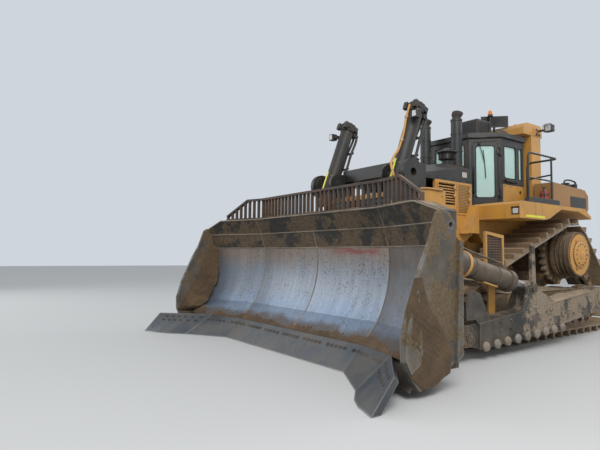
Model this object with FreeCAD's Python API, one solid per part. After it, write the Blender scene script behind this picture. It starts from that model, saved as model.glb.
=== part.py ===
import FreeCAD, Part
import math
import os

# Large bulldozer on tracks with a wide curved blade, as separate pieces in millimetres.
# The machine faces -Y, its left side is +X and +Z is up. The pieces are laid out from the
# sprocket axle (y = 0) and the ground (z = 0). Before they are written they are shifted along Y,
# so that the origin lies at the middle of the bottom of the machine's box at rest.

V = FreeCAD.Vector

# Fits and gaps
SEAT_GAP = 0.3          # between a round piece and its seat
MOVE_GAP = 8.0          # between pieces that pass each other
TRACK_CLEAR = 30.0      # between the body and the track's inner edge
PLATE = 40.0            # welded plate

# Track and its wheels
TRACK_MID_X = 1448.0    # half of the track gauge
SHOE_WIDTH = 915.0
SHOE_PITCH = 318.0
SHOE_THICK = 30.0
LUG_HEIGHT = 115.0
LUG_BASE = 80.0
LUG_TIP = 42.0
LINK_ABOVE = 85.0       # pin line to the underside of the shoes
LINK_BELOW = 90.0       # pin line to the tread of the links
RAIL_WIDTH = 90.0
RAIL_SPACE = 110.0      # between the two rails of links
SPROCKET_Z = 1676.0
SPROCKET_R = 570.0      # pin line
IDLER_R = 420.0         # pin line
FRONT_IDLER_Y = -3300.0
REAR_IDLER_Y = 1150.0
ROLLERS = 8
ROLLER_R = 130.0
ROLLER_END_GAP = 60.0   # between the last roller and an idler
AXLE_R = 60.0
CHEEK = 45.0            # side plates of the roller frame
CHEEK_SPACE = 430.0     # between the side plates
ROLLER_FRAME_TOP = 930.0
ROLLER_FRAME_LOW = 400.0
TEETH = 23
TOOTH_HEIGHT = 95.0

# Final drives
DRIVE_CASE_R = 430.0
DRIVE_DRUM_R = 470.0
DRIVE_FLANGE_R = 520.0
DRIVE_OUTER_X = 1970.0
DRIVE_COVER = 70.0

# Main frame
HULL_HALF = 620.0
HULL_LOW = 675.0
HULL_FRONT_Y = -4300.0
HULL_REAR_Y = 1250.0
CASE_TOP = 2250.0
ENGINE_BED = 1350.0

# Push arms
ARM_MID_X = 2200.0
ARM_WIDTH = 290.0
TRUNNION_Y = 0.0
TRUNNION_Z = 780.0
TRUNNION_R = 125.0
ARM_END_R = 245.0
ARM_FRONT_Y = -4450.0
ARM_FRONT_Z = 400.0
ARM_EYE_R = 165.0
ARM_EYE_WIDTH = 200.0
ARM_PIN_R = 70.0
ARM_DEPTH_FRONT = 400.0
ARM_DEPTH_REAR = 420.0

# Blade
CURVE_R = 1480.0
CURVE_Y = -6960.0       # centre of the front curve, in front of the blade
CURVE_Z = 1485.0
BLADE_TOP = 2330.0
CURVE_LOW = 640.0       # below this the face is flat, at 45 degrees
SKIN = 50.0
WING_X = 1740.0         # where the wings begin
WING_END_X = 3140.0
WING_ANGLE = 17.6
EDGE_TOP = 360.0        # height of the bolted edge
EDGE_THICK = 45.0
LIP = 45.0              # the skin's doubled part behind the bolted edge
LIP_LOW = 130.0
BACK_Y = -5300.0        # rear face of the blade's beams
SIDE_THICK = 60.0
EDGE_SECTIONS = [
    # x, top ahead of the wing's line, foot ahead of it, thickness
    (WING_X, 0.0, 0.0, EDGE_THICK),
    (2510.0, 0.0, 250.0, EDGE_THICK),
    (2775.0, 181.0, 427.0, 60.0),
    (3000.0, 335.0, 505.0, 80.0),
    (3330.0, 561.0, 531.0, 100.0),
]
BAND_HEIGHTS = (2030.0, 1740.0)     # the face is flat between these and the top
WING_CORNER_Z = 2171.0              # top of the blade at the wings' ends

# Guard on top of the blade
GUARD_TOP = 2765.0
GUARD_FLAT_X = 2130.0
GUARD_END_X = 2690.0
GUARD_END_TOP = 2445.0
GUARD_SLAT = 26.0
GUARD_PITCH = 118.0
GUARD_DEPTH = 70.0
GUARD_RAIL = 42.0
GUARD_BACK = 150.0      # from the face's top edge

# Lift cylinders
LIFT_X = 940.0
YOKE_Y = -4420.0
YOKE_Z = 3050.0
LIFT_EYE_Y = -5250.0
LIFT_EYE_Z = 880.0
LIFT_BARREL_R = 135.0
LIFT_HEAD_R = 155.0
LIFT_ABOVE = 1430.0
LIFT_BELOW = 500.0
LIFT_ROD_R = 90.0
LIFT_ROD_LONG = 2480.0
LIFT_EYE_R = 115.0
LIFT_EYE_WIDTH = 180.0
YOKE_PIN_R = 75.0
YOKE_SPACE = 400.0      # between the two cheeks of a yoke
YOKE_CHEEK = 60.0
YOKE_DRUM_R = 245.0

# Tilt cylinders
TILT_ARM_Y = -2550.0
TILT_ARM_Z = 1080.0
TILT_BLADE_Y = -5120.0
TILT_BLADE_Z = 1650.0
TILT_BARREL_R = 165.0
TILT_COLLAR_R = 205.0
TILT_BARREL_LONG = 2080.0
TILT_ROD_R = 80.0
TILT_ROD_IN = 450.0
TILT_EYE_R = 120.0
TILT_PIN_R = 50.0
TILT_SPACE = 210.0
TILT_CHEEK = 45.0
TILT_DRIFT = 14.0       # room in the opened eye

# Engine house
HOOD_HALF = 1000.0
HOOD_TOP_HALF = 620.0
HOOD_FRONT_Y = -4180.0
HOOD_REAR_Y = -2345.0
COWL_HALF = 560.0       # narrow rear part of the hood, between the doors
HOOD_SIDE_LOW = 3060.0
HOOD_SHOULDER = 150.0   # height of the slanted shoulders
HOOD_FALL = 230.0       # how much lower the hood is in front
HOOD_FLAT_Y = -2700.0   # behind this the hood is level
HOOD_TOP = 3500.0
GUARD_HALF = 1230.0
GUARD_FRONT_Y = -4250.0
GUARD_REAR_Y = -3480.0
GUARD_LOW = 850.0
GUARD_WAIST = 1480.0    # above the tracks, where the guard widens
GUARD_HIGH = 2800.0
GUARD_WALL = 90.0
PANEL_LOW = 2340.0
STACK_X = 420.0
STACK_Y = -2030.0
STACK_R = 117.0
STACK_BORE_R = 95.0
STACK_LONG = 1240.0
CLEANER_X = 500.0
CLEANER_Y = -2470.0

# Cab
CAB_FLOOR = 2650.0
CAB_TOP = 4180.0
CAB_HALF = 1000.0
CAB_FRONT_HALF = 500.0
CAB_FRONT_Y = -1720.0
CAB_POST_Y = -1250.0
CAB_REAR_Y = -400.0
SEAT_TOP = 3180.0
CAB_SEAT = 100.0        # width of the cab's foot on each platform
CAB_WALL = 55.0
GLASS = 10.0
DOOR_GAP = 8.0
DOOR_THICK = 45.0
HINGE_R = 14.0
KNUCKLE_R = 26.0
KNUCKLE_LONG = 90.0
ROOF_THICK = 110.0

# Roll-over frame, platforms and tank
ROPS_HALF = 1100.0
ROPS_TOP = 4630.0
ROPS_DEEP = 270.0
ROPS_FRONT_Y = -560.0
ROPS_REAR_Y = 230.0
POST_FRONT_Y = -240.0
POST_REAR_Y = 160.0
POST_WIDTH = 240.0
DECK_INNER_X = 1240.0
DECK_OUTER_X = 2030.0
DECK_TOP = 2650.0
DECK_FRONT_Y = -2370.0
RAIL_R = 21.0
POST_R = 19.0
MID_RAIL_R = 17.0
RAIL_TOP = 3600.0
TANK_HALF = 1560.0
TANK_FRONT_Y = -200.0
TANK_REAR_Y = 1420.0
TANK_LOW = 2660.0
TANK_TOP = 3250.0

BOARD_PLACE = (520.0, -750.0)       # blank board and beacon in plan
BOARD_HALF = 300.0
BOARD_LOW = 4580.0
BOARD_HIGH = 260.0
BEACON_PLACE = (510.0, -900.0)

# Rear
WEIGHT_REAR_Y = 1640.0
DRAWBAR_REAR_Y = 1950.0
DRAWBAR_Z = 800.0
DRAWBAR_THICK = 110.0
DRAWBAR_PIN_R = 42.0

TREAD_OUT = LINK_ABOVE + SHOE_THICK + LUG_HEIGHT
IDLER_Z = IDLER_R + TREAD_OUT
TRACK_INNER_X = TRACK_MID_X - SHOE_WIDTH / 2
WING_SLOPE = math.tan(math.radians(WING_ANGLE))
ROOT_HALF = math.sqrt(0.5)
END_FRONT_Y = CURVE_Y - 500.0       # in front of everything
STACK_TOP = HOOD_TOP + STACK_LONG


def box(x0, x1, y0, y1, z0, z1):
    """Block between two corners."""
    return Part.makeBox(x1 - x0, y1 - y0, z1 - z0, V(x0, y0, z0))


def rod(start, end, radius):
    """Round bar between two points."""
    along = end - start
    return Part.makeCylinder(radius, along.Length, start, along)


def outline(start, *steps):
    """Face inside a closed outline; a step is an end point, or a (middle, end) pair for an arc."""
    edges = []
    here = start
    for step in steps:
        if isinstance(step, tuple):
            middle, end = step
            edges.append(Part.Arc(here, middle, end).toShape())
        else:
            end = step
            edges.append(Part.makeLine(here, end))
        here = end
    if (here - start).Length > 1e-6:
        edges.append(Part.makeLine(here, start))
    return Part.Face(Part.Wire(edges))


def side_prism(points, x0, x1):
    """Outline of (y, z) points, carried along X."""
    corners = [V(x0, y, z) for y, z in points]
    return outline(corners[0], *corners[1:]).extrude(V(x1 - x0, 0, 0))


def front_prism(points, y0, y1):
    """Outline of (x, z) points, carried along Y."""
    corners = [V(x, y0, z) for x, z in points]
    return outline(corners[0], *corners[1:]).extrude(V(0, y1 - y0, 0))


def plan_prism(points, z0, z1):
    """Outline of (x, y) points, carried along Z."""
    corners = [V(x, y, z0) for x, y in points]
    return outline(corners[0], *corners[1:]).extrude(V(0, 0, z1 - z0))


def fuse(shapes):
    """One solid from pieces that meet."""
    whole = shapes[0].fuse(shapes[1:])
    joined = whole.removeSplitter()
    return joined if joined.isValid() else whole


def mirrored(shape):
    """The same piece on the machine's other side."""
    return shape.mirror(V(0, 0, 0), V(1, 0, 0))


def both(shape):
    """The left piece and its mirror image, as two solids."""
    return Part.makeCompound([shape, mirrored(shape)])


def cross_x(y, z, x0, x1, radius):
    """Round bar along X."""
    return Part.makeCylinder(radius, x1 - x0, V(x0, y, z), V(1, 0, 0))


# Track loop

def loop_parts():
    """Lines and arcs of the pin line round sprocket, front idler and rear idler, in order."""
    wheels = [
        # y, z, radius of the pin line
        (0.0, SPROCKET_Z, SPROCKET_R),
        (FRONT_IDLER_Y, IDLER_Z, IDLER_R),
        (REAR_IDLER_Y, IDLER_Z, IDLER_R),
    ]
    normals = []
    for (y0, z0, r0), (y1, z1, r1) in zip(wheels, wheels[1:] + wheels[:1]):
        heading = math.atan2(z1 - z0, y1 - y0)
        span = math.hypot(y1 - y0, z1 - z0)
        normals.append(heading - math.acos((r0 - r1) / span))
    parts = []
    for index, (y, z, r) in enumerate(wheels):
        turn = (normals[index] - normals[index - 1]) % (2 * math.pi)
        parts.append(("arc", y, z, r, normals[index - 1], turn, r * turn))
        y1, z1, r1 = wheels[(index + 1) % len(wheels)]
        a = normals[index]
        start = (y + r * math.cos(a), z + r * math.sin(a))
        end = (y1 + r1 * math.cos(a), z1 + r1 * math.sin(a))
        parts.append(("line", start, end, a, math.dist(start, end)))
    return parts


def loop_length():
    """Length of the pin line."""
    return sum(part[-1] for part in loop_parts())


def loop_point(distance, offset=0.0):
    """Point (y, z) at a distance along the pin line, moved outwards by an offset."""
    left = distance % loop_length()
    for part in loop_parts():
        if left > part[-1]:
            left -= part[-1]
            continue
        if part[0] == "arc":
            _, y, z, r, begin, _, _ = part
            a = begin + left / r
            return y + (r + offset) * math.cos(a), z + (r + offset) * math.sin(a)
        _, start, end, a, long = part
        share = left / long
        y = start[0] + (end[0] - start[0]) * share + offset * math.cos(a)
        z = start[1] + (end[1] - start[1]) * share + offset * math.sin(a)
        return y, z
    return loop_point(0.0, offset)


def shoe_count():
    """Shoes that fill the loop at about the nominal pitch."""
    return round(loop_length() / SHOE_PITCH)


def track():
    """One loop of links and shoes with a lug on each shoe, in one solid."""
    count = shoe_count()
    step = loop_length() / count
    top = LINK_ABOVE + SHOE_THICK
    outer = []
    for index in range(count):
        y0, z0 = loop_point(index * step, top)
        y1, z1 = loop_point((index + 1) * step, top)
        long = math.dist((y0, z0), (y1, z1))
        ty, tz = (y1 - y0) / long, (z1 - z0) / long
        ny, nz = tz, -ty
        middle = long * 0.22
        outer.append((y0, z0))
        for along, out in [(-LUG_BASE / 2, 0), (-LUG_TIP / 2, LUG_HEIGHT), (LUG_TIP / 2, LUG_HEIGHT), (LUG_BASE / 2, 0)]:
            a = middle + along
            outer.append((y0 + ty * a + ny * out, z0 + tz * a + nz * out))
    seat = [loop_point(index * step, LINK_ABOVE) for index in range(count)]
    tread = [loop_point(index * step, -LINK_BELOW) for index in range(count)]
    half = SHOE_WIDTH / 2
    shoes = side_prism(outer, -half, half).cut(side_prism(seat, -half - 1, half + 1))
    rails = []
    for x in (-RAIL_SPACE / 2 - RAIL_WIDTH, RAIL_SPACE / 2):
        rails.append(side_prism(seat, x, x + RAIL_WIDTH).cut(side_prism(tread, x - 1, x + RAIL_WIDTH + 1)))
    loop = shoes.fuse(rails)
    loop.translate(V(TRACK_MID_X, 0, 0))
    return loop


def wheel_radius(y, z):
    """Radius of a wheel with its axle at (y, z) that reaches the flat links of the track."""
    count = shoe_count()
    step = loop_length() / count
    corners = [loop_point(index * step, -LINK_BELOW) for index in range(count)]
    nearest = math.inf
    for (y0, z0), (y1, z1) in zip(corners, corners[1:] + corners[:1]):
        long = math.dist((y0, z0), (y1, z1))
        share = ((y - y0) * (y1 - y0) + (z - z0) * (z1 - z0)) / long ** 2
        share = min(1.0, max(0.0, share))
        nearest = min(nearest, math.dist((y, z), (y0 + share * (y1 - y0), z0 + share * (z1 - z0))))
    return nearest - SEAT_GAP


def idlers():
    """Front and rear idler of the left track, each with its guiding rim."""
    wide = RAIL_SPACE / 2 + RAIL_WIDTH
    rim = RAIL_SPACE / 2 - MOVE_GAP
    solids = []
    for y in (FRONT_IDLER_Y, REAR_IDLER_Y):
        radius = wheel_radius(y, IDLER_Z)
        wheel = fuse([
            cross_x(y, IDLER_Z, TRACK_MID_X - wide, TRACK_MID_X + wide, radius),
            cross_x(y, IDLER_Z, TRACK_MID_X - rim, TRACK_MID_X + rim, radius + 45),
        ])
        for x0, x1 in ((TRACK_MID_X - wide - 1, TRACK_MID_X - wide + 55), (TRACK_MID_X + wide - 55, TRACK_MID_X + wide + 1)):
            dish = cross_x(y, IDLER_Z, x0, x1, radius - 60).cut(cross_x(y, IDLER_Z, x0 - 1, x1 + 1, 130))
            wheel = wheel.cut(dish)
        shaft = cross_x(y, IDLER_Z, TRACK_MID_X - CHEEK_SPACE / 2 - CHEEK, TRACK_MID_X + CHEEK_SPACE / 2 + CHEEK, AXLE_R)
        solids.append(wheel.fuse(shaft))
    return solids


def roller_places():
    """Places of the bottom rollers along Y."""
    inset = wheel_radius(FRONT_IDLER_Y, IDLER_Z) + 45 + ROLLER_R + ROLLER_END_GAP
    first = FRONT_IDLER_Y + inset
    step = (REAR_IDLER_Y - inset - first) / (ROLLERS - 1)
    return [first + step * index for index in range(ROLLERS)]


def rollers():
    """Bottom rollers of the left track, standing on the links."""
    z = TREAD_OUT + LINK_BELOW + ROLLER_R + SEAT_GAP
    wide = RAIL_SPACE / 2 + RAIL_WIDTH
    solids = []
    for y in roller_places():
        drum = cross_x(y, z, TRACK_MID_X - wide, TRACK_MID_X + wide, ROLLER_R)
        shaft = cross_x(y, z, TRACK_MID_X - CHEEK_SPACE / 2, TRACK_MID_X + CHEEK_SPACE / 2, AXLE_R * 0.8)
        solids.append(drum.fuse(shaft))
    return solids


def sprocket():
    """Toothed rim between the rails of links, with the opening for the final drive."""
    tip = SPROCKET_R + 20
    root = tip - TOOTH_HEIGHT
    points = []
    for index in range(TEETH):
        for share, radius in ((0.0, root), (0.3, root), (0.48, tip), (0.82, tip)):
            a = 2 * math.pi * (index + share) / TEETH
            points.append((radius * math.cos(a), SPROCKET_Z + radius * math.sin(a)))
    half = RAIL_SPACE / 2 - MOVE_GAP
    rim = side_prism(points, TRACK_MID_X - half, TRACK_MID_X + half)
    return rim.cut(cross_x(0, SPROCKET_Z, TRACK_MID_X - half - 1, TRACK_MID_X + half + 1, DRIVE_CASE_R))


def final_drive():
    """Stepped drum from the main case through the sprocket to the outer cover."""
    rails_out = TRACK_MID_X + RAIL_SPACE / 2 + RAIL_WIDTH
    steps = [
        # start x, end x, radius
        (HULL_HALF, TRACK_MID_X - SHOE_WIDTH / 2 + 60, DRIVE_CASE_R - 40),
        (TRACK_MID_X - SHOE_WIDTH / 2 + 60, rails_out + 20, DRIVE_CASE_R),
        (rails_out + 20, rails_out + 80, DRIVE_FLANGE_R),
        (rails_out + 80, DRIVE_OUTER_X - DRIVE_COVER, DRIVE_DRUM_R - 14),
        (DRIVE_OUTER_X - DRIVE_COVER, DRIVE_OUTER_X, DRIVE_DRUM_R),
        (DRIVE_OUTER_X, DRIVE_OUTER_X + 25, DRIVE_DRUM_R * 0.62),
    ]
    return fuse([cross_x(0, SPROCKET_Z, x0, x1, radius) for x0, x1, radius in steps])


def roller_frame():
    """Welded frame of the left track, with idler yokes, trunnion and cross tube seat."""
    inner = TRACK_MID_X - CHEEK_SPACE / 2
    outer = TRACK_MID_X + CHEEK_SPACE / 2
    ends = roller_places()
    profile = [
        (ends[0] - 60, ROLLER_FRAME_LOW), (ends[-1] + 60, ROLLER_FRAME_LOW), (ends[-1] + 60, ROLLER_FRAME_TOP - 90),
        (ends[-1] - 120, ROLLER_FRAME_TOP), (ends[0] + 500, ROLLER_FRAME_TOP), (ends[0] - 60, ROLLER_FRAME_TOP - 130),
    ]
    frame = side_prism(profile, inner - CHEEK, outer + CHEEK)
    well_top = TREAD_OUT + LINK_BELOW + 2 * ROLLER_R + 45
    frame = frame.cut(box(inner, outer, ends[0] - 61, ends[-1] + 61, ROLLER_FRAME_LOW - 1, well_top))
    pieces = [frame]
    for y, end in ((FRONT_IDLER_Y, ends[0] - 60), (REAR_IDLER_Y, ends[-1] + 60)):
        for x in (inner - CHEEK, outer):
            y0, y1 = min(y, end), max(y, end)
            arm = fuse([box(x, x + CHEEK, y0, y1, IDLER_Z - 110, IDLER_Z + 110), cross_x(y, IDLER_Z, x, x + CHEEK, 150)])
            pieces.append(arm.cut(cross_x(y, IDLER_Z, x - 1, x + CHEEK + 1, AXLE_R)))
    pieces.append(cross_x(TRUNNION_Y, TRUNNION_Z, outer, ARM_MID_X + ARM_WIDTH / 2 + 30, TRUNNION_R))
    for y in (-2350.0, -250.0):
        pieces.append(box(HULL_HALF, inner - CHEEK, y - 160, y + 160, 720, 900))
    return fuse(pieces)


# Main frame and rear

def main_frame():
    """Hull between the tracks: belly, engine bed and the case of the rear drive."""
    profile = [
        (HULL_FRONT_Y, HULL_LOW + 250), (HULL_FRONT_Y + 350, HULL_LOW), (0.0, HULL_LOW), (HULL_REAR_Y, HULL_LOW + 250),
        (HULL_REAR_Y, CASE_TOP - 200), (HULL_REAR_Y - 200, CASE_TOP), (-900.0, CASE_TOP), (-1100.0, ENGINE_BED + 350),
        (-1500.0, ENGINE_BED), (HULL_FRONT_Y, ENGINE_BED),
    ]
    return side_prism(profile, -HULL_HALF, HULL_HALF)


def engine_block():
    """Plain block of the engine on its bed."""
    return box(-430, 430, -3350, CAB_FRONT_Y - 100, ENGINE_BED, CAB_FLOOR)


def counterweight():
    """Rear weight plate with cut corners."""
    profile = [
        (HULL_REAR_Y, 950), (WEIGHT_REAR_Y - 90, 950), (WEIGHT_REAR_Y, 1040), (WEIGHT_REAR_Y, 1780),
        (WEIGHT_REAR_Y - 90, 1870), (HULL_REAR_Y, 1870),
    ]
    return side_prism(profile, -780, 780)


def drawbar():
    """Hitch with an upright pin hole, below the rear weight."""
    half = 170.0
    bar = box(-half, half, HULL_REAR_Y - 450, DRAWBAR_REAR_Y - half, DRAWBAR_Z - DRAWBAR_THICK / 2, DRAWBAR_Z + DRAWBAR_THICK / 2)
    nose = Part.makeCylinder(half, DRAWBAR_THICK, V(0, DRAWBAR_REAR_Y - half, DRAWBAR_Z - DRAWBAR_THICK / 2))
    bar = bar.fuse(nose)
    bar = bar.cut(main_frame())
    hole = Part.makeCylinder(DRAWBAR_PIN_R, DRAWBAR_THICK + 2, V(0, DRAWBAR_REAR_Y - half, DRAWBAR_Z - DRAWBAR_THICK / 2 - 1))
    bar = bar.cut(hole)
    web = box(-30, 30, HULL_REAR_Y, HULL_REAR_Y + 250, DRAWBAR_Z + DRAWBAR_THICK / 2, 950)
    return fuse([bar, web])


# Blade

def curve_y(z, radius):
    """Y of the curved face at a height, for a radius about the curve's centre."""
    return CURVE_Y + math.sqrt(radius ** 2 - (z - CURVE_Z) ** 2)


def flat_point(z, depth=0.0):
    """Point on the flat lower face at a height, moved back by a depth square to the face."""
    y = curve_y(CURVE_LOW, CURVE_R) - (CURVE_LOW - z)
    return y + depth * ROOT_HALF, z - depth * ROOT_HALF


def across(face):
    """Blade section carried across the middle and along both wings, as one solid."""
    wing = WING_END_X - WING_X
    middle = face.copy()
    middle.translate(V(-WING_X, 0, 0))
    middle = middle.extrude(V(2 * WING_X, 0, 0))
    left = face.copy()
    left.translate(V(WING_X, 0, 0))
    left = left.extrude(V(wing, -wing * WING_SLOPE, 0))
    return middle.fuse([left, mirrored(left)]).removeSplitter()


def yz(point):
    """Section point from (y, z)."""
    return V(0, point[0], point[1])


def moldboard():
    """Curved steel face with the flat lower part and the lip behind the bolted edge."""
    high, low = BAND_HEIGHTS
    middle_z = (low + CURVE_LOW) / 2
    back = CURVE_R + SKIN
    face = outline(
        V(0, curve_y(BLADE_TOP, CURVE_R), BLADE_TOP),
        V(0, curve_y(high, CURVE_R), high),
        V(0, curve_y(low, CURVE_R), low),
        (V(0, curve_y(middle_z, CURVE_R), middle_z), V(0, curve_y(CURVE_LOW, CURVE_R), CURVE_LOW)),
        yz(flat_point(EDGE_TOP)),
        yz(flat_point(EDGE_TOP, EDGE_THICK)),
        yz(flat_point(LIP_LOW, EDGE_THICK)),
        yz(flat_point(LIP_LOW, EDGE_THICK + LIP)),
        yz(flat_point(CURVE_LOW, EDGE_THICK + LIP)),
        V(0, curve_y(CURVE_LOW, back), CURVE_LOW),
        (V(0, curve_y(middle_z, back), middle_z), V(0, curve_y(low, back), low)),
        V(0, curve_y(high, back), high),
        V(0, curve_y(BLADE_TOP, back), BLADE_TOP),
    )
    return across(face).cut(wing_wedges())


def wing_wedges():
    """Wedges that the blade's top loses beside the guard, down to the wings' corners."""
    above = BLADE_TOP + 1
    left = front_prism([(GUARD_END_X, BLADE_TOP), (WING_END_X + 1, WING_CORNER_Z), (WING_END_X + 1, above), (GUARD_END_X, above)],
                       END_FRONT_Y, ARM_FRONT_Y)
    return both(left)


def cutting_edge():
    """Bolted edge plate along the middle and the wings, down to the ground."""
    middle = Part.Face(edge_wire(*EDGE_SECTIONS[0]))
    middle = middle.extrude(V(-2 * WING_X, 0, 0))
    wing = edge_loft(EDGE_SECTIONS[:2])
    return middle.fuse([wing, mirrored(wing)]).removeSplitter()


def edge_wire(x, top_ahead, foot_ahead, thick):
    """Outline of the edge plate at a place along X."""
    shift = wing_shift(x)
    top, foot = flat_point(EDGE_TOP), flat_point(0.0)
    deep = thick * ROOT_HALF
    points = [
        V(x, top[0] - shift - top_ahead, EDGE_TOP),
        V(x, foot[0] - shift - foot_ahead, 0),
        V(x, foot[0] - shift - foot_ahead + thick / ROOT_HALF, 0),
        V(x, top[0] - shift - top_ahead + deep, EDGE_TOP - deep),
    ]
    return Part.makePolygon(points + points[:1])


def edge_loft(sections):
    """Edge plate through its sections."""
    return Part.makeLoft([edge_wire(*section) for section in sections], True, True)


def wing_shift(x):
    """How far the wing has come forward at a place along X."""
    return max(0.0, abs(x) - WING_X) * WING_SLOPE


def end_bit():
    """Left corner bit: a plate that twists forward from the edge and grows thicker to its tip."""
    return edge_loft(EDGE_SECTIONS[1:])


def side_plate():
    """Left end plate of the blade with its rear post and worn foot."""
    shape = [
        # y, z from the front top round to the foot
        (-6200, 2120), (-6130, 2165), (-5990, 2140), (-5870, 2010), (-5850, 1800), (-5870, 1050), (-5920, 340),
        (-6250, 110), (-6540, 90), (-6680, 240), (-6790, 440), (-6800, 690), (-6705, 1005), (-6590, 1280),
        (-6465, 1540), (-6320, 1800),
    ]
    plate = side_prism(shape, WING_END_X, WING_END_X + SIDE_THICK)
    hole = cross_x(-5960, 1985, WING_END_X - 1, WING_END_X + SIDE_THICK + 1, 38)
    post = side_prism([(-5850, 1800), (-5785, 1780), (-5800, 420), (-5920, 340)], WING_END_X, WING_END_X + SIDE_THICK + 50)
    doubler = [(-6590, 1240), (-6560, 1180), (-6500, 420), (-6700, 300), (-6785, 450), (-6785, 690), (-6690, 1005)]
    wear = side_prism(doubler, WING_END_X + SIDE_THICK, WING_END_X + SIDE_THICK + 25)
    return fuse([plate.cut(hole), post, wear])


def back_frame():
    """Beams and ribs behind the blade, with the clevises of both kinds of cylinder and of the arms."""
    back = CURVE_R + SKIN
    beams = []
    low_z = 250.0
    flat_low = flat_point(low_z + (EDGE_THICK + LIP) * ROOT_HALF, EDGE_THICK + LIP)
    flat_high = flat_point(CURVE_LOW, EDGE_THICK + LIP)
    beams.append(across(outline(
        V(0, curve_y(CURVE_LOW, back), CURVE_LOW), V(0, BACK_Y, CURVE_LOW), V(0, BACK_Y, low_z),
        V(0, flat_low[0], low_z), yz(flat_high),
    )))
    for z0, z1 in ((1930.0, BLADE_TOP), (1290.0, 1350.0)):
        middle = (z0 + z1) / 2
        beams.append(across(outline(
            V(0, curve_y(z1, back), z1), V(0, BACK_Y - 20, z1), V(0, BACK_Y - 20, z0), V(0, curve_y(z0, back), z0),
            (V(0, curve_y(middle, back), middle), V(0, curve_y(z1, back), z1)),
        )))
    return beams


def rib(x, reach_y, z0, z1, thick):
    """Upright rib behind the curved face, from z0 to z1 and back to reach_y."""
    back = CURVE_R + SKIN
    middle = (z0 + z1) / 2
    shift = wing_shift(x - thick / 2)
    slant = thick * WING_SLOPE if shift > 0 else 0.0
    face = outline(
        V(x - thick / 2, curve_y(z1, back) - shift, z1), V(x - thick / 2, reach_y - shift, z1),
        V(x - thick / 2, reach_y - shift, z0), V(x - thick / 2, curve_y(z0, back) - shift, z0),
        (V(x - thick / 2, curve_y(middle, back) - shift, middle), V(x - thick / 2, curve_y(z1, back) - shift, z1)),
    )
    return face.extrude(V(thick, -slant, 0))


def blade_frame():
    """All beams, ribs and clevises behind the blade, in one solid."""
    pieces = back_frame()
    ribs = [300.0, 1500.0, 1740.0 + 60.0, 2560.0, 2950.0]
    left = [rib(x, BACK_Y - 20, CURVE_LOW, 1930.0, PLATE) for x in ribs]
    half = LIFT_EYE_WIDTH / 2 + MOVE_GAP
    for x in (LIFT_X - half - PLATE, LIFT_X + half):
        left.append(rib(x + PLATE / 2, BACK_Y - 20, CURVE_LOW, 1930.0, PLATE))
        lug = fuse([
            side_prism([(BACK_Y - 20, 620), (LIFT_EYE_Y, LIFT_EYE_Z - 130), (LIFT_EYE_Y, LIFT_EYE_Z + 130), (BACK_Y - 20, 1240)], x, x + PLATE),
            cross_x(LIFT_EYE_Y, LIFT_EYE_Z, x, x + PLATE, 130),
        ])
        left.append(lug)
    left.append(cross_x(LIFT_EYE_Y, LIFT_EYE_Z, LIFT_X + half + PLATE, LIFT_X + half + PLATE + 40, 80))
    left.append(cross_x(LIFT_EYE_Y, LIFT_EYE_Z, LIFT_X - half - PLATE - 40, LIFT_X - half - PLATE, 80))
    half = ARM_EYE_WIDTH / 2 + MOVE_GAP
    for x in (ARM_MID_X - half - PLATE * 1.5, ARM_MID_X + half):
        thick = PLATE * 1.5
        front = BACK_Y - 300
        bracket = fuse([
            side_prism([(front, 600), (front, 260), (ARM_FRONT_Y, ARM_FRONT_Z - 160), (ARM_FRONT_Y, ARM_FRONT_Z + 160)], x, x + thick),
            cross_x(ARM_FRONT_Y, ARM_FRONT_Z, x, x + thick, 160),
        ])
        left.append(bracket)
    pin = cross_x(ARM_FRONT_Y, ARM_FRONT_Z, ARM_MID_X - half - PLATE * 1.5, ARM_MID_X + half + PLATE * 1.5 + 30, ARM_PIN_R)
    left.append(pin)
    half = TILT_SPACE / 2
    for x in (ARM_MID_X - half - TILT_CHEEK, ARM_MID_X + half):
        left.append(rib(x + TILT_CHEEK / 2, BACK_Y - 20, 1290.0, 1930.0, TILT_CHEEK))
        shift = wing_shift(ARM_MID_X)
        lug = fuse([
            side_prism([(BACK_Y - 40 - shift, 1330), (TILT_BLADE_Y, TILT_BLADE_Z - 140), (TILT_BLADE_Y, TILT_BLADE_Z + 140),
                        (BACK_Y - 40 - shift, 1930)], x, x + TILT_CHEEK),
            cross_x(TILT_BLADE_Y, TILT_BLADE_Z, x, x + TILT_CHEEK, 140),
        ])
        left.append(lug)
    left.append(cross_x(TILT_BLADE_Y, TILT_BLADE_Z, ARM_MID_X - half - TILT_CHEEK, ARM_MID_X + half + TILT_CHEEK + 25, TILT_PIN_R))
    return fuse(pieces + left + [mirrored(piece) for piece in left]).cut(wing_wedges())


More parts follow.
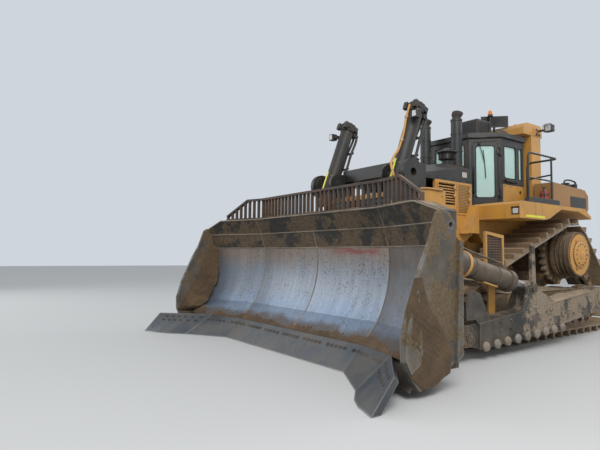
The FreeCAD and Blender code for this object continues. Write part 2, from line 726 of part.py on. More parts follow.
def spill_guard():
    """Barred guard along the blade's top, lower towards both ends."""
    y0 = curve_y(BLADE_TOP, CURVE_R) + GUARD_BACK
    y1 = y0 + GUARD_DEPTH
    base = BLADE_TOP

    def top_at(x):
        if x <= GUARD_FLAT_X:
            return GUARD_TOP
        share = (x - GUARD_FLAT_X) / (GUARD_END_X - GUARD_FLAT_X)
        return GUARD_TOP + share * (GUARD_END_TOP - GUARD_TOP)

    def bent(points, depth0, depth1):
        """Strip of (x, z) points that follows the wing, from one depth to another."""
        first = [V(x, y0 + depth0 - wing_shift(x), z) for x, z in points]
        return outline(first[0], *first[1:]).extrude(V(0, depth1 - depth0, 0))

    strips = []
    low = (base, base + GUARD_RAIL)
    stations = [(0.0, WING_X), (WING_X, GUARD_END_X)]
    for x0, x1 in stations:
        strips.append(bent([(x0, low[0]), (x1, low[0]), (x1, low[1]), (x0, low[1])], 0, GUARD_DEPTH))
    for x0, x1 in ((0.0, WING_X), (WING_X, GUARD_FLAT_X), (GUARD_FLAT_X, GUARD_END_X)):
        z0, z1 = top_at(x0), top_at(x1)
        strips.append(bent([(x0, z0 - GUARD_RAIL), (x1, z1 - GUARD_RAIL), (x1, z1), (x0, z0)], 0, GUARD_DEPTH))
    count = int((GUARD_END_X - GUARD_SLAT) / GUARD_PITCH)
    for index in range(count + 1):
        x = GUARD_PITCH * index + GUARD_PITCH / 2
        if x + GUARD_SLAT > GUARD_END_X:
            break
        y = y0 - wing_shift(x + GUARD_SLAT)
        strips.append(box(x, x + GUARD_SLAT, y + 6, y + GUARD_DEPTH - 6, base + 1, top_at(x + GUARD_SLAT) - 5))
    strips.append(box(GUARD_END_X - GUARD_SLAT, GUARD_END_X, y0 - wing_shift(GUARD_END_X) + 8, y1 - wing_shift(GUARD_END_X), base, GUARD_END_TOP))
    return fuse(strips + [mirrored(strip) for strip in strips])


# Push arms

def push_arm():
    """Left push arm: a tapering box beam with an eye at each end and the tilt cylinder's bracket."""
    x0, x1 = ARM_MID_X - ARM_WIDTH / 2, ARM_MID_X + ARM_WIDTH / 2
    nose = ARM_FRONT_Y + 330
    beam = side_prism([
        (TRUNNION_Y + 60, TRUNNION_Z + 200), (-2700, 715), (nose, 570), (nose, 570 - ARM_DEPTH_FRONT),
        (-2900, 230), (TRUNNION_Y + 60, TRUNNION_Z - 230),
    ], x0, x1)
    rear = cross_x(TRUNNION_Y, TRUNNION_Z, x0, x1, ARM_END_R)
    half = ARM_EYE_WIDTH / 2
    neck = side_prism([(nose, 570), (ARM_FRONT_Y, ARM_FRONT_Z + 150), (ARM_FRONT_Y, ARM_FRONT_Z - 150), (nose, 190)],
                      ARM_MID_X - half, ARM_MID_X + half)
    eye = cross_x(ARM_FRONT_Y, ARM_FRONT_Z, ARM_MID_X - half, ARM_MID_X + half, ARM_EYE_R)
    gusset = side_prism([(-4430, 640), (-4440, 920), (-4280, 1090), (-4080, 1030), (-3850, 640), (-3850, 540),
                         (-4110, 540), (-4200, 640)], x1 - 60, x1 - 15)
    pieces = [beam, rear, neck, eye, gusset]
    half = TILT_SPACE / 2
    for x in (ARM_MID_X - half - TILT_CHEEK, ARM_MID_X + half):
        cheek = fuse([
            side_prism([(-1750, 790), (-2300, 1010), (TILT_ARM_Y, TILT_ARM_Z + 120), (TILT_ARM_Y - 130, TILT_ARM_Z),
                        (-2900, 700), (-2300, 600)], x, x + TILT_CHEEK),
            cross_x(TILT_ARM_Y, TILT_ARM_Z, x, x + TILT_CHEEK, 125),
        ])
        pieces.append(cheek)
    pieces.append(cross_x(TILT_ARM_Y, TILT_ARM_Z, ARM_MID_X - half - TILT_CHEEK - 20, ARM_MID_X + half + TILT_CHEEK + 20, TILT_PIN_R))
    post_x = ARM_MID_X - half - TILT_CHEEK
    pieces.append(side_prism([(-2000, 800), (-2170, 800), (-2130, 1820), (-2040, 1820)], post_x, post_x + 60))
    knobs = 9
    for index in range(knobs):
        y = nose + 120 + index * 300
        z = 570 - ARM_DEPTH_FRONT + (y - nose) * 0.05 + 35
        pieces.append(cross_x(y, z, x0 + 15, x1 + 25, 62))
    arm = fuse(pieces)
    arm = arm.cut(cross_x(TRUNNION_Y, TRUNNION_Z, x0 - 1, x1 + 1, TRUNNION_R + SEAT_GAP))
    return arm.cut(cross_x(ARM_FRONT_Y, ARM_FRONT_Z, x0 - 1, x1 + 1, ARM_PIN_R + SEAT_GAP))


def hose_guard():
    """Framed plate that stands on the arm's inner side, in front of the track."""
    x0, x1 = 1940.0, ARM_MID_X - ARM_WIDTH / 2
    frame = side_prism([(-3400, 1420), (-2840, 1360), (-2840, 1990), (-3400, 2050)], x0, x0 + 45)
    inset = side_prism([(-3350, 1475), (-2890, 1420), (-2890, 1935), (-3350, 1995)], x0 + 25, x0 + 50)
    plate = frame.cut(inset)
    foot = side_prism([(-3300, 640), (-3100, 620), (-3100, 1470), (-3300, 1470)], x0, x0 + 24)
    block = box(x0, x1, -3300, -3100, 480, 640)
    return fuse([plate, foot, block])


# Cylinders

def lift_axis():
    """Unit vector from the yoke down to the eye of the lift cylinder."""
    along = V(0, LIFT_EYE_Y - YOKE_Y, LIFT_EYE_Z - YOKE_Z)
    return along.normalize()


def lift_barrel():
    """Left lift cylinder's barrel with head, gland, trunnion pins and lamp bracket."""
    pivot = V(LIFT_X, YOKE_Y, YOKE_Z)
    down = lift_axis()
    top = pivot - down * LIFT_ABOVE
    low = pivot + down * LIFT_BELOW
    pieces = [
        rod(top, low, LIFT_BARREL_R),
        rod(top, top + down * 150, LIFT_HEAD_R),
        rod(low - down * 130, low, LIFT_HEAD_R),
        rod(pivot - down * 170, pivot + down * 170, LIFT_HEAD_R),
    ]
    reach = YOKE_SPACE / 2 + YOKE_CHEEK
    pieces.append(cross_x(YOKE_Y, YOKE_Z, LIFT_X - reach, LIFT_X + reach, YOKE_PIN_R))
    lamp = top + down * 330 + V(LIFT_BARREL_R + 20, -150, 60)
    pieces.append(box(lamp.x, lamp.x + 110, lamp.y - 60, lamp.y + 60, lamp.z - 65, lamp.z + 65))
    pieces.append(box(LIFT_X + 90, lamp.x + 20, lamp.y - 20, lamp.y + 140, lamp.z - 25, lamp.z + 25))
    barrel = fuse(pieces)
    return barrel.cut(rod(top + down * 60, low + down, LIFT_ROD_R + SEAT_GAP))


def lift_rod():
    """Left lift cylinder's rod with the eye that points at the blade's clevis."""
    eye = V(LIFT_X, LIFT_EYE_Y, LIFT_EYE_Z)
    down = lift_axis()
    half = LIFT_EYE_WIDTH / 2
    shank = rod(eye - down * LIFT_ROD_LONG, eye, LIFT_ROD_R)
    ring = cross_x(LIFT_EYE_Y, LIFT_EYE_Z, LIFT_X - half, LIFT_X + half, LIFT_EYE_R)
    return fuse([shank, ring])


def cylinder_mount():
    """Crossbar over the radiator guard with a yoke for each lift cylinder."""
    half = YOKE_SPACE / 2
    left = []
    for x in (LIFT_X - half - YOKE_CHEEK, LIFT_X + half):
        cheek = fuse([
            cross_x(YOKE_Y, YOKE_Z, x, x + YOKE_CHEEK, YOKE_DRUM_R - 40),
            box(x, x + YOKE_CHEEK, YOKE_Y, GUARD_FRONT_Y + 260, YOKE_Z - 205, YOKE_Z + 205),
        ])
        left.append(cheek)
    drum_x = LIFT_X + half + YOKE_CHEEK
    left.append(cross_x(YOKE_Y, YOKE_Z, drum_x, drum_x + 90, YOKE_DRUM_R))
    left.append(box(LIFT_X - half - YOKE_CHEEK, drum_x, GUARD_FRONT_Y, GUARD_FRONT_Y + 260, GUARD_HIGH, YOKE_Z - 150))
    bar = box(-LIFT_X + half, LIFT_X - half, GUARD_FRONT_Y + 10, GUARD_FRONT_Y + 160, 3100, 3340)
    mount = fuse([bar] + left + [mirrored(piece) for piece in left])
    for side in (-1, 1):
        mount = mount.cut(cross_x(YOKE_Y, YOKE_Z, side * LIFT_X - half - 200, side * LIFT_X + half + 200, YOKE_PIN_R + SEAT_GAP))
    return mount


def tilt_axis():
    """Unit vector from the blade's clevis down to the arm's bracket."""
    return V(0, TILT_ARM_Y - TILT_BLADE_Y, TILT_ARM_Z - TILT_BLADE_Z).normalize()


def tilt_barrel():
    """Left tilt cylinder's barrel, hinged on the blade."""
    pivot = V(ARM_MID_X, TILT_BLADE_Y, TILT_BLADE_Z)
    down = tilt_axis()
    half = TILT_SPACE / 2 - MOVE_GAP
    end = pivot + down * TILT_BARREL_LONG
    neck = rod(pivot, pivot + down * 300, half - 12)
    ear = cross_x(TILT_BLADE_Y, TILT_BLADE_Z, ARM_MID_X - half, ARM_MID_X + half, TILT_EYE_R)
    pieces = [
        neck, ear, rod(pivot + down * 220, end, TILT_BARREL_R),
        rod(pivot + down * 220, pivot + down * 760, TILT_COLLAR_R), rod(end - down * 120, end, TILT_BARREL_R + 25),
    ]
    barrel = fuse(pieces)
    barrel = barrel.cut(rod(end - down * (TILT_ROD_IN + 250), end + down, TILT_ROD_R + SEAT_GAP))
    return barrel.cut(cross_x(TILT_BLADE_Y, TILT_BLADE_Z, ARM_MID_X - half - 1, ARM_MID_X + half + 1, TILT_PIN_R + SEAT_GAP))


def tilt_rod():
    """Left tilt cylinder's rod; its eye is the opened pivot, with room round the arm's pin."""
    eye = V(ARM_MID_X, TILT_ARM_Y, TILT_ARM_Z)
    down = tilt_axis()
    half = TILT_SPACE / 2 - MOVE_GAP
    start = V(ARM_MID_X, TILT_BLADE_Y, TILT_BLADE_Z) + down * (TILT_BARREL_LONG - TILT_ROD_IN)
    shank = rod(start, eye, TILT_ROD_R)
    ring = cross_x(TILT_ARM_Y, TILT_ARM_Z, ARM_MID_X - half, ARM_MID_X + half, TILT_EYE_R)
    body = fuse([shank, ring])
    return body.cut(cross_x(TILT_ARM_Y, TILT_ARM_Z, ARM_MID_X - half - 1, ARM_MID_X + half + 1, TILT_PIN_R + TILT_DRIFT))


# Engine house

def radiator_guard():
    """Heavy yellow box round the radiator, open in front and behind."""
    low_half = TRACK_INNER_X - TRACK_CLEAR
    right = [(low_half - 200, GUARD_LOW), (low_half, GUARD_LOW + 200), (low_half, GUARD_WAIST),
             (GUARD_HALF, GUARD_WAIST + 200), (GUARD_HALF, GUARD_HIGH)]
    left = [(-x, z) for x, z in reversed(right)]
    outer = front_prism(right + left, GUARD_FRONT_Y, GUARD_REAR_Y)
    inner = box(-GUARD_HALF + GUARD_WALL, GUARD_HALF - GUARD_WALL, GUARD_FRONT_Y - 1, GUARD_REAR_Y + 1,
                GUARD_WAIST + 200, GUARD_HIGH - GUARD_WALL)
    guard = outer.cut(inner)
    return guard.cut(main_frame())


def grille():
    """Barred grille in the front opening of the radiator guard."""
    half = GUARD_HALF - GUARD_WALL
    top = GUARD_HIGH - GUARD_WALL
    y0, y1 = GUARD_FRONT_Y + 60, GUARD_FRONT_Y + 110
    low = GUARD_WAIST + 200
    core = box(-half, half, y1, GUARD_REAR_Y, low, top)
    bars = []
    count = 9
    for index in range(count):
        z = low + (index + 0.5) * (top - low) / count
        bars.append(box(-half, half, y0, y1, z - 35, z + 35))
    bars.append(box(-50, 50, y0 - 15, y1, low, top))
    return fuse([core] + bars)


def hood_wire(y, top):
    """Outline of the hood at a place along Y."""
    points = [(-HOOD_HALF, HOOD_SIDE_LOW), (-HOOD_HALF, top - HOOD_SHOULDER), (-HOOD_TOP_HALF, top),
              (HOOD_TOP_HALF, top), (HOOD_HALF, top - HOOD_SHOULDER), (HOOD_HALF, HOOD_SIDE_LOW)]
    corners = [V(x, y, z) for x, z in points]
    return Part.makePolygon(corners + corners[:1])


def hood():
    """Black hood of folded sheet over the engine, sloping down to the front."""
    front, rear = hood_wire(HOOD_FRONT_Y + 190, HOOD_TOP - HOOD_FALL), hood_wire(HOOD_FLAT_Y, HOOD_TOP)
    slope = Part.makeLoft([front, rear], True, True)
    level = Part.Face(rear).extrude(V(0, HOOD_REAR_Y - HOOD_FLAT_Y, 0))
    cowl = [(-COWL_HALF, CAB_FLOOR), (-COWL_HALF, HOOD_TOP - 60), (-COWL_HALF + 60, HOOD_TOP), (COWL_HALF - 60, HOOD_TOP),
            (COWL_HALF, HOOD_TOP - 60), (COWL_HALF, CAB_FLOOR)]
    return fuse([slope, level, front_prism(cowl, HOOD_REAR_Y, CAB_FRONT_Y)])


def side_panel():
    """Left engine side: a barred grille in front, doors behind and the frame rail below."""
    x0, x1 = HOOD_HALF - 55, HOOD_HALF
    sheet = side_prism([(GUARD_REAR_Y, HOOD_SIDE_LOW), (GUARD_REAR_Y, 2480), (-3300, PANEL_LOW - 500), (-2700, PANEL_LOW - 500),
                        (HOOD_REAR_Y, PANEL_LOW - 300), (HOOD_REAR_Y, HOOD_SIDE_LOW)], x0, x1)
    window = box(x0 - 1, x1 + 1, -3380, -2880, 2600, 3000)
    panel = sheet.cut(window)
    bars = [box(x0 + 10, x1 - 5, -3380, -2880, z, z + 22) for z in range(2640, 2990, 50)]
    inner = TRACK_INNER_X - TRACK_CLEAR
    rail = box(HULL_HALF, inner, GUARD_REAR_Y, -2400, ENGINE_BED, ENGINE_BED + 120)
    skirt = box(inner - 55, inner, GUARD_REAR_Y, -2700, ENGINE_BED + 120, PANEL_LOW - 400)
    return fuse([panel, rail, skirt] + bars)


def stack():
    """Left exhaust stack with a cut mouth."""
    z0 = HOOD_TOP
    sleeve = Part.makeCylinder(STACK_R, STACK_TOP - 120 - z0, V(STACK_X, STACK_Y, z0))
    pipe = Part.makeCylinder(STACK_R - 8, STACK_TOP - z0, V(STACK_X, STACK_Y, z0))
    body = sleeve.fuse(pipe)
    body = body.cut(Part.makeCylinder(STACK_BORE_R, STACK_TOP, V(STACK_X, STACK_Y, z0 + 200)))
    slant = side_prism([(STACK_Y - 200, STACK_TOP + 10), (STACK_Y - 200, STACK_TOP - 90), (STACK_Y + 200, STACK_TOP + 10)], STACK_X - 200, STACK_X + 200)
    return body.cut(slant)


def cleaner():
    """Left air pre-cleaner: stem, bowl and rim."""
    steps = [
        # start and end above the hood, radius
        (0.0, 80.0, 95.0), (80.0, 250.0, 165.0), (250.0, 290.0, 210.0), (290.0, 360.0, 120.0),
    ]
    rounds = [Part.makeCylinder(radius, end - start, V(CLEANER_X, CLEANER_Y, HOOD_TOP + start)) for start, end, radius in steps]
    return fuse(rounds)


# Cab

def cab_plan(inset):
    """Plan of the cab: narrow front, slanted door faces, straight sides and rear."""
    half, front = CAB_HALF - inset, CAB_FRONT_HALF - inset * 0.4
    y0, y1, y2 = CAB_FRONT_Y + inset, CAB_POST_Y + inset * 0.5, CAB_REAR_Y - inset
    return [(-front, y0), (front, y0), (half, y1), (half, y2), (-half, y2), (-half, y1)]


def door_frame():
    """Start, unit vectors along and out of the left door face, and the face's length."""
    start = V(CAB_FRONT_HALF, CAB_FRONT_Y, 0)
    end = V(CAB_HALF, CAB_POST_Y, 0)
    along = (end - start).normalize()
    out = V(along.y, -along.x, 0)
    return start, along, out, (end - start).Length


def door_block(a0, a1, d0, d1, z0, z1):
    """Block in the left door's own directions: along the face, out of it and up."""
    start, along, out, _ = door_frame()
    corners = [start + along * a + out * d for a, d in ((a0, d0), (a1, d0), (a1, d1), (a0, d1))]
    return plan_prism([(p.x, p.y) for p in corners], z0, z1)


DOOR_EDGE = 60.0        # cab post between the doorway and the corner
DOOR_LOW = CAB_FLOOR + 70.0
DOOR_HIGH = CAB_TOP - 60.0


def hinge_place():
    """Axis of the left door's hinge in plan."""
    start, along, out, long = door_frame()
    return start + along * (long - DOOR_EDGE + 18) + out * (KNUCKLE_R + 6)


def cab_shell():
    """Cab walls, floor and posts with the windows and both doorways cut."""
    shell = plan_prism(cab_plan(0), CAB_FLOOR, CAB_TOP)
    shell = shell.cut(plan_prism(cab_plan(CAB_WALL), CAB_FLOOR + 60, CAB_TOP - 50))
    _, _, _, long = door_frame()
    doorway = door_block(DOOR_EDGE, long - DOOR_EDGE, -150, 150, DOOR_LOW, DOOR_HIGH)
    cuts = [doorway, mirrored(doorway)]
    for x0, x1, y0, y1, z0, z1 in cab_windows():
        cuts.append(box(x0, x1, y0, y1, z0, z1))
    shell = shell.cut(cuts)
    place = hinge_place()
    lugs = []
    for z in hinge_heights():
        pin = Part.makeCylinder(HINGE_R, KNUCKLE_LONG + 60, V(place.x, place.y, z - 30))
        for z0 in (z - 30 - MOVE_GAP, z + KNUCKLE_LONG + MOVE_GAP):
            knuckle = Part.makeCylinder(KNUCKLE_R, 30, V(place.x, place.y, z0))
            start, along, out, _ = door_frame()
            tab = door_block(long - DOOR_EDGE + 4, long - 8, -10, KNUCKLE_R + 6, z0, z0 + 30)
            lugs += [knuckle, tab]
        lugs.append(pin)
    return fuse([shell] + lugs + [mirrored(lug) for lug in lugs])


def hinge_heights():
    """Heights of the door knuckles."""
    return (DOOR_LOW + 200, DOOR_HIGH - 200 - KNUCKLE_LONG)


def cab_windows():
    """Window openings: x0, x1, y0, y1, z0, z1."""
    side_x = CAB_HALF - CAB_WALL
    return [
        (-CAB_FRONT_HALF + 90, CAB_FRONT_HALF - 90, CAB_FRONT_Y, CAB_FRONT_Y + CAB_WALL, 2980, CAB_TOP - 100),
        (-CAB_HALF + 260, CAB_HALF - 260, CAB_REAR_Y - CAB_WALL, CAB_REAR_Y, 3250, CAB_TOP - 180),
    ] + [
        (x0, x0 + CAB_WALL, y0, y1, 3300, CAB_TOP - 150)
        for x0 in (side_x, -CAB_HALF) for y0, y1 in ((-1180, -700), (-620, -470))
    ]


def cab_glass():
    """Fixed panes in the middle of the walls."""
    panes = []
    for x0, x1, y0, y1, z0, z1 in cab_windows():
        if x1 - x0 > y1 - y0:
            middle = (y0 + y1) / 2
            panes.append(box(x0, x1, middle - GLASS / 2, middle + GLASS / 2, z0, z1))
        else:
            middle = (x0 + x1) / 2
            panes.append(box(middle - GLASS / 2, middle + GLASS / 2, y0, y1, z0, z1))
    return Part.makeCompound(panes)


def door():
    """Left door leaf with a tall window and its hinge knuckles."""
    _, along, out, long = door_frame()
    a0, a1 = DOOR_EDGE + DOOR_GAP, long - DOOR_EDGE - DOOR_GAP
    z0, z1 = DOOR_LOW + DOOR_GAP, DOOR_HIGH - DOOR_GAP
    leaf = door_block(a0, a1, -DOOR_THICK, 0, z0, z1)
    leaf = leaf.cut(door_block(a0 + 75, a1 - 75, -DOOR_THICK - 1, 1, z0 + 150, z1 - 90))
    place = hinge_place()
    pieces = [leaf]
    for z in hinge_heights():
        pieces.append(Part.makeCylinder(KNUCKLE_R, KNUCKLE_LONG, V(place.x, place.y, z)))
        pieces.append(door_block(a1 - 45, a1, 0, KNUCKLE_R + 4, z, z + KNUCKLE_LONG))
        pieces.append(door_block(a1 - 5, a1 + KNUCKLE_R, DOOR_GAP, KNUCKLE_R + 4, z, z + KNUCKLE_LONG))
    grip = door_block(a0 + 20, a0 + 45, 0, 60, 3000, 3030)
    grip_top = door_block(a0 + 20, a0 + 45, 0, 60, 3500, 3530)
    bar = door_block(a0 + 20, a0 + 45, 40, 60, 3030, 3500)
    body = fuse(pieces + [grip, grip_top, bar])
    bore = [Part.makeCylinder(HINGE_R + SEAT_GAP, KNUCKLE_LONG + 2, V(place.x, place.y, z - 1)) for z in hinge_heights()]
    return body.cut(bore)


def door_glass():
    """Pane of the left door."""
    _, _, _, long = door_frame()
    a0, a1 = DOOR_EDGE + DOOR_GAP, long - DOOR_EDGE - DOOR_GAP
    middle = -DOOR_THICK / 2
    return door_block(a0 + 75, a1 - 75, middle - GLASS / 2, middle + GLASS / 2, DOOR_LOW + DOOR_GAP + 150, DOOR_HIGH - DOOR_GAP - 90)


def cab_roof():
    """Roof plate of the cab with a rim all round."""
    slab = plan_prism(cab_plan(-35), CAB_TOP, CAB_TOP + ROOF_THICK)
    return slab


def seat():
    """Operator's seat: cushion, back and pedestal."""
    rear = CAB_REAR_Y - 170
    low, high = SEAT_TOP - 120, SEAT_TOP
    cushion = box(-260, 260, rear - 650, rear - 170, low, high)
    back = side_prism([(rear - 200, high), (rear - 170, low), (rear - 60, low), (rear, high + 670),
                       (rear - 110, high + 670)], -250, 250)
    base = box(-200, 200, rear - 570, rear - 170, CAB_FLOOR + 60, low)
    return fuse([cushion, back, base])


def console():
    """Side consoles of the cab."""
    rear, foot, top = CAB_REAR_Y - 150, CAB_FLOOR + 60, SEAT_TOP + 70
    profile = [(rear - 800, foot), (rear, foot), (rear, top), (rear - 650, top), (rear - 800, top - 100)]
    return both(side_prism(profile, 420, 700))


# Roll-over frame, platforms, tank

def rops():
    """Roll-over frame: two posts and the deep roof beam."""
    roof = side_prism([(ROPS_FRONT_Y, ROPS_TOP - 120), (ROPS_FRONT_Y + 90, ROPS_TOP - 20), (ROPS_FRONT_Y + 160, ROPS_TOP),
                       (ROPS_REAR_Y - 60, ROPS_TOP), (ROPS_REAR_Y, ROPS_TOP - 60), (ROPS_REAR_Y, ROPS_TOP - ROPS_DEEP),
                       (ROPS_FRONT_Y, ROPS_TOP - ROPS_DEEP)], -ROPS_HALF, ROPS_HALF)
    posts = []
    for side in (-1, 1):
        x0, x1 = sorted((side * ROPS_HALF, side * (ROPS_HALF - POST_WIDTH)))
        posts.append(box(x0, x1, POST_FRONT_Y, POST_REAR_Y, DECK_TOP, ROPS_TOP - ROPS_DEEP))
    return fuse([roof] + posts)


def platform():
    """Left platform and fender over the track, with the lamp recess in front."""
    profile = [
        (DECK_FRONT_Y, 2330), (DECK_FRONT_Y, 2600), (DECK_FRONT_Y + 60, DECK_TOP), (POST_REAR_Y, DECK_TOP), (460, 2490), (460, 2440),
        (-120, 2575), (-840, 2575), (-1300, 2370), (-1500, 2330),
    ]
    deck = side_prism(profile, DECK_INNER_X - 200, DECK_OUTER_X)
    recess = box(1840, 2010, DECK_FRONT_Y - 1, DECK_FRONT_Y + 110, 2395, 2545)
    seat_x = CAB_HALF - CAB_SEAT
    shelf = box(min(seat_x, ROPS_HALF - POST_WIDTH), DECK_INNER_X - 200, CAB_FRONT_Y - 100, POST_REAR_Y, 2575, DECK_TOP)
    return fuse([deck.cut(recess), shelf, side_prism([(-2250, 2330), (-700, 2575), (-100, 2575), (-100, CASE_TOP), (-1500, 1900), (-1900, 1900)],
                                              HULL_HALF, TRACK_MID_X - SHOE_WIDTH / 2 - 60)])


def handrail():
    """Left handrail of bent tube on the platform."""
    x = 2000.0
    inner_x = 1360.0
    pieces = [
        rod(V(x, -2020, DECK_TOP), V(x, -2020, RAIL_TOP), POST_R),
        rod(V(x, -1150, DECK_TOP), V(x, -1150, RAIL_TOP), POST_R),
        rod(V(x, -2020 - RAIL_R, RAIL_TOP), V(x, -900 + RAIL_R, RAIL_TOP), RAIL_R),
        rod(V(x, -2020, 3120), V(x, -1150, 3120), MID_RAIL_R),
        rod(V(x, -900, RAIL_TOP), V(inner_x, -900, RAIL_TOP), MID_RAIL_R),
        rod(V(inner_x, -900, RAIL_TOP + RAIL_R), V(inner_x, -900, DECK_TOP), POST_R),
        rod(V(x, -1150, 3250), V(inner_x, -900, 3250), MID_RAIL_R),
    ]
    return fuse(pieces)


def fuel_tank():
    """Tank behind the cab with a sloped top, standing on the rear case."""
    profile = [
        (TANK_FRONT_Y, TANK_LOW), (TANK_REAR_Y - 80, TANK_LOW), (TANK_REAR_Y, TANK_LOW + 90), (TANK_REAR_Y, TANK_TOP - 190),
        (TANK_REAR_Y - 160, TANK_TOP - 60), (TANK_FRONT_Y, TANK_TOP),
    ]
    tank = side_prism(profile, -TANK_HALF, TANK_HALF)
    beside = ROPS_HALF + 30
    tank = tank.cut(box(-beside, beside, TANK_FRONT_Y - 1, POST_REAR_Y + 40, TANK_LOW - 1, TANK_TOP + 1))
    saddle = box(-HULL_HALF, HULL_HALF, POST_REAR_Y + 60, HULL_REAR_Y - 210, CASE_TOP, TANK_LOW)
    return fuse([tank, saddle])


def roof_unit():
    """Black box of the air unit on the cab roof, with a blank board on its foot."""
    roof = CAB_TOP + ROOF_THICK
    base = box(-40, 540, -1450, -970, roof, roof + 370)
    x, y = BOARD_PLACE
    lean = BOARD_HALF * ROOT_HALF
    thick = 12.0
    board = plan_prism([(x - lean, y - lean), (x + lean, y + lean), (x + lean - thick, y + lean + thick),
                        (x - lean - thick, y - lean + thick)], BOARD_LOW, BOARD_LOW + BOARD_HIGH)
    foot = box(x - 35, x + 5, y - 15, y + 25, roof, BOARD_LOW + BOARD_HIGH - 40)
    return fuse([base, board, foot])


def beacon():
    """Beacon on a post beside the blank board."""
    x, y = BEACON_PLACE
    roof = CAB_TOP + ROOF_THICK
    base = BOARD_LOW + BOARD_HIGH - 30
    post = Part.makeCylinder(22, base - roof, V(x, y, roof))
    lamp = Part.makeCylinder(58, 45, V(x, y, base)).fuse(Part.makeCone(50, 38, 95, V(x, y, base + 45)))
    return post.fuse(lamp)


def lamps():
    """Work lamps on brackets beside the roll-over frame and in the platform recess."""
    bracket = box(ROPS_HALF, ROPS_HALF + 240, -20, 20, ROPS_TOP - 170, ROPS_TOP - 130)
    lamp = box(ROPS_HALF + 220, ROPS_HALF + 380, -70, 60, ROPS_TOP - 210, ROPS_TOP - 60)
    roof = bracket.fuse(lamp)
    deck = box(1860, 1990, DECK_FRONT_Y + 30, DECK_FRONT_Y + 110, 2410, 2530)
    return Part.makeCompound([roof, mirrored(roof), deck, mirrored(deck)])


def extinguisher():
    """Red bottle standing on the left platform beside the post."""
    x, y = 1420.0, -330.0
    bottle = Part.makeCylinder(85, 420, V(x, y, DECK_TOP))
    neck = Part.makeCylinder(30, 70, V(x, y, DECK_TOP + 420))
    return bottle.fuse(neck)


def pieces():
    """Every piece of the machine: node name and shape."""
    left = {
        "push_arm": push_arm(), "lift_barrel": lift_barrel(), "lift_rod": lift_rod(),
        "tilt_barrel": tilt_barrel(), "tilt_rod": tilt_rod(), "door": door(), "door_glass": door_glass(), "track": track(),
    }
    parts = {}
    for name, shape in left.items():
        parts[name + "_left"] = shape
        parts[name + "_right"] = mirrored(shape)
    pairs = {
        "sprockets": [sprocket()], "final_drives": [final_drive()], "idlers": idlers(), "rollers": rollers(),
        "roller_frames": [roller_frame()], "end_bits": [end_bit()], "side_plates": [side_plate()],
        "hose_guards": [hose_guard()], "side_panels": [side_panel()], "exhaust_stacks": [stack()],
        "precleaners": [cleaner()], "platforms": [platform()], "handrails": [handrail()],
    }
    for name, solids in pairs.items():
        parts[name] = Part.makeCompound(solids + [mirrored(solid) for solid in solids])
    parts.update({
        "main_frame": main_frame(), "engine_block": engine_block(), "counterweight": counterweight(),
        "drawbar": drawbar(), "moldboard": moldboard(), "cutting_edge": cutting_edge(), "blade_frame": blade_frame(),
        "spill_guard": spill_guard(), "cylinder_mount": cylinder_mount(), "radiator_guard": radiator_guard(),
        "radiator_grille": grille(), "hood": hood(), "cab_shell": cab_shell(), "cab_glass": cab_glass(),
        "cab_roof": cab_roof(), "operator_seat": seat(), "side_consoles": console(), "rops_frame": rops(),
        "fuel_tank": fuel_tank(), "roof_unit": roof_unit(), "beacon": beacon(), "work_lamps": lamps(),
        "extinguisher": extinguisher(),
    })
    return parts


def middle_shift(parts):
    """Shift along Y that brings the middle of the machine's box to the origin."""
    whole = Part.makeCompound(list(parts.values())).BoundBox
    return -(whole.YMin + whole.YMax) / 2


def main():
    """Write one STEP file per piece."""
    os.makedirs("parts", exist_ok=True)
    parts = pieces()
    shift = middle_shift(parts)
    print("shift along Y:", round(shift, 3))
    for name, shape in parts.items():
        moved = shape.copy()
        moved.translate(V(0, shift, 0))
        moved.exportStep("parts/" + name + ".step")


if __name__ == "__main__":
    main()
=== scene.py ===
"""Large bulldozer with a wide curved blade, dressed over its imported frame.

Lengths are in metres. Shapes are worked out from the sprocket axle and the ground, as the frame is,
and moved along Y when they are placed. The machine faces -Y, its left side is +X and +Z is up.
"""

import logging
import math
from dataclasses import dataclass, field, replace
from enum import Enum
from typing import Any, Sequence, Union

import bpy
import numpy as np
from mathutils import Matrix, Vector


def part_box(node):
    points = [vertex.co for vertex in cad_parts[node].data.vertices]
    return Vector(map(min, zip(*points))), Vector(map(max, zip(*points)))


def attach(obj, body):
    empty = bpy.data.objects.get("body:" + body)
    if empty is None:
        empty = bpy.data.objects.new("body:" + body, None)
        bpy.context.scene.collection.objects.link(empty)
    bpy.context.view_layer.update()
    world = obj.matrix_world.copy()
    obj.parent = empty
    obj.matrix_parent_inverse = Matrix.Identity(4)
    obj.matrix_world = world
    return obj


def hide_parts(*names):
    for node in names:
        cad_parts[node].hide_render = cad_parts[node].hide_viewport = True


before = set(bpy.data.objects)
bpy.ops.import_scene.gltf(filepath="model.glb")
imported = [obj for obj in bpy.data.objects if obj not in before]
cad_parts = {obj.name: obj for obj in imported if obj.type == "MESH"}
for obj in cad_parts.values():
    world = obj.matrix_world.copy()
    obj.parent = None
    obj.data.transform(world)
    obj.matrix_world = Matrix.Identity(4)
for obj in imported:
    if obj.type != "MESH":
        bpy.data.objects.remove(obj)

logging.basicConfig(level=logging.INFO, format="%(levelname)s %(message)s")
log = logging.getLogger("bulldozer")

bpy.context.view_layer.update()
AXLE_Y = sum(corner.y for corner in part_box("final_drives")) / 2

Array = np.ndarray
Color = tuple[float, float, float]
Point = Sequence[float]


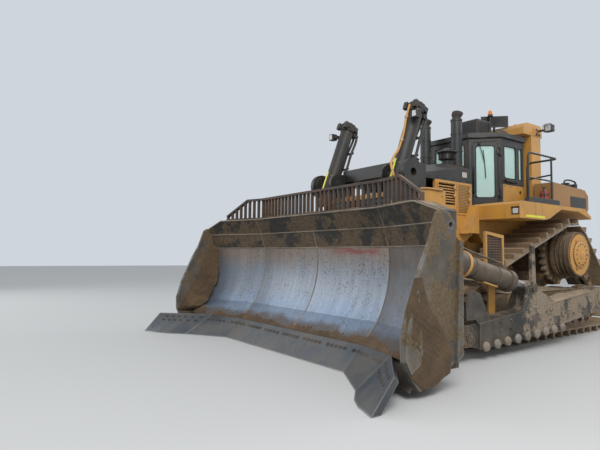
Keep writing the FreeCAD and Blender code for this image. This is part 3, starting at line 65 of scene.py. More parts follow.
class Body(str, Enum):
    """Bodies of the frame that pieces ride on."""

    TRACTOR = "tractor"
    ARMS = "arms"
    BLADE = "blade"
    LIFT_LEFT = "lift_cylinder_left"
    LIFT_RIGHT = "lift_cylinder_right"
    LIFT_ROD_LEFT = "lift_piston_left"
    LIFT_ROD_RIGHT = "lift_piston_right"
    TILT_LEFT = "tilt_cylinder_left"
    TILT_RIGHT = "tilt_cylinder_right"
    TILT_ROD_LEFT = "tilt_piston_left"
    TILT_ROD_RIGHT = "tilt_piston_right"
    DOOR_LEFT = "cab_door_left"
    DOOR_RIGHT = "cab_door_right"


class Slot(str, Enum):
    """Material slots of the record."""

    YELLOW = "yellow_paint"
    BLACK = "black_paint"
    BLADE_BLACK = "blade_black"
    BLADE_STEEL = "blade_steel"
    EDGE = "edge_steel"
    TRACK = "track_steel"
    DIRTY = "dirty_steel"
    IRON = "dark_iron"
    CHROME = "rod_chrome"
    STACK = "stack_black"
    GLASS = "cab_glass"
    FABRIC = "seat_fabric"
    PLASTIC = "grey_plastic"
    BEACON = "beacon_orange"
    LAMP = "lamp_black"
    RED = "red_paint"


# Shapes

@dataclass
class Shape:
    """Points with the faces between them, kept as whole arrays.

    Attributes:
        points: Corners, one row each.
        faces: Arrays of corner numbers; the faces of one array have the same number of corners.
    """

    points: Array
    faces: list[Array]

    def __add__(self, other: "Shape") -> "Shape":
        """Both shapes together."""
        shifted = [face + len(self.points) for face in other.faces]
        return Shape(np.vstack([self.points, other.points]), self.faces + shifted)

    def moved(self, x: float = 0.0, y: float = 0.0, z: float = 0.0) -> "Shape":
        """The shape moved along the axes."""
        return Shape(self.points + (x, y, z), self.faces)

    def mirrored(self) -> "Shape":
        """The shape on the other side of the machine, with its faces still outwards."""
        return Shape(self.points * (-1, 1, 1), [face[:, ::-1] for face in self.faces])

    def both(self) -> "Shape":
        """The shape on both sides of the machine."""
        return self + self.mirrored()

    def on(self, side: int) -> "Shape":
        """The shape on the left side for 1 and on the right side for -1."""
        return self if side > 0 else self.mirrored()

    def copies(self, places: Array, bases: Array | None = None) -> "Shape":
        """Repeats the shape: every copy is its points turned by a basis and moved to a place.

        Args:
            places: Where the copies' origins go, one row each.
            bases: A 3 by 3 matrix for each copy, or None for no turn.

        Returns:
            All copies as one shape.
        """
        places = np.asarray(places, float).reshape(-1, 3)
        turned = self.points[None] if bases is None else np.einsum("kij,nj->kni", bases, self.points)
        points = (turned + places[:, None]).reshape(-1, 3)
        steps = np.arange(len(places))[:, None, None] * len(self.points)
        return Shape(points, [(face[None] + steps).reshape(-1, face.shape[1]) for face in self.faces])


def joined(shapes: Sequence[Shape]) -> Shape:
    """All shapes as one."""
    total = shapes[0]
    for shape in shapes[1:]:
        total = total + shape
    return total


def surface(points: Array, wrap: bool = False, closed: bool = False) -> Shape:
    """Skin over a grid of points, one quad between each point and its next ones.

    Args:
        points: Rows along a path by columns round a section.
        wrap: Whether the last column joins the first.
        closed: Whether the last row joins the first.

    Returns:
        The skin; a section drawn anticlockwise about the path gives outward faces.
    """
    rows, columns = points.shape[:2]
    index = np.arange(rows * columns).reshape(rows, columns)
    if wrap:
        index = np.hstack([index, index[:, :1]])
    if closed:
        index = np.vstack([index, index[:1]])
    quads = np.stack([index[:-1, :-1], index[:-1, 1:], index[1:, 1:], index[1:, :-1]], axis=-1)
    return Shape(points.reshape(-1, 3), [quads.reshape(-1, 4)])


def lofted(rings: Array, closed: bool = False) -> Shape:
    """Solid through rings of points, with a flat cap at each end unless it closes on itself."""
    skin = surface(rings, wrap=True, closed=closed)
    if not closed:
        count = rings.shape[1]
        last = (rings.shape[0] - 1) * count + np.arange(count)
        skin.faces += [np.arange(count)[None, ::-1], last[None]]
    return skin


def plate(outline: Sequence[Point], axis: str, start: float, end: float) -> Shape:
    """Flat plate: a closed outline in the plane across an axis, pushed from start to end.

    Args:
        outline: Corners as (y, z) for axis x, (x, z) for axis y and (x, y) for axis z.
        axis: The axis that the plate is pushed along.
        start: Lower place on the axis.
        end: Upper place on the axis.

    Returns:
        The plate with outward faces.
    """
    flat = np.asarray(outline, float)
    following = np.roll(flat, -1, axis=0)
    area = np.sum(flat[:, 0] * following[:, 1] - following[:, 0] * flat[:, 1])
    if (area < 0) != (axis == "y"):
        flat = flat[::-1]
    column = "xyz".index(axis)
    return lofted(np.stack([np.insert(flat, column, place, axis=1) for place in (start, end)]))


def block(low: Point, high: Point) -> Shape:
    """Box between two corners."""
    corners = [(low[0], low[1]), (high[0], low[1]), (high[0], high[1]), (low[0], high[1])]
    return plate(corners, "z", low[2], high[2])


def basis(axis: Point) -> Array:
    """Matrix that turns +Z to an axis; its columns are two square directions and the axis."""
    along = np.asarray(axis, float)
    along = along / np.linalg.norm(along)
    helper = np.array([0.0, 0.0, 1.0]) if abs(along[2]) < 0.9 else np.array([1.0, 0.0, 0.0])
    first = np.cross(helper, along)
    first /= np.linalg.norm(first)
    return np.stack([first, np.cross(along, first), along], axis=1)


def revolved(profile: Sequence[Point], origin: Point, axis: Point, sides: int = 24, closed: bool = False) -> Shape:
    """Round shape: each (radius, height) of a profile becomes a circle about an axis.

    Args:
        profile: Radii and heights, going up along the outside.
        origin: Where height zero is.
        axis: Direction of growing height.
        sides: Points in each circle.
        closed: Whether the profile is a loop, as on a hollow ring.

    Returns:
        The round shape.
    """
    rows = np.asarray(profile, float)
    angle = np.linspace(0, 2 * math.pi, sides, endpoint=False)
    turn = basis(axis)
    ring = np.stack([np.cos(angle), np.sin(angle), np.zeros(sides)], axis=1)
    points = rows[:, None, :1] * ring[None]
    points[:, :, 2] = rows[:, 1:]
    return lofted(points @ turn.T + np.asarray(origin, float), closed)


def swept(section: Array, path: Array, closed: bool = False, widths: Array | None = None) -> Shape:
    """Section carried along a path: it stands square to the path and keeps to the path's own plane.

    The plane's normal is the direction in which the path's points spread least.

    Args:
        section: Corners (across the plane, within the plane), anticlockwise.
        path: Points of the path.
        closed: Whether the path is a loop.
        widths: How much the section grows at each point of the path, or None.

    Returns:
        The swept solid.
    """
    path = np.asarray(path, float)
    if closed:
        tangent = np.roll(path, -1, axis=0) - np.roll(path, 1, axis=0)
    else:
        tangent = np.gradient(path, axis=0)
    tangent /= np.linalg.norm(tangent, axis=1, keepdims=True)
    centred = path - path.mean(axis=0)
    normal = np.linalg.eigh(centred.T @ centred + np.diag([3e-9, 2e-9, 1e-9]))[1][:, 0]
    across = normal - tangent * (tangent @ normal)[:, None]
    across /= np.linalg.norm(across, axis=1, keepdims=True)
    within = np.cross(tangent, across)
    grow = np.ones(len(path)) if widths is None else np.asarray(widths, float)
    corners = np.asarray(section, float)
    rings = corners[None, :, :1] * across[:, None] + corners[None, :, 1:] * within[:, None]
    return lofted(path[:, None] + rings * grow[:, None, None], closed)


def circle(radius: float, sides: int = 10) -> Array:
    """Corners of a round section."""
    angle = np.linspace(0, 2 * math.pi, sides, endpoint=False)
    return radius * np.stack([np.cos(angle), np.sin(angle)], axis=1)


def pipe(path: Sequence[Point], radius: float, sides: int = 10, closed: bool = False) -> Shape:
    """Round tube along a path."""
    return swept(circle(radius, sides), np.asarray(path, float), closed)


def bent(corners: Sequence[Point], reach: float, steps: int = 7) -> Array:
    """Path with rounded corners: a quadratic arc takes the place of each corner.

    Args:
        corners: The path's corners.
        reach: How far from a corner its arc begins and ends.
        steps: Points in each arc.

    Returns:
        Points of the rounded path.
    """
    points = np.asarray(corners, float)
    before, corner, after = points[:-2], points[1:-1], points[2:]
    start = before - corner
    start = corner + start / np.linalg.norm(start, axis=1, keepdims=True) * reach
    end = after - corner
    end = corner + end / np.linalg.norm(end, axis=1, keepdims=True) * reach
    t = np.linspace(0, 1, steps)[None, :, None]
    arcs = (1 - t) ** 2 * start[:, None] + 2 * t * (1 - t) * corner[:, None] + t**2 * end[:, None]
    return np.vstack([points[:1], arcs.reshape(-1, 3), points[-1:]])


def flowing(corners: Sequence[Point], steps: int = 8) -> Array:
    """Smooth path through points: between neighbours it follows the cubic with both mean slopes."""
    points = np.asarray(corners, float)
    padded = np.vstack([2 * points[0] - points[1], points, 2 * points[-1] - points[-2]])
    p0, p1, p2, p3 = padded[:-3], padded[1:-2], padded[2:-1], padded[3:]
    t = np.linspace(0, 1, steps, endpoint=False)[None, :, None]
    p0, p1, p2, p3 = (p[:, None] for p in (p0, p1, p2, p3))
    curve = 0.5 * (2 * p1 + (p2 - p0) * t + (2 * p0 - 5 * p1 + 4 * p2 - p3) * t**2 + (3 * p1 - p0 - 3 * p2 + p3) * t**3)
    return np.vstack([curve.reshape(-1, 3), points[-1:]])


def hexagon_bolt(radius: float, height: float) -> Shape:
    """Bolt head with its washer, standing on the origin along +Z."""
    washer = revolved([(radius * 1.45, 0.0), (radius * 1.45, height * 0.22)], (0, 0, 0), (0, 0, 1), 12)
    head = revolved([(radius, height * 0.2), (radius, height * 0.85), (radius * 0.82, height)], (0, 0, 0), (0, 0, 1), 6)
    return washer + head


def bolt_row(places: Sequence[Point], axis: Point, radius: float, height: float) -> Shape:
    """Bolt heads at places on a face, standing along the face's axis."""
    spots = np.asarray(places, float).reshape(-1, 3)
    return hexagon_bolt(radius, height).copies(spots, np.repeat(basis(axis)[None], len(spots), axis=0))


def round_places(centre: Point, axis: Point, radius: float, count: int, start: float = 0.0) -> Array:
    """Places at even steps on a circle about an axis."""
    angle = start + np.linspace(0, 2 * math.pi, count, endpoint=False)
    ring = np.stack([np.cos(angle), np.sin(angle), np.zeros(count)], axis=1) * radius
    return np.asarray(centre, float) + ring @ basis(axis).T


def bolt_ring(centre: Point, axis: Point, ring: float, count: int, radius: float, height: float) -> Shape:
    """Bolt heads on a circle about an axis."""
    return bolt_row(round_places(centre, axis, ring, count), axis, radius, height)


def ripple(points: Array, size: float, seed: int) -> Array:
    """Smooth uneven values from -1 to 1: a sum of sine waves in fixed directions.

    Args:
        points: Places, one row each.
        size: Length of the main waves.
        seed: Picks the directions and phases.

    Returns:
        One value for each place.
    """
    source = np.random.default_rng(seed)
    direction = source.normal(size=(14, 3))
    direction /= np.linalg.norm(direction, axis=1, keepdims=True)
    pitch = 2 * math.pi / size * source.uniform(0.6, 2.6, 14)
    phase = source.uniform(0, 2 * math.pi, 14)
    weight = 1 / np.sqrt(pitch)
    waves = np.sin(np.asarray(points) @ (direction * pitch[:, None]).T + phase)
    return waves @ weight / weight.sum() * 2.2


# Finishes

Value = Union[float, Sequence[float], bpy.types.NodeSocket]


class Graph:
    """Node tree that is filled from its inputs to its outputs."""

    def __init__(self, tree: bpy.types.NodeTree) -> None:
        """Keeps the tree."""
        self.tree = tree

    def fill(self, socket: bpy.types.NodeSocket, value: Value) -> None:
        """Links a socket to another one, or sets its value."""
        if isinstance(value, bpy.types.NodeSocket):
            self.tree.links.new(value, socket)
        elif socket.type == "RGBA":
            socket.default_value = (*value, 1.0)
        else:
            socket.default_value = value

    def node(self, kind: str, inputs: dict[Any, Value] | None = None, **settings: Any) -> bpy.types.Node:
        """Adds a node.

        Args:
            kind: Type name after ShaderNode.
            inputs: Values or sockets by input name or number.
            settings: Properties of the node.

        Returns:
            The new node.
        """
        node = self.tree.nodes.new(f"ShaderNode{kind}")
        for name, value in settings.items():
            setattr(node, name, value)
        for name, value in (inputs or {}).items():
            self.fill(node.inputs[name], value)
        return node

    def math(self, operation: str, first: Value, second: Value = 0.0, clamp: bool = False) -> bpy.types.NodeSocket:
        """Sum, product or other operation on two values."""
        return self.node("Math", {0: first, 1: second}, operation=operation, use_clamp=clamp).outputs[0]

    def mix(self, share: Value, first: Value, second: Value) -> bpy.types.NodeSocket:
        """Colour between two colours."""
        return self.node("Mix", {0: share, 6: first, 7: second}, data_type="RGBA").outputs[2]

    def blend(self, share: Value, first: Value, second: Value) -> bpy.types.NodeSocket:
        """Number between two numbers."""
        return self.node("Mix", {0: share, 2: first, 3: second}).outputs[0]

    def band(self, value: Value, low: Value, high: Value) -> bpy.types.NodeSocket:
        """Smooth step from 0 at low to 1 at high."""
        inputs = {"Value": value, "From Min": low, "From Max": high}
        return self.node("MapRange", inputs, interpolation_type="SMOOTHSTEP").outputs[0]

    def coordinates(self) -> bpy.types.NodeSocket:
        """Object coordinates."""
        return self.node("TexCoord").outputs["Object"]

    def stretched(self, scale: Point) -> bpy.types.NodeSocket:
        """Object coordinates multiplied along each axis."""
        return self.node("Mapping", {"Vector": self.coordinates(), "Scale": scale}).outputs[0]

    def noise(self, place: Value, scale: Value, detail: float = 4.0, rough: float = 0.6) -> bpy.types.NodeSocket:
        """Cloudy values about 0.5."""
        inputs = {"Vector": place, "Scale": scale, "Detail": detail, "Roughness": rough}
        return self.node("TexNoise", inputs).outputs[0]

    def axis(self, vector: bpy.types.NodeSocket, name: str) -> bpy.types.NodeSocket:
        """One axis of a vector."""
        return self.node("SeparateXYZ", {0: vector}).outputs[name]


class Effect(Enum):
    """Shared surface effects, each a node group that is built once."""

    EDGE_WEAR = "edge_wear"
    SETTLED_DUST = "settled_dust"
    CAKED_MUD = "caked_mud"
    RUN_STREAKS = "run_streaks"
    FINE_GRAIN = "fine_grain"
    DRAG_SCRATCHES = "drag_scratches"

    def place(self, graph: Graph, **values: Value) -> dict[str, bpy.types.NodeSocket]:
        """Puts the effect into a material.

        Args:
            graph: The material's graph.
            values: The group's inputs by name.

        Returns:
            The group's outputs by name.
        """
        tree = bpy.data.node_groups.get(self.value) or EFFECT_MAKERS[self](self.value)
        node = graph.node("Group", node_tree=tree)
        for name, value in values.items():
            graph.fill(node.inputs[name], value)
        return {socket.name: socket for socket in node.outputs}


def new_group(name: str, inputs: dict[str, float], outputs: Sequence[str]) -> tuple[Graph, Any, Any]:
    """Starts a node group of float sockets.

    Args:
        name: Name of the group.
        inputs: Default values by input name.
        outputs: Names of the outputs.

    Returns:
        The group's graph, its given values by name and its results by name.
    """
    tree = bpy.data.node_groups.new(name, "ShaderNodeTree")
    for key, value in inputs.items():
        tree.interface.new_socket(key, in_out="INPUT", socket_type="NodeSocketFloat").default_value = value
    for key in outputs:
        tree.interface.new_socket(key, in_out="OUTPUT", socket_type="NodeSocketFloat")
    given = tree.nodes.new("NodeGroupInput").outputs
    results = tree.nodes.new("NodeGroupOutput").inputs
    return Graph(tree), given, results


def make_edge_wear(name: str) -> bpy.types.NodeTree:
    """Rubbed edges: where the rounded normal leaves the true one, broken by noise."""
    g, given, results = new_group(name, {"Width": 0.02, "Amount": 0.5}, ["Mask"])
    soft = g.node("Bevel", {"Radius": given["Width"]}, samples=4).outputs[0]
    true = g.node("NewGeometry").outputs["Normal"]
    same = g.node("VectorMath", {0: soft, 1: true}, operation="DOT_PRODUCT").outputs["Value"]
    bend = g.math("SUBTRACT", 1.0, same, clamp=True)
    cloud = g.noise(g.coordinates(), 7.0, 6.0, 0.7)
    limit = g.math("SUBTRACT", 0.95, given["Amount"])
    worn = g.math("MULTIPLY", g.band(bend, 0.02, 0.16), g.band(cloud, g.math("SUBTRACT", limit, 0.12), limit))
    g.fill(results["Mask"], worn)
    return g.tree


def make_settled_dust(name: str) -> bpy.types.NodeTree:
    """Dust: thick on faces that look up, thin elsewhere, thicker towards the ground."""
    g, given, results = new_group(name, {"Amount": 0.5, "Reach": 2.5}, ["Mask"])
    up = g.axis(g.node("NewGeometry").outputs["Normal"], "Z")
    place = g.coordinates()
    cloud = g.noise(place, 2.3, 7.0, 0.65)
    fine = g.noise(place, 38.0, 3.0, 0.6)
    low = g.math("SUBTRACT", 1.0, g.band(g.axis(place, "Z"), 0.0, given["Reach"]))
    level = g.math("MULTIPLY", g.band(up, 0.15, 0.9), 0.75)
    level = g.math("ADD", level, g.math("MULTIPLY", low, 0.45))
    level = g.math("ADD", level, 0.28)
    patchy = g.math("MULTIPLY", g.band(cloud, 0.3, 0.72), g.blend(0.35, 1.0, g.band(fine, 0.25, 0.7)))
    mask = g.math("MULTIPLY", g.math("MULTIPLY", level, patchy), given["Amount"], clamp=True)
    g.fill(results["Mask"], g.math("MULTIPLY", mask, 1.6, clamp=True))
    return g.tree


def make_caked_mud(name: str) -> bpy.types.NodeTree:
    """Mud: noise that passes a limit, which rises with the height above the ground."""
    g, given, results = new_group(name, {"Amount": 0.5, "Top": 1.5, "Scale": 2.6}, ["Mask", "Height", "Tone"])
    place = g.coordinates()
    cloud = g.noise(place, given["Scale"], 8.0, 0.68)
    crumbs = g.noise(place, 26.0, 6.0, 0.7)
    fade = g.band(g.axis(place, "Z"), g.math("MULTIPLY", given["Top"], 0.35), given["Top"])
    limit = g.math("ADD", g.math("SUBTRACT", 0.86, g.math("MULTIPLY", given["Amount"], 0.5)), g.math("MULTIPLY", fade, 0.42))
    rough = g.math("ADD", cloud, g.math("MULTIPLY", g.math("SUBTRACT", crumbs, 0.5), 0.16))
    mask = g.band(rough, limit, g.math("ADD", limit, 0.07))
    g.fill(results["Mask"], mask)
    g.fill(results["Height"], g.math("MULTIPLY", mask, g.math("ADD", crumbs, cloud)))
    g.fill(results["Tone"], crumbs)
    return g.tree


def make_run_streaks(name: str) -> bpy.types.NodeTree:
    """Streaks that water leaves: noise drawn out along Z, broken by large clouds."""
    g, given, results = new_group(name, {"Amount": 0.4}, ["Mask"])
    lines = g.noise(g.stretched((16.0, 16.0, 0.9)), 1.0, 5.0, 0.6)
    cloud = g.noise(g.coordinates(), 1.1, 3.0, 0.5)
    streaks = g.math("MULTIPLY", g.band(lines, 0.5, 0.72), g.band(cloud, 0.38, 0.62))
    g.fill(results["Mask"], g.math("MULTIPLY", streaks, given["Amount"], clamp=True))
    return g.tree


def make_fine_grain(name: str) -> bpy.types.NodeTree:
    """Grain of sprayed paint and cast skin: fine noise with a few larger dents."""
    g, given, results = new_group(name, {"Scale": 60.0}, ["Height", "Tone"])
    place = g.coordinates()
    fine = g.noise(place, given["Scale"], 5.0, 0.6)
    dents = g.noise(place, g.math("MULTIPLY", given["Scale"], 0.12), 3.0, 0.5)
    g.fill(results["Height"], g.math("ADD", g.math("MULTIPLY", fine, 0.5), dents))
    g.fill(results["Tone"], g.noise(place, 1.7, 6.0, 0.62))
    return g.tree


def make_drag_scratches(name: str) -> bpy.types.NodeTree:
    """Scratches from earth that is rolled up the blade: thin noise drawn out along Z."""
    g, given, results = new_group(name, {"Amount": 0.5}, ["Mask", "Height"])
    thin = g.noise(g.stretched((55.0, 3.0, 1.6)), 1.0, 6.0, 0.7)
    wide = g.noise(g.stretched((9.0, 1.5, 0.7)), 1.0, 5.0, 0.6)
    both = g.math("ADD", g.math("MULTIPLY", thin, 0.6), g.math("MULTIPLY", wide, 0.4))
    g.fill(results["Mask"], g.math("MULTIPLY", g.band(both, 0.42, 0.62), given["Amount"], clamp=True))
    g.fill(results["Height"], both)
    return g.tree


EFFECT_MAKERS = {
    Effect.EDGE_WEAR: make_edge_wear,
    Effect.SETTLED_DUST: make_settled_dust,
    Effect.CAKED_MUD: make_caked_mud,
    Effect.RUN_STREAKS: make_run_streaks,
    Effect.FINE_GRAIN: make_fine_grain,
    Effect.DRAG_SCRATCHES: make_drag_scratches,
}

DUST: Color = (0.36, 0.26, 0.165)
MUD: Color = (0.115, 0.068, 0.034)
DRY_MUD: Color = (0.27, 0.195, 0.125)
BARE_STEEL: Color = (0.33, 0.31, 0.29)
RUST: Color = (0.14, 0.058, 0.026)


@dataclass(frozen=True)
class Finish:
    """Base of all finishes: a named material that is made on first use."""

    name: str

    def material(self) -> bpy.types.Material:
        """The finish's material."""
        found = bpy.data.materials.get(self.name)
        if found is None:
            found = bpy.data.materials.new(self.name)
            found.use_nodes = True
            shader = found.node_tree.nodes["Principled BSDF"]
            self.build(Graph(found.node_tree), shader)
        return found

    def build(self, g: Graph, shader: bpy.types.Node) -> None:
        """Fills the material.

        Args:
            g: The material's graph.
            shader: Its Principled BSDF.
        """
        raise NotImplementedError


@dataclass(frozen=True)
class Weathered(Finish):
    """A coat or a bare metal under streaks, worn edges, dust and mud.

    Attributes:
        coat: Main colour.
        second: The same coat where it is older.
        rough: Roughness of the clean coat.
        metal: Metallic share of the clean coat.
        bare: Colour at worn edges.
        wear: How much of the edges is worn.
        wear_width: How far wear reaches from an edge.
        dust: Amount of dust.
        dust_color: Colour of the dust.
        mud: Amount of mud.
        mud_top: Height that mud reaches.
        mud_color: Colour of the mud.
        streak: Strength of run streaks.
        streak_color: Colour of the streaks.
        grain: Strength of the coat's own relief.
        grain_scale: How fine the relief is.
        mud_behind: Place along the machine behind which the mud lies, or None for everywhere.
    """

    coat: Color = (0.5, 0.5, 0.5)
    second: Color = (0.4, 0.4, 0.4)
    rough: float = 0.5
    metal: float = 0.0
    bare: Color = BARE_STEEL
    wear: float = 0.5
    wear_width: float = 0.018
    dust: float = 0.5
    dust_color: Color = DUST
    mud: float = 0.0
    mud_top: float = 1.6
    mud_color: Color = MUD
    streak: float = 0.3
    streak_color: Color = (0.05, 0.035, 0.02)
    grain: float = 0.15
    grain_scale: float = 60.0
    mud_behind: float | None = None

    def build(self, g: Graph, shader: bpy.types.Node) -> None:
        """Lays streaks, wear, dust and mud over the coat, one mask after the other."""
        grain = Effect.FINE_GRAIN.place(g, Scale=self.grain_scale)
        color = g.mix(g.band(grain["Tone"], 0.36, 0.66), self.coat, self.second)
        streaks = Effect.RUN_STREAKS.place(g, Amount=self.streak)["Mask"]
        color = g.mix(streaks, color, self.streak_color)
        rough = g.blend(streaks, self.rough, min(1.0, self.rough + 0.25))
        metal: Value = self.metal
        height: Value = g.math("MULTIPLY", grain["Height"], self.grain)
        worn: Value = 0.0
        if self.wear > 0:
            worn = Effect.EDGE_WEAR.place(g, Width=self.wear_width, Amount=self.wear)["Mask"]
            color = g.mix(worn, color, self.bare)
            rough = g.blend(worn, rough, 0.38)
            metal = g.blend(worn, metal, 0.85)
        dust = Effect.SETTLED_DUST.place(g, Amount=self.dust)["Mask"]
        color = g.mix(dust, color, self.dust_color)
        rough = g.blend(dust, rough, 0.92)
        clean = g.math("SUBTRACT", 1.0, dust)
        if self.mud > 0:
            amount: Value = self.mud
            if self.mud_behind is not None:
                line = self.mud_behind + AXLE_Y
                amount = g.math("MULTIPLY", g.band(g.axis(g.coordinates(), "Y"), line - 0.9, line + 0.5), self.mud)
            mud = Effect.CAKED_MUD.place(g, Amount=amount, Top=self.mud_top)
            dark = tuple(0.55 * c for c in self.mud_color)
            color = g.mix(mud["Mask"], color, g.mix(g.band(mud["Tone"], 0.3, 0.7), dark, self.mud_color))
            rough = g.blend(mud["Mask"], rough, 0.95)
            clean = g.math("MULTIPLY", clean, g.math("SUBTRACT", 1.0, mud["Mask"]))
            height = g.math("ADD", height, mud["Height"])
        g.fill(shader.inputs["Base Color"], color)
        g.fill(shader.inputs["Roughness"], rough)
        if self.metal > 0 or self.wear > 0:
            g.fill(shader.inputs["Metallic"], g.math("MULTIPLY", metal, clean))
        bump = g.node("Bump", {"Height": height, "Strength": 0.5, "Distance": 0.012})
        g.fill(shader.inputs["Normal"], bump.outputs[0])


@dataclass(frozen=True)
class BladeFace(Finish):
    """The blade's face: dark coat above, earth-polished steel below, a dirty back.

    Attributes:
        coat: Colour of the coat that is left along the top.
        coat_low: Height where the coat ends.
        warm_reflection: Steel just under the coat, its cream colour a painted reflection.
        cool_reflection: Steel half way down, its grey-blue colour a painted reflection.
        deep: Steel near the edge, its sky-blue colour a painted reflection.
    """

    coat: Color = (0.024, 0.022, 0.018)
    coat_low: float = 1.74
    warm_reflection: Color = (0.36, 0.29, 0.235)
    cool_reflection: Color = (0.26, 0.29, 0.33)
    deep: Color = (0.23, 0.30, 0.40)

    def build(self, g: Graph, shader: bpy.types.Node) -> None:
        """Mixes coat and steel by height with an uneven line, with painted reflections in the steel's colour and
        painted shade on the left wing, then adds scratches, specks and earth.
        """
        place = g.coordinates()
        height = g.axis(place, "Z")
        cloud = g.noise(place, 1.6, 6.0, 0.65)
        scratches = Effect.DRAG_SCRATCHES.place(g, Amount=1.0)
        level = g.math("ADD", height, g.math("MULTIPLY", g.math("SUBTRACT", cloud, 0.5), 0.06))
        front = g.band(g.math("MULTIPLY", g.axis(g.node("NewGeometry").outputs["Normal"], "Y"), -1.0), -0.1, 0.1)
        # Painted reflections: by height the steel's colour runs from sky blue near the edge through grey-blue to cream
        # under the coat.
        steel = g.mix(g.band(g.math("ADD", height, g.math("MULTIPLY", cloud, 0.5)), 0.75, 1.35), self.deep, self.cool_reflection)
        steel = g.mix(g.band(g.math("ADD", height, g.math("MULTIPLY", cloud, 0.6)), 1.5, 2.05), steel, self.warm_reflection)
        steel = g.mix(g.math("MULTIPLY", scratches["Mask"], 0.3), steel, (0.12, 0.115, 0.11))
        across = g.axis(place, "X")
        # Painted shade: the left wing's steel is darkened and made less metallic.
        wing = g.math("MULTIPLY", g.band(across, 1.735, 1.75), g.blend(g.band(cloud, 0.3, 0.7), 0.5, 1.0))
        steel = g.mix(g.math("MULTIPLY", wing, 0.72), steel, (0.075, 0.062, 0.05))
        fleck = g.math("MULTIPLY", g.noise(place, 30.0, 3.0, 0.7), g.blend(g.noise(place, 2.4, 3.0, 0.6), 0.75, 1.3))
        specks = g.band(fleck, 0.6, 0.66)
        smear = g.band(g.noise(g.stretched((3.0, 3.0, 14.0)), 1.0, 6.0, 0.7), 0.4, 0.6)
        smear = g.math("MULTIPLY", smear, g.math("MULTIPLY", g.band(across, 0.25, 0.8), g.band(across, 1.65, 1.4)))
        smear = g.math("MULTIPLY", smear, g.band(height, 1.56, 1.66))
        steel = g.mix(g.math("MULTIPLY", specks, 0.7), steel, (0.05, 0.042, 0.035))
        steel = g.mix(g.math("MULTIPLY", smear, 0.7), steel, (0.3, 0.075, 0.065))
        coated = g.math("MAXIMUM", g.band(level, self.coat_low - 0.012, self.coat_low + 0.012), g.math("SUBTRACT", 1.0, front))
        coat = g.mix(g.band(g.noise(g.stretched((4.0, 4.0, 14.0)), 1.0, 6.0, 0.7), 0.5, 0.68), self.coat, (0.062, 0.045, 0.028))
        color = g.mix(coated, steel, coat)
        mud = Effect.CAKED_MUD.place(g, Amount=0.86, Top=4.6, Scale=2.2)
        high = g.math("MULTIPLY", mud["Mask"], coated)
        color = g.mix(high, color, g.mix(g.band(mud["Tone"], 0.3, 0.7), (0.055, 0.036, 0.02), (0.15, 0.1, 0.055)))
        band = g.band(g.math("ADD", height, g.math("MULTIPLY", cloud, 0.35)), 0.74, 0.62)
        color = g.mix(g.math("MULTIPLY", band, 0.85), color, (0.075, 0.05, 0.03))
        dull = g.math("MAXIMUM", g.math("MAXIMUM", coated, high), band)
        g.fill(shader.inputs["Base Color"], color)
        g.fill(shader.inputs["Metallic"], g.blend(g.math("MAXIMUM", dull, g.math("MULTIPLY", wing, 0.5)), g.math("SUBTRACT", 0.9, g.math("MULTIPLY", specks, 0.6)), 0.0))
        polish = g.math("ADD", 0.3, g.math("MULTIPLY", scratches["Height"], 0.26))
        g.fill(shader.inputs["Roughness"], g.blend(dull, polish, 0.72))
        relief = g.math("ADD", g.math("MULTIPLY", scratches["Height"], 0.1), g.math("MULTIPLY", mud["Height"], high))
        bump = g.node("Bump", {"Height": relief, "Strength": 0.4, "Distance": 0.01})
        g.fill(shader.inputs["Normal"], bump.outputs[0])


@dataclass(frozen=True)
class Pane(Finish):
    """Glass or clear plastic with a film of dust.

    Attributes:
        tint: Colour of the glass.
        clear: Share of light that passes.
        dust: Amount of dust.
    """

    tint: Color = (0.74, 1.0, 0.92)
    clear: float = 0.38
    dust: float = 0.3

    def build(self, g: Graph, shader: bpy.types.Node) -> None:
        """Sets the glass and lets dust change its colour and roughness."""
        dust = Effect.SETTLED_DUST.place(g, Amount=self.dust)["Mask"]
        g.fill(shader.inputs["Base Color"], g.mix(g.math("MULTIPLY", dust, 0.6), self.tint, DUST))
        g.fill(shader.inputs["Roughness"], g.blend(dust, 0.04, 0.5))
        shader.inputs["Transmission Weight"].default_value = self.clear
        shader.inputs["IOR"].default_value = 1.45


@dataclass(frozen=True)
class Cloth(Finish):
    """Woven seat cover: crossed threads in colour and relief, with a soft sheen.

    Attributes:
        thread: Colour of the threads.
        gap: Colour between the threads.
    """

    thread: Color = (0.055, 0.055, 0.06)
    gap: Color = (0.018, 0.018, 0.02)

    def build(self, g: Graph, shader: bpy.types.Node) -> None:
        """Crosses two sets of waves and lets noise wear them."""
        place = g.coordinates()
        warp = g.node("TexWave", {"Vector": place, "Scale": 60.0, "Distortion": 0.6}, bands_direction="X").outputs[1]
        weft = g.node("TexWave", {"Vector": place, "Scale": 60.0, "Distortion": 0.6}, bands_direction="Z").outputs[1]
        weave = g.math("MULTIPLY", warp, weft)
        worn = g.noise(place, 5.0, 5.0, 0.6)
        color = g.mix(weave, self.gap, self.thread)
        g.fill(shader.inputs["Base Color"], g.mix(g.band(worn, 0.5, 0.75), color, (0.11, 0.1, 0.09)))
        g.fill(shader.inputs["Roughness"], g.blend(worn, 0.8, 0.95))
        shader.inputs["Sheen Weight"].default_value = 0.3
        bump = g.node("Bump", {"Height": weave, "Strength": 0.4, "Distance": 0.002})
        g.fill(shader.inputs["Normal"], bump.outputs[0])


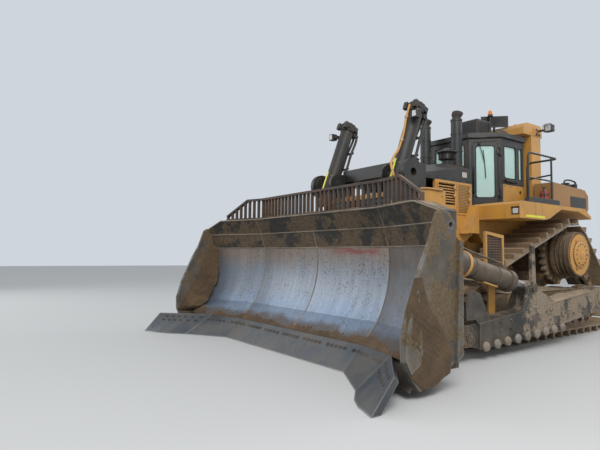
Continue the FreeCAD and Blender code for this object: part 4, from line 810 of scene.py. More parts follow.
@dataclass(frozen=True)
class Patterned(Weathered):
    """A coat with a regular pattern of raised spots or of holes; the holes' dark colour is painted shade.

    Attributes:
        pitch: Distance between spots.
        spot: Radius of a spot as a share of the pitch.
        hole: Whether the spots are holes, coloured dark as painted shade, and not raised.
        across: The two axes of the sheet.
    """

    pitch: float = 0.022
    spot: float = 0.3
    hole: bool = True
    across: tuple[str, str] = ("Y", "Z")

    def build(self, g: Graph, shader: bpy.types.Node) -> None:
        """Repeats a round spot on a square net, over the worn coat."""
        super().build(g, shader)
        parts = g.node("SeparateXYZ", {0: g.coordinates()})
        offsets = []
        for name in self.across:
            cell = g.math("DIVIDE", parts.outputs[name], self.pitch)
            offset = g.math("SUBTRACT", g.math("FRACT", cell), 0.5)
            offsets.append(g.math("MULTIPLY", offset, offset))
        away = g.math("SQRT", g.math("ADD", offsets[0], offsets[1]))
        mask = g.band(away, self.spot + 0.06, self.spot - 0.06)
        color = shader.inputs["Base Color"].links[0].from_socket
        # Painted shade: the holes are coloured near black, for the dark space behind the sheet.
        dark = tuple(c * 0.12 for c in self.coat)
        if self.hole:
            g.fill(shader.inputs["Base Color"], g.mix(mask, color, dark))
        bump = shader.inputs["Normal"].links[0].from_node
        height = bump.inputs["Height"].links[0].from_socket
        g.fill(bump.inputs["Height"], g.math("ADD", height, g.math("MULTIPLY", mask, -1.0 if self.hole else 0.6)))


YELLOW = Weathered("sun_yellow_coat", coat=(0.60, 0.29, 0.042), second=(0.48, 0.235, 0.05), rough=0.45, wear=0.42,
                   dust=0.55, dust_color=(0.37, 0.235, 0.12), streak=0.35, mud=0.22, mud_top=2.6, mud_color=DRY_MUD)
# The tank's coat is a darker yellow than the rest, a painted shade; its heavier dust is real.
SHADED_TANK_COAT = replace(YELLOW, name="tank_shaded_dusty_coat", coat=(0.36, 0.175, 0.04), second=(0.3, 0.15, 0.045), dust=0.95, dust_color=(0.35, 0.25, 0.15))
HULL_COAT = replace(YELLOW, name="hull_dirty_coat", dust=0.9, mud=0.78, mud_top=3.2, mud_color=(0.2, 0.138, 0.078), streak=0.5)
BLACK = Weathered("hood_black_coat", coat=(0.013, 0.0145, 0.0145), second=(0.02, 0.02, 0.019), rough=0.38, wear=0.34,
                  bare=(0.13, 0.12, 0.11), dust=0.15, streak=0.25, streak_color=(0.06, 0.05, 0.038), grain=0.1)
BLADE_BACK = Weathered("blade_dark_coat", coat=(0.026, 0.022, 0.018), second=(0.044, 0.035, 0.025), rough=0.62, wear=0.5,
                       dust=0.5, mud=0.72, mud_top=2.4, streak=0.4, streak_color=(0.1, 0.065, 0.035))
PLATE_COAT = Weathered("side_plate_coat", coat=(0.04, 0.043, 0.042), second=(0.075, 0.066, 0.052), rough=0.6, wear=0.8,
                       wear_width=0.075, bare=(0.2, 0.22, 0.235), dust=0.45, mud=0.8, mud_top=5.0,
                       mud_color=(0.16, 0.112, 0.063), streak=0.4)
ARM_COAT = Weathered("arm_dark_coat", coat=(0.02, 0.019, 0.016), second=(0.035, 0.03, 0.023), rough=0.55, wear=0.5,
                     bare=(0.3, 0.28, 0.25), dust=0.35, dust_color=(0.3, 0.235, 0.165), mud=0.9, mud_top=2.9,
                     mud_color=(0.32, 0.25, 0.175), mud_behind=-2.9)
EDGE_METAL = Weathered("bolted_edge_metal", coat=(0.075, 0.09, 0.105), second=(0.1, 0.105, 0.108), rough=0.45, metal=0.7,
                       bare=(0.3, 0.3, 0.3), wear=0.62, wear_width=0.03, dust=0.1, mud=0.24, mud_top=0.9, streak=0.4)
TRACK_METAL = Weathered("track_worn_metal", coat=(0.3, 0.21, 0.12), second=(0.2, 0.14, 0.085), rough=0.68,
                        metal=0.3, bare=(0.46, 0.43, 0.4), wear=0.6, wear_width=0.03, dust=0.75, mud=0.7, mud_top=3.4,
                        mud_color=(0.36, 0.26, 0.155), streak=0.2)
DIRTY_METAL = Weathered("frame_dirty_metal", coat=(0.3, 0.205, 0.1), second=(0.2, 0.145, 0.08), rough=0.7, wear=0.4,
                        dust=0.95, mud=0.8, mud_top=2.2, mud_color=(0.22, 0.155, 0.09), grain=0.3)
IRON = Weathered("cast_iron_dark", coat=(0.045, 0.04, 0.034), second=(0.07, 0.055, 0.04), rough=0.65, metal=0.4, wear=0.4,
                 dust=0.4, mud=0.25, mud_top=1.4, grain=0.35, grain_scale=90.0)
CHROME = Weathered("dull_rod_metal", coat=(0.34, 0.335, 0.33), second=(0.25, 0.24, 0.23), rough=0.3, metal=1.0, wear=0.0,
                   dust=0.5, streak=0.5, streak_color=(0.07, 0.06, 0.05), grain=0.05)
STACK_COAT = Weathered("stack_heat_black", coat=(0.018, 0.023, 0.023), second=(0.028, 0.03, 0.028), rough=0.45, wear=0.3,
                       bare=(0.14, 0.08, 0.045), dust=0.1, streak=0.35, streak_color=(0.055, 0.035, 0.02))
RUSTY = Weathered("burnt_collar", coat=(0.026, 0.025, 0.024), second=(0.045, 0.034, 0.025), rough=0.8, wear=0.3,
                  bare=(0.12, 0.07, 0.04), dust=0.2, streak=0.3, grain=0.4, grain_scale=120.0)
SLAT_COAT = Weathered("guard_rusty_slats", coat=(0.042, 0.038, 0.034), second=(0.095, 0.044, 0.024), rough=0.75, wear=0.4,
                      bare=(0.11, 0.1, 0.09), dust=0.25, streak=0.6, streak_color=(0.11, 0.045, 0.022), grain=0.4)
DRUM_COAT = Weathered("drive_drum_dirty", coat=(0.13, 0.083, 0.038), second=(0.065, 0.043, 0.024), rough=0.72, wear=0.4,
                      dust=0.5, mud=0.5, mud_top=3.6, grain=0.3)
BARREL_COAT = Weathered("barrel_dirty_black", coat=(0.032, 0.026, 0.02), second=(0.07, 0.052, 0.034), rough=0.55,
                        wear=0.35, dust=0.4, streak=0.5, streak_color=(0.12, 0.085, 0.05))
LIFT_COAT = replace(BARREL_COAT, name="barrel_black", coat=(0.012, 0.0125, 0.0125), second=(0.022, 0.02, 0.017), dust=0.14,
                    streak=0.3, streak_color=(0.06, 0.045, 0.03))
RUBBER = Weathered("hose_rubber", coat=(0.014, 0.014, 0.015), second=(0.024, 0.023, 0.022), rough=0.6, wear=0.0, dust=0.3,
                   streak=0.2, grain=0.2, grain_scale=160.0)
SEAL = Weathered("window_seal", coat=(0.01, 0.01, 0.01), second=(0.017, 0.017, 0.017), rough=0.7, wear=0.0, dust=0.18,
                 streak=0.1, grain=0.1)
PLASTIC = Weathered("console_plastic", coat=(0.1, 0.1, 0.1), second=(0.075, 0.075, 0.075), rough=0.6, wear=0.0,
                    dust=0.3, streak=0.05, grain=0.3, grain_scale=260.0)
PERFORATED = Patterned("perforated_yellow", coat=(0.46, 0.23, 0.04), second=(0.36, 0.18, 0.045), rough=0.5, wear=0.0,
                       dust=0.5, pitch=0.03, spot=0.36)
DARK_MESH = Patterned("dark_mesh_sheet", coat=(0.055, 0.04, 0.028), second=(0.15, 0.065, 0.03), rough=0.8, wear=0.0,
                      dust=0.3, pitch=0.045, spot=0.36)
TREAD = Patterned("studded_tread", coat=(0.05, 0.047, 0.043), second=(0.085, 0.075, 0.06), rough=0.7, wear=0.0, dust=0.8,
                  pitch=0.05, spot=0.24, hole=False, across=("X", "Y"))
RED = Weathered("bottle_red", coat=(0.36, 0.025, 0.02), second=(0.28, 0.03, 0.025), rough=0.35, wear=0.3, dust=0.55)
LAMP_COAT = Weathered("lamp_housing", coat=(0.014, 0.014, 0.015), second=(0.022, 0.022, 0.022), rough=0.5, wear=0.2,
                      dust=0.25, streak=0.1)
STRIPE = Weathered("reflective_yellow", coat=(0.78, 0.74, 0.02), second=(0.7, 0.66, 0.03), rough=0.3, wear=0.0,
                   dust=0.12, streak=0.15, grain=0.05)
PALE_PLATE = Weathered("bare_pale_plate", coat=(0.5, 0.47, 0.4), second=(0.42, 0.38, 0.31), rough=0.45, wear=0.3,
                       dust=0.3, streak=0.3)
EARTH = Weathered("caked_earth", coat=(0.1, 0.06, 0.029), second=(0.06, 0.037, 0.02), rough=0.95, wear=0.0,
                  dust=0.12, dust_color=DRY_MUD, streak=0.0, grain=1.2, grain_scale=30.0)
PALE_EARTH = replace(EARTH, name="dry_earth", coat=(0.32, 0.245, 0.165), second=(0.22, 0.165, 0.105), dust=0.3)
KNOB_METAL = Weathered("worn_knob_metal", coat=(0.26, 0.235, 0.2), second=(0.14, 0.115, 0.085), rough=0.6, metal=0.3,
                       dust=0.4, grain=0.7, grain_scale=50.0)
FACE = BladeFace("blade_face_steel")
# The panes' pale green-white, mostly diffuse colour is the glass's own green tint with a painted reflection of the pale
# sky.
GLASS = Pane("door_pane_glass")
LENS = Pane("lamp_lens", tint=(0.85, 0.86, 0.84), clear=0.35, dust=0.3)
RED_LENS = Pane("tail_lamp_red", tint=(0.55, 0.03, 0.02), clear=0.2, dust=0.35)
BEACON = Pane("beacon_amber", tint=(0.9, 0.28, 0.02), clear=0.3, dust=0.3)
SEAT = Cloth("seat_cover_cloth")
COVER_COAT = Weathered("drive_cover_coat", coat=(0.70, 0.34, 0.06), second=(0.55, 0.27, 0.06), rough=0.6, wear=0.4,
                       dust=0.45, dust_color=(0.4, 0.25, 0.13), mud=0.22, mud_top=3.4, mud_color=DRY_MUD, streak=0.3)
# Near-black bolt heads: a painted shade in their sunk hollows.
SOCKET = Weathered("bolt_socket_dark", coat=(0.01, 0.01, 0.011), second=(0.022, 0.02, 0.018), rough=0.7, wear=0.0,
                   dust=0.12)
WELD = Weathered("weld_bead", coat=(0.27, 0.24, 0.195), second=(0.15, 0.125, 0.09), rough=0.55, metal=0.5, wear=0.0,
                 dust=0.4, grain=0.6, grain_scale=140.0)


@dataclass
class Piece:
    """A finished mesh with everything that it needs to be placed.

    Attributes:
        name: Name of the object.
        shape: Its shape, measured from the sprocket axle.
        finish: Its finish.
        body: The body that it rides on.
        slot: The record's slot; it is not used.
        bevel: Width of its rounded edges, or 0.
        sharp: Edges that turn by more than this many degrees stay sharp.
        stands_for: Nodes of the frame that it replaces.
    """

    name: str
    shape: Shape
    finish: Finish
    body: Body = Body.TRACTOR
    slot: Slot = Slot.YELLOW
    bevel: float = 0.0
    sharp: float = 35.0
    stands_for: tuple[str, ...] = ()

    def place(self) -> bpy.types.Object:
        """Writes the mesh, dresses it and fastens it to its body.

        Returns:
            The new object.
        """
        mesh = bpy.data.meshes.new(self.name)
        points = self.shape.points + (0.0, AXLE_Y, 0.0)
        counts = np.concatenate([np.full(len(face), face.shape[1]) for face in self.shape.faces])
        corners = np.concatenate([face.ravel() for face in self.shape.faces])
        mesh.vertices.add(len(points))
        mesh.vertices.foreach_set("co", points.ravel())
        mesh.loops.add(len(corners))
        mesh.loops.foreach_set("vertex_index", corners.astype(np.int32))
        mesh.polygons.add(len(counts))
        mesh.polygons.foreach_set("loop_start", (np.cumsum(counts) - counts).astype(np.int32))
        mesh.update(calc_edges=True)
        mesh.validate()
        mesh.polygons.foreach_set("use_smooth", np.ones(len(mesh.polygons), bool))
        mesh.set_sharp_from_angle(angle=math.radians(self.sharp))
        mesh.materials.append(self.finish.material())
        thing = bpy.data.objects.new(self.name, mesh)
        bpy.context.scene.collection.objects.link(thing)
        if self.bevel > 0:
            rounding = thing.modifiers.new("rounded_edges", "BEVEL")
            rounding.width = self.bevel
            rounding.segments = 2
            rounding.limit_method = "ANGLE"
            rounding.angle_limit = math.radians(40)
            rounding.harden_normals = True
        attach(thing, self.body.value)
        if self.stands_for:
            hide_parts(*self.stands_for)
        log.info("%s: %d faces on %s", self.name, len(mesh.polygons), self.body.value)
        return thing


def dress(finish: Finish, *nodes: str) -> None:
    """Gives nodes of the frame a finish."""
    for name in nodes:
        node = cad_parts[name]
        node.data.materials.clear()
        node.data.materials.append(finish.material())


def node_box(name: str) -> tuple[Array, Array]:
    """Lowest and highest corner of a node, measured from the sprocket axle."""
    low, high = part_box(name)
    shift = np.array([0.0, AXLE_Y, 0.0])
    return np.array(low) - shift, np.array(high) - shift


# Studio

@dataclass
class Studio:
    """Pale floor, soft lights and the camera at the photograph's angle.

    Attributes:
        place: Camera, measured from the sprocket axle.
        azimuth: Heading of the view in degrees, from +Y towards -X.
        pitch: How far the view looks up, in degrees.
        roll: How far the camera leans, in degrees.
        focal: Focal length in pixels of a 600 by 450 image.
    """

    place: tuple[float, float, float] = (6.934, -10.946, 1.598)
    azimuth: float = 53.837
    pitch: float = 3.519
    roll: float = 0.593
    focal: float = 494.4
    floor_size: float = 120.0

    def build(self) -> None:
        """Makes the camera, the floor, the world and the lights."""
        self.camera()
        self.floor()
        self.lights()

    def camera(self) -> None:
        """Turns heading, pitch and roll into the camera's axes and places it."""
        a, p, r = (math.radians(v) for v in (self.azimuth, self.pitch, self.roll))
        ahead = np.array([-math.sin(a) * math.cos(p), math.cos(a) * math.cos(p), math.sin(p)])
        right = np.array([math.cos(a), math.sin(a), 0.0])
        up = np.cross(right, ahead)
        right, up = right * math.cos(r) + up * math.sin(r), up * math.cos(r) - right * math.sin(r)
        data = bpy.data.cameras.new("view")
        data.sensor_width = 36.0
        data.lens = 36.0 * self.focal / 600.0
        data.clip_end = 400.0
        camera = bpy.data.objects.new("view", data)
        bpy.context.scene.collection.objects.link(camera)
        place = np.array(self.place) + (0.0, AXLE_Y, 0.0)
        matrix = np.eye(4)
        matrix[:3] = np.stack([right, up, -ahead, place], axis=1)
        camera.matrix_world = Matrix(matrix.tolist())
        bpy.context.scene.camera = camera

    def floor(self) -> None:
        """Lays a wide plain floor just under the tracks."""
        half = self.floor_size / 2
        steps = np.linspace(-half, half, 5)
        x, y = np.meshgrid(steps, steps)
        points = np.stack([x, y, np.full_like(x, -0.002)], axis=-1)
        shape = surface(points)
        mesh = bpy.data.meshes.new("studio_floor")
        mesh.from_pydata(shape.points.tolist(), [], shape.faces[0][:, ::-1].tolist())
        thing = bpy.data.objects.new("studio_floor", mesh)
        bpy.context.scene.collection.objects.link(thing)
        paint = bpy.data.materials.new("studio_floor")
        paint.use_nodes = True
        shader = paint.node_tree.nodes["Principled BSDF"]
        shader.inputs["Base Color"].default_value = (0.52, 0.515, 0.50, 1.0)
        shader.inputs["Roughness"].default_value = 0.8
        mesh.materials.append(paint)

    def lights(self) -> None:
        """Sets a pale world and large soft lamps."""
        scene = bpy.context.scene
        scene.view_settings.view_transform = "Standard"
        world = bpy.data.worlds.new("studio")
        scene.world = world
        world.use_nodes = True
        sky = world.node_tree.nodes["Background"]
        sky.inputs["Color"].default_value = (0.84, 0.90, 0.97, 1.0)
        sky.inputs["Strength"].default_value = 0.74
        for name, place, aim, size, power in (
            ("key", (11.0, -11.0, 13.0), (0.5, -2.5, 1.5), 7.0, 1750.0),
            ("fill", (-13.0, -13.0, 8.0), (0.0, -4.0, 1.5), 10.0, 500.0),
            ("back", (4.0, 13.0, 12.0), (0.0, 0.0, 2.0), 8.0, 700.0),
        ):
            data = bpy.data.lights.new(name, "AREA")
            data.size = size
            data.energy = power
            lamp = bpy.data.objects.new(name, data)
            scene.collection.objects.link(lamp)
            source = np.array(place) + (0.0, AXLE_Y, 0.0)
            turn = basis(source - np.array(aim) - (0.0, AXLE_Y, 0.0))
            matrix = np.eye(4)
            matrix[:3, :3] = turn
            matrix[:3, 3] = source
            lamp.matrix_world = Matrix(matrix.tolist())


# Running gear

@dataclass
class Track:
    """One track: links on pins, with a bolted shoe and its lug on every link.

    Attributes:
        middle: Distance of the track's middle from the machine's.
        pitch: Nominal length of a link.
        wheels: Height, place and pin radius of the wheels, in the order of the loop.
    """

    side: int
    middle: float = 1.448
    width: float = 0.915
    pitch: float = 0.318
    above: float = 0.085
    below: float = 0.090
    shoe: float = 0.030
    lug: float = 0.115
    rail_space: float = 0.110
    rail_width: float = 0.090
    wheels: tuple[tuple[float, float, float], ...] = ((0.0, 1.676, 0.570), (-3.3, 0.65, 0.420), (1.15, 0.65, 0.420))

    def loop(self, distance: Array) -> tuple[Array, Array]:
        """Points of the pin line at distances along it, with the outward direction there.

        The line runs round each wheel on an arc and straight to the next wheel.

        Args:
            distance: Distances along the loop.

        Returns:
            Points (y, z) and outward unit vectors.
        """
        wheels = np.array(self.wheels)
        following = np.roll(wheels, -1, axis=0)
        step = following - wheels
        span = np.hypot(step[:, 0], step[:, 1])
        normal = np.arctan2(step[:, 1], step[:, 0]) - np.arccos((wheels[:, 2] - following[:, 2]) / span)
        turn = (normal - np.roll(normal, 1)) % (2 * math.pi)
        knots, places = [0.0], []
        for index, (y, z, radius) in enumerate(wheels):
            begin = normal[index - 1]
            angle = np.linspace(begin, begin + turn[index], 200)
            arc = np.stack([y + radius * np.cos(angle), z + radius * np.sin(angle), np.cos(angle), np.sin(angle)], axis=1)
            places.append(arc)
            straight = np.linalg.norm(
                following[index, :2] + following[index, 2] * arc[-1, 2:] - arc[-1, :2]
            )
            knots += [*(knots[-1] + radius * (angle[1:] - begin)), knots[-1] + radius * turn[index] + straight]
        table = np.vstack(places)
        lengths = np.array(knots[:-1])
        table = np.vstack([table, table[:1]])
        lengths = np.append(lengths, knots[-1])
        local = np.asarray(distance) % lengths[-1]
        out = np.stack([np.interp(local, lengths, table[:, k]) for k in range(4)], axis=1)
        self.length = float(lengths[-1])
        return out[:, :2], out[:, 2:]

    def build(self) -> None:
        """Repeats one link round the loop and replaces the plain track with it."""
        self.loop(np.zeros(1))
        count = round(self.length / self.pitch)
        step = self.length / count
        pins, outward = self.loop(np.arange(count) * step)
        reach = self.above + self.shoe
        here = pins + outward * reach
        ahead = np.roll(here, -1, axis=0)
        along = (ahead - here) / np.linalg.norm(ahead - here, axis=1, keepdims=True)
        bases = np.zeros((count, 3, 3))
        bases[:, 0, 0] = 1.0
        bases[:, 1:, 1] = along
        bases[:, 1, 2], bases[:, 2, 2] = along[:, 1], -along[:, 0]
        places = np.column_stack([np.full(count, self.middle), here])
        long = np.linalg.norm(ahead - here, axis=1)
        shoes = self.one_shoe(float(long.min()) - 0.004).copies(places, bases)
        chord = np.roll(pins, -1, axis=0) - pins
        links = self.one_link(step)
        pin_along = chord / np.linalg.norm(chord, axis=1, keepdims=True)
        turned = np.zeros((count, 3, 3))
        turned[:, 0, 0] = 1.0
        turned[:, 1:, 1] = pin_along
        turned[:, 1, 2], turned[:, 2, 2] = pin_along[:, 1], -pin_along[:, 0]
        chain = links.copies(np.column_stack([np.full(count, self.middle), pins]), turned)
        name = "left" if self.side > 0 else "right"
        Piece(f"track_shoes_{name}", (shoes + chain).on(self.side), TRACK_METAL, Body.TRACTOR, Slot.TRACK,
              stands_for=(f"track_{name}",)).place()

    def one_shoe(self, long: float) -> Shape:
        """Shoe plate with a rounded lug, a turned-down lip and four bolts; Y runs along the loop, Z outwards."""
        half = self.width / 2
        t = self.shoe
        lug = long * 0.22
        section = [
            (0.002, -t), (long - 0.03, -t), (long - 0.004, -t * 0.75), (long, -0.012), (long - 0.016, -0.002),
            (lug + 0.052, 0.0), (lug + 0.036, 0.012), (lug + 0.021, self.lug - 0.006), (lug + 0.014, self.lug),
            (lug - 0.014, self.lug), (lug - 0.021, self.lug - 0.006), (lug - 0.036, 0.012), (lug - 0.044, 0.0),
            (0.002, -0.004),
        ]
        bar = plate(section, "x", -half, half)
        bolts = bolt_row([(x, y, 0.0) for x in (-0.15, 0.15) for y in (long * 0.52, long * 0.8)], (0, 0, 1), 0.017, 0.018)
        return bar + bolts

    def one_link(self, step: float) -> Shape:
        """Pair of waisted link plates with pin ends; the origin is at the pin, Z outwards."""
        inner, outer = self.rail_space / 2, self.rail_space / 2 + self.rail_width
        side = [
            (-0.075, -0.05), (-0.045, -self.below), (step * 0.62, -self.below), (step + 0.03, -0.06), (step + 0.035, 0.03),
            (step * 0.8, self.above), (step * 0.08, self.above), (-0.05, 0.055), (-0.085, 0.0),
        ]
        offset = 0.022
        pair = plate(side, "x", inner, outer - offset) + plate(side, "x", -outer + offset, -inner)
        end = [(0.05, 0.0), (0.05, offset * 0.8), (0.038, offset)]
        cap = revolved(end, (outer - offset, 0, 0), (1, 0, 0), 14)
        ring = revolved(end, (outer - offset, step, 0), (1, 0, 0), 14)
        caps = cap + ring
        bush = revolved([(0.042, -inner), (0.042, inner)], (0, 0, 0), (1, 0, 0), 12)
        return pair + caps + caps.mirrored() + bush


@dataclass
class RunningGear:
    """Details of the wheels and frames between the tracks."""

    middle: float = 1.448
    rail_out: float = 0.145
    sprocket_z: float = 1.676
    drive_face: float = 1.97
    cover_radius: float = 0.47
    rim_bolts: int = 54
    hub_bolts: int = 14
    idler_z: float = 0.65
    idler_places: tuple[float, float] = (-3.3, 1.15)
    roller_z: float = 0.45
    frame_half: float = 0.26
    roller_count: int = 8

    def build(self) -> None:
        """Makes the drive covers, the wheels' caps and the frames' details."""
        self.drive_covers()
        self.sprocket_bolts()
        self.roller_caps()
        self.idler_blocks()
        self.frame_dirt()

    def drive_covers(self) -> None:
        """Cover disc with a ring of rim bolts, a hub with its own ring, ribs and plugs."""
        face, r, axis = self.drive_face, self.cover_radius, (1, 0, 0)
        centre = (face, 0.0, self.sprocket_z)
        rim = revolved([(r * 0.55, -0.004), (r - 0.002, -0.004), (r - 0.002, 0.008), (r - 0.05, 0.016), (r * 0.55, 0.012)], centre, axis, 64, True)
        dish = revolved([(r * 0.6, 0.02), (r * 0.6, 0.036), (r * 0.55, 0.052), (0.10, 0.058), (0.095, 0.03)], centre, axis, 48, True)
        hub = revolved([(0.098, 0.02), (0.098, 0.066), (0.08, 0.075), (0.001, 0.075)], centre, axis, 24)
        bolts = bolt_ring((face + 0.012, 0, self.sprocket_z), axis, r - 0.02, self.rim_bolts, 0.015, 0.016)
        bolts += bolt_ring((face + 0.052, 0, self.sprocket_z), axis, r * 0.47, self.hub_bolts, 0.014, 0.014)
        plugs = bolt_ring((face + 0.03, 0, self.sprocket_z), axis, r * 0.7, 3, 0.024, 0.02)
        Piece("drive_covers", (rim + dish + hub + plugs).both(), COVER_COAT, bevel=0.003).place()
        Piece("drive_cover_bolts", bolts.both(), IRON).place()
        rings = [
            revolved([(0.485, x), (0.485, x + 0.02), (0.455, x + 0.02), (0.455, x)], (0, 0, self.sprocket_z), axis, 64, True)
            for x in (1.70, 1.79, 1.875)
        ]
        Piece("drive_drum_ribs", joined(rings).both(), DRUM_COAT, bevel=0.004).place()

    def sprocket_bolts(self) -> None:
        """Ring of nuts on the flange outside the sprocket."""
        x = self.middle + self.rail_out + 0.08
        bolts = bolt_ring((x, 0, self.sprocket_z), (1, 0, 0), 0.497, 30, 0.014, 0.018)
        Piece("sprocket_flange_nuts", bolts.both(), IRON, slot=Slot.TRACK).place()

    def roller_places(self) -> Array:
        """Places of the bottom rollers along Y, read from their node."""
        low, high = node_box("rollers")
        reach = 0.13
        return np.linspace(low[1] + reach, high[1] - reach, self.roller_count)

    def roller_caps(self) -> None:
        """Bolted end caps of the rollers on the frame's cheeks."""
        low, high = node_box("rollers")
        z = (low[2] + high[2]) / 2
        x = self.middle + self.frame_half
        one = revolved([(0.085, -0.01), (0.085, 0.014), (0.06, 0.024), (0.05, 0.012), (0.001, 0.012)], (0, 0, 0), (1, 0, 0), 20)
        one += bolt_row([(0.0, s * 0.1, t * 0.045) for s in (-1, 1) for t in (-1, 1)], (1, 0, 0), 0.014, 0.018)
        lug = plate([(-0.13, -0.075), (0.13, -0.075), (0.13, 0.075), (-0.13, 0.075)], "x", -0.01, 0.006)
        places = [(x, y, z) for y in self.roller_places()]
        Piece("roller_end_caps", (one + lug).copies(places).both(), DIRTY_METAL, slot=Slot.DIRTY, bevel=0.003).place()

    def idler_blocks(self) -> None:
        """Bolted bearing blocks of the idlers with their hub caps."""
        x = self.middle + self.frame_half
        box_plate = plate([(-0.16, -0.09), (0.16, -0.09), (0.16, 0.09), (-0.16, 0.09)], "x", 0.0, 0.02)
        cap = revolved([(0.085, 0.0), (0.085, 0.04), (0.07, 0.05), (0.03, 0.05), (0.028, 0.035), (0.001, 0.035)], (0, 0, 0), (1, 0, 0), 24)
        bolts = bolt_row([(0.02, s * 0.125, t * 0.06) for s in (-1, 1) for t in (-1, 1)], (1, 0, 0), 0.016, 0.02)
        places = [(x, y, self.idler_z) for y in self.idler_places]
        Piece("idler_blocks", (box_plate + cap + bolts).copies(places).both(), DIRTY_METAL, slot=Slot.DIRTY, bevel=0.003).place()

    def frame_dirt(self) -> None:
        """Dry earth that lies along the top of the roller frames, as a heap on a grid."""
        low, high = node_box("roller_frames")
        y = np.linspace(-2.35, 0.45, 150)
        across = np.linspace(-1, 1, 15)
        yy, aa = np.meshgrid(y, across, indexing="ij")
        x = self.middle + aa * (self.frame_half + 0.015)
        flat = np.full_like(x, high[2] - 0.004)
        place = np.stack([x, yy, flat], axis=-1)
        bump = 0.5 + 0.5 * ripple(place.reshape(-1, 3), 0.5, 4).reshape(x.shape)
        fine = ripple(place.reshape(-1, 3), 0.09, 5).reshape(x.shape)
        edge = np.sqrt(np.clip(1 - aa**2, 0, 1)) * np.clip((y - y[0]) * 8, 0, 1)[:, None] * np.clip((y[-1] - y) * 8, 0, 1)[:, None]
        top = place + np.stack([0 * x, 0 * x, edge * (0.01 + 0.07 * np.clip(bump, 0, 1) + 0.012 * fine) + 0.002], axis=-1)
        Piece("frame_top_earth", shell(top, place).both(), PALE_EARTH, slot=Slot.DIRTY, sharp=80).place()


def shell(outer: Array, inner: Array) -> Shape:
    """Closed crust between two grids of points, which may touch along their edges."""
    return lofted(np.concatenate([outer, inner[:, ::-1]], axis=1))


# Blade

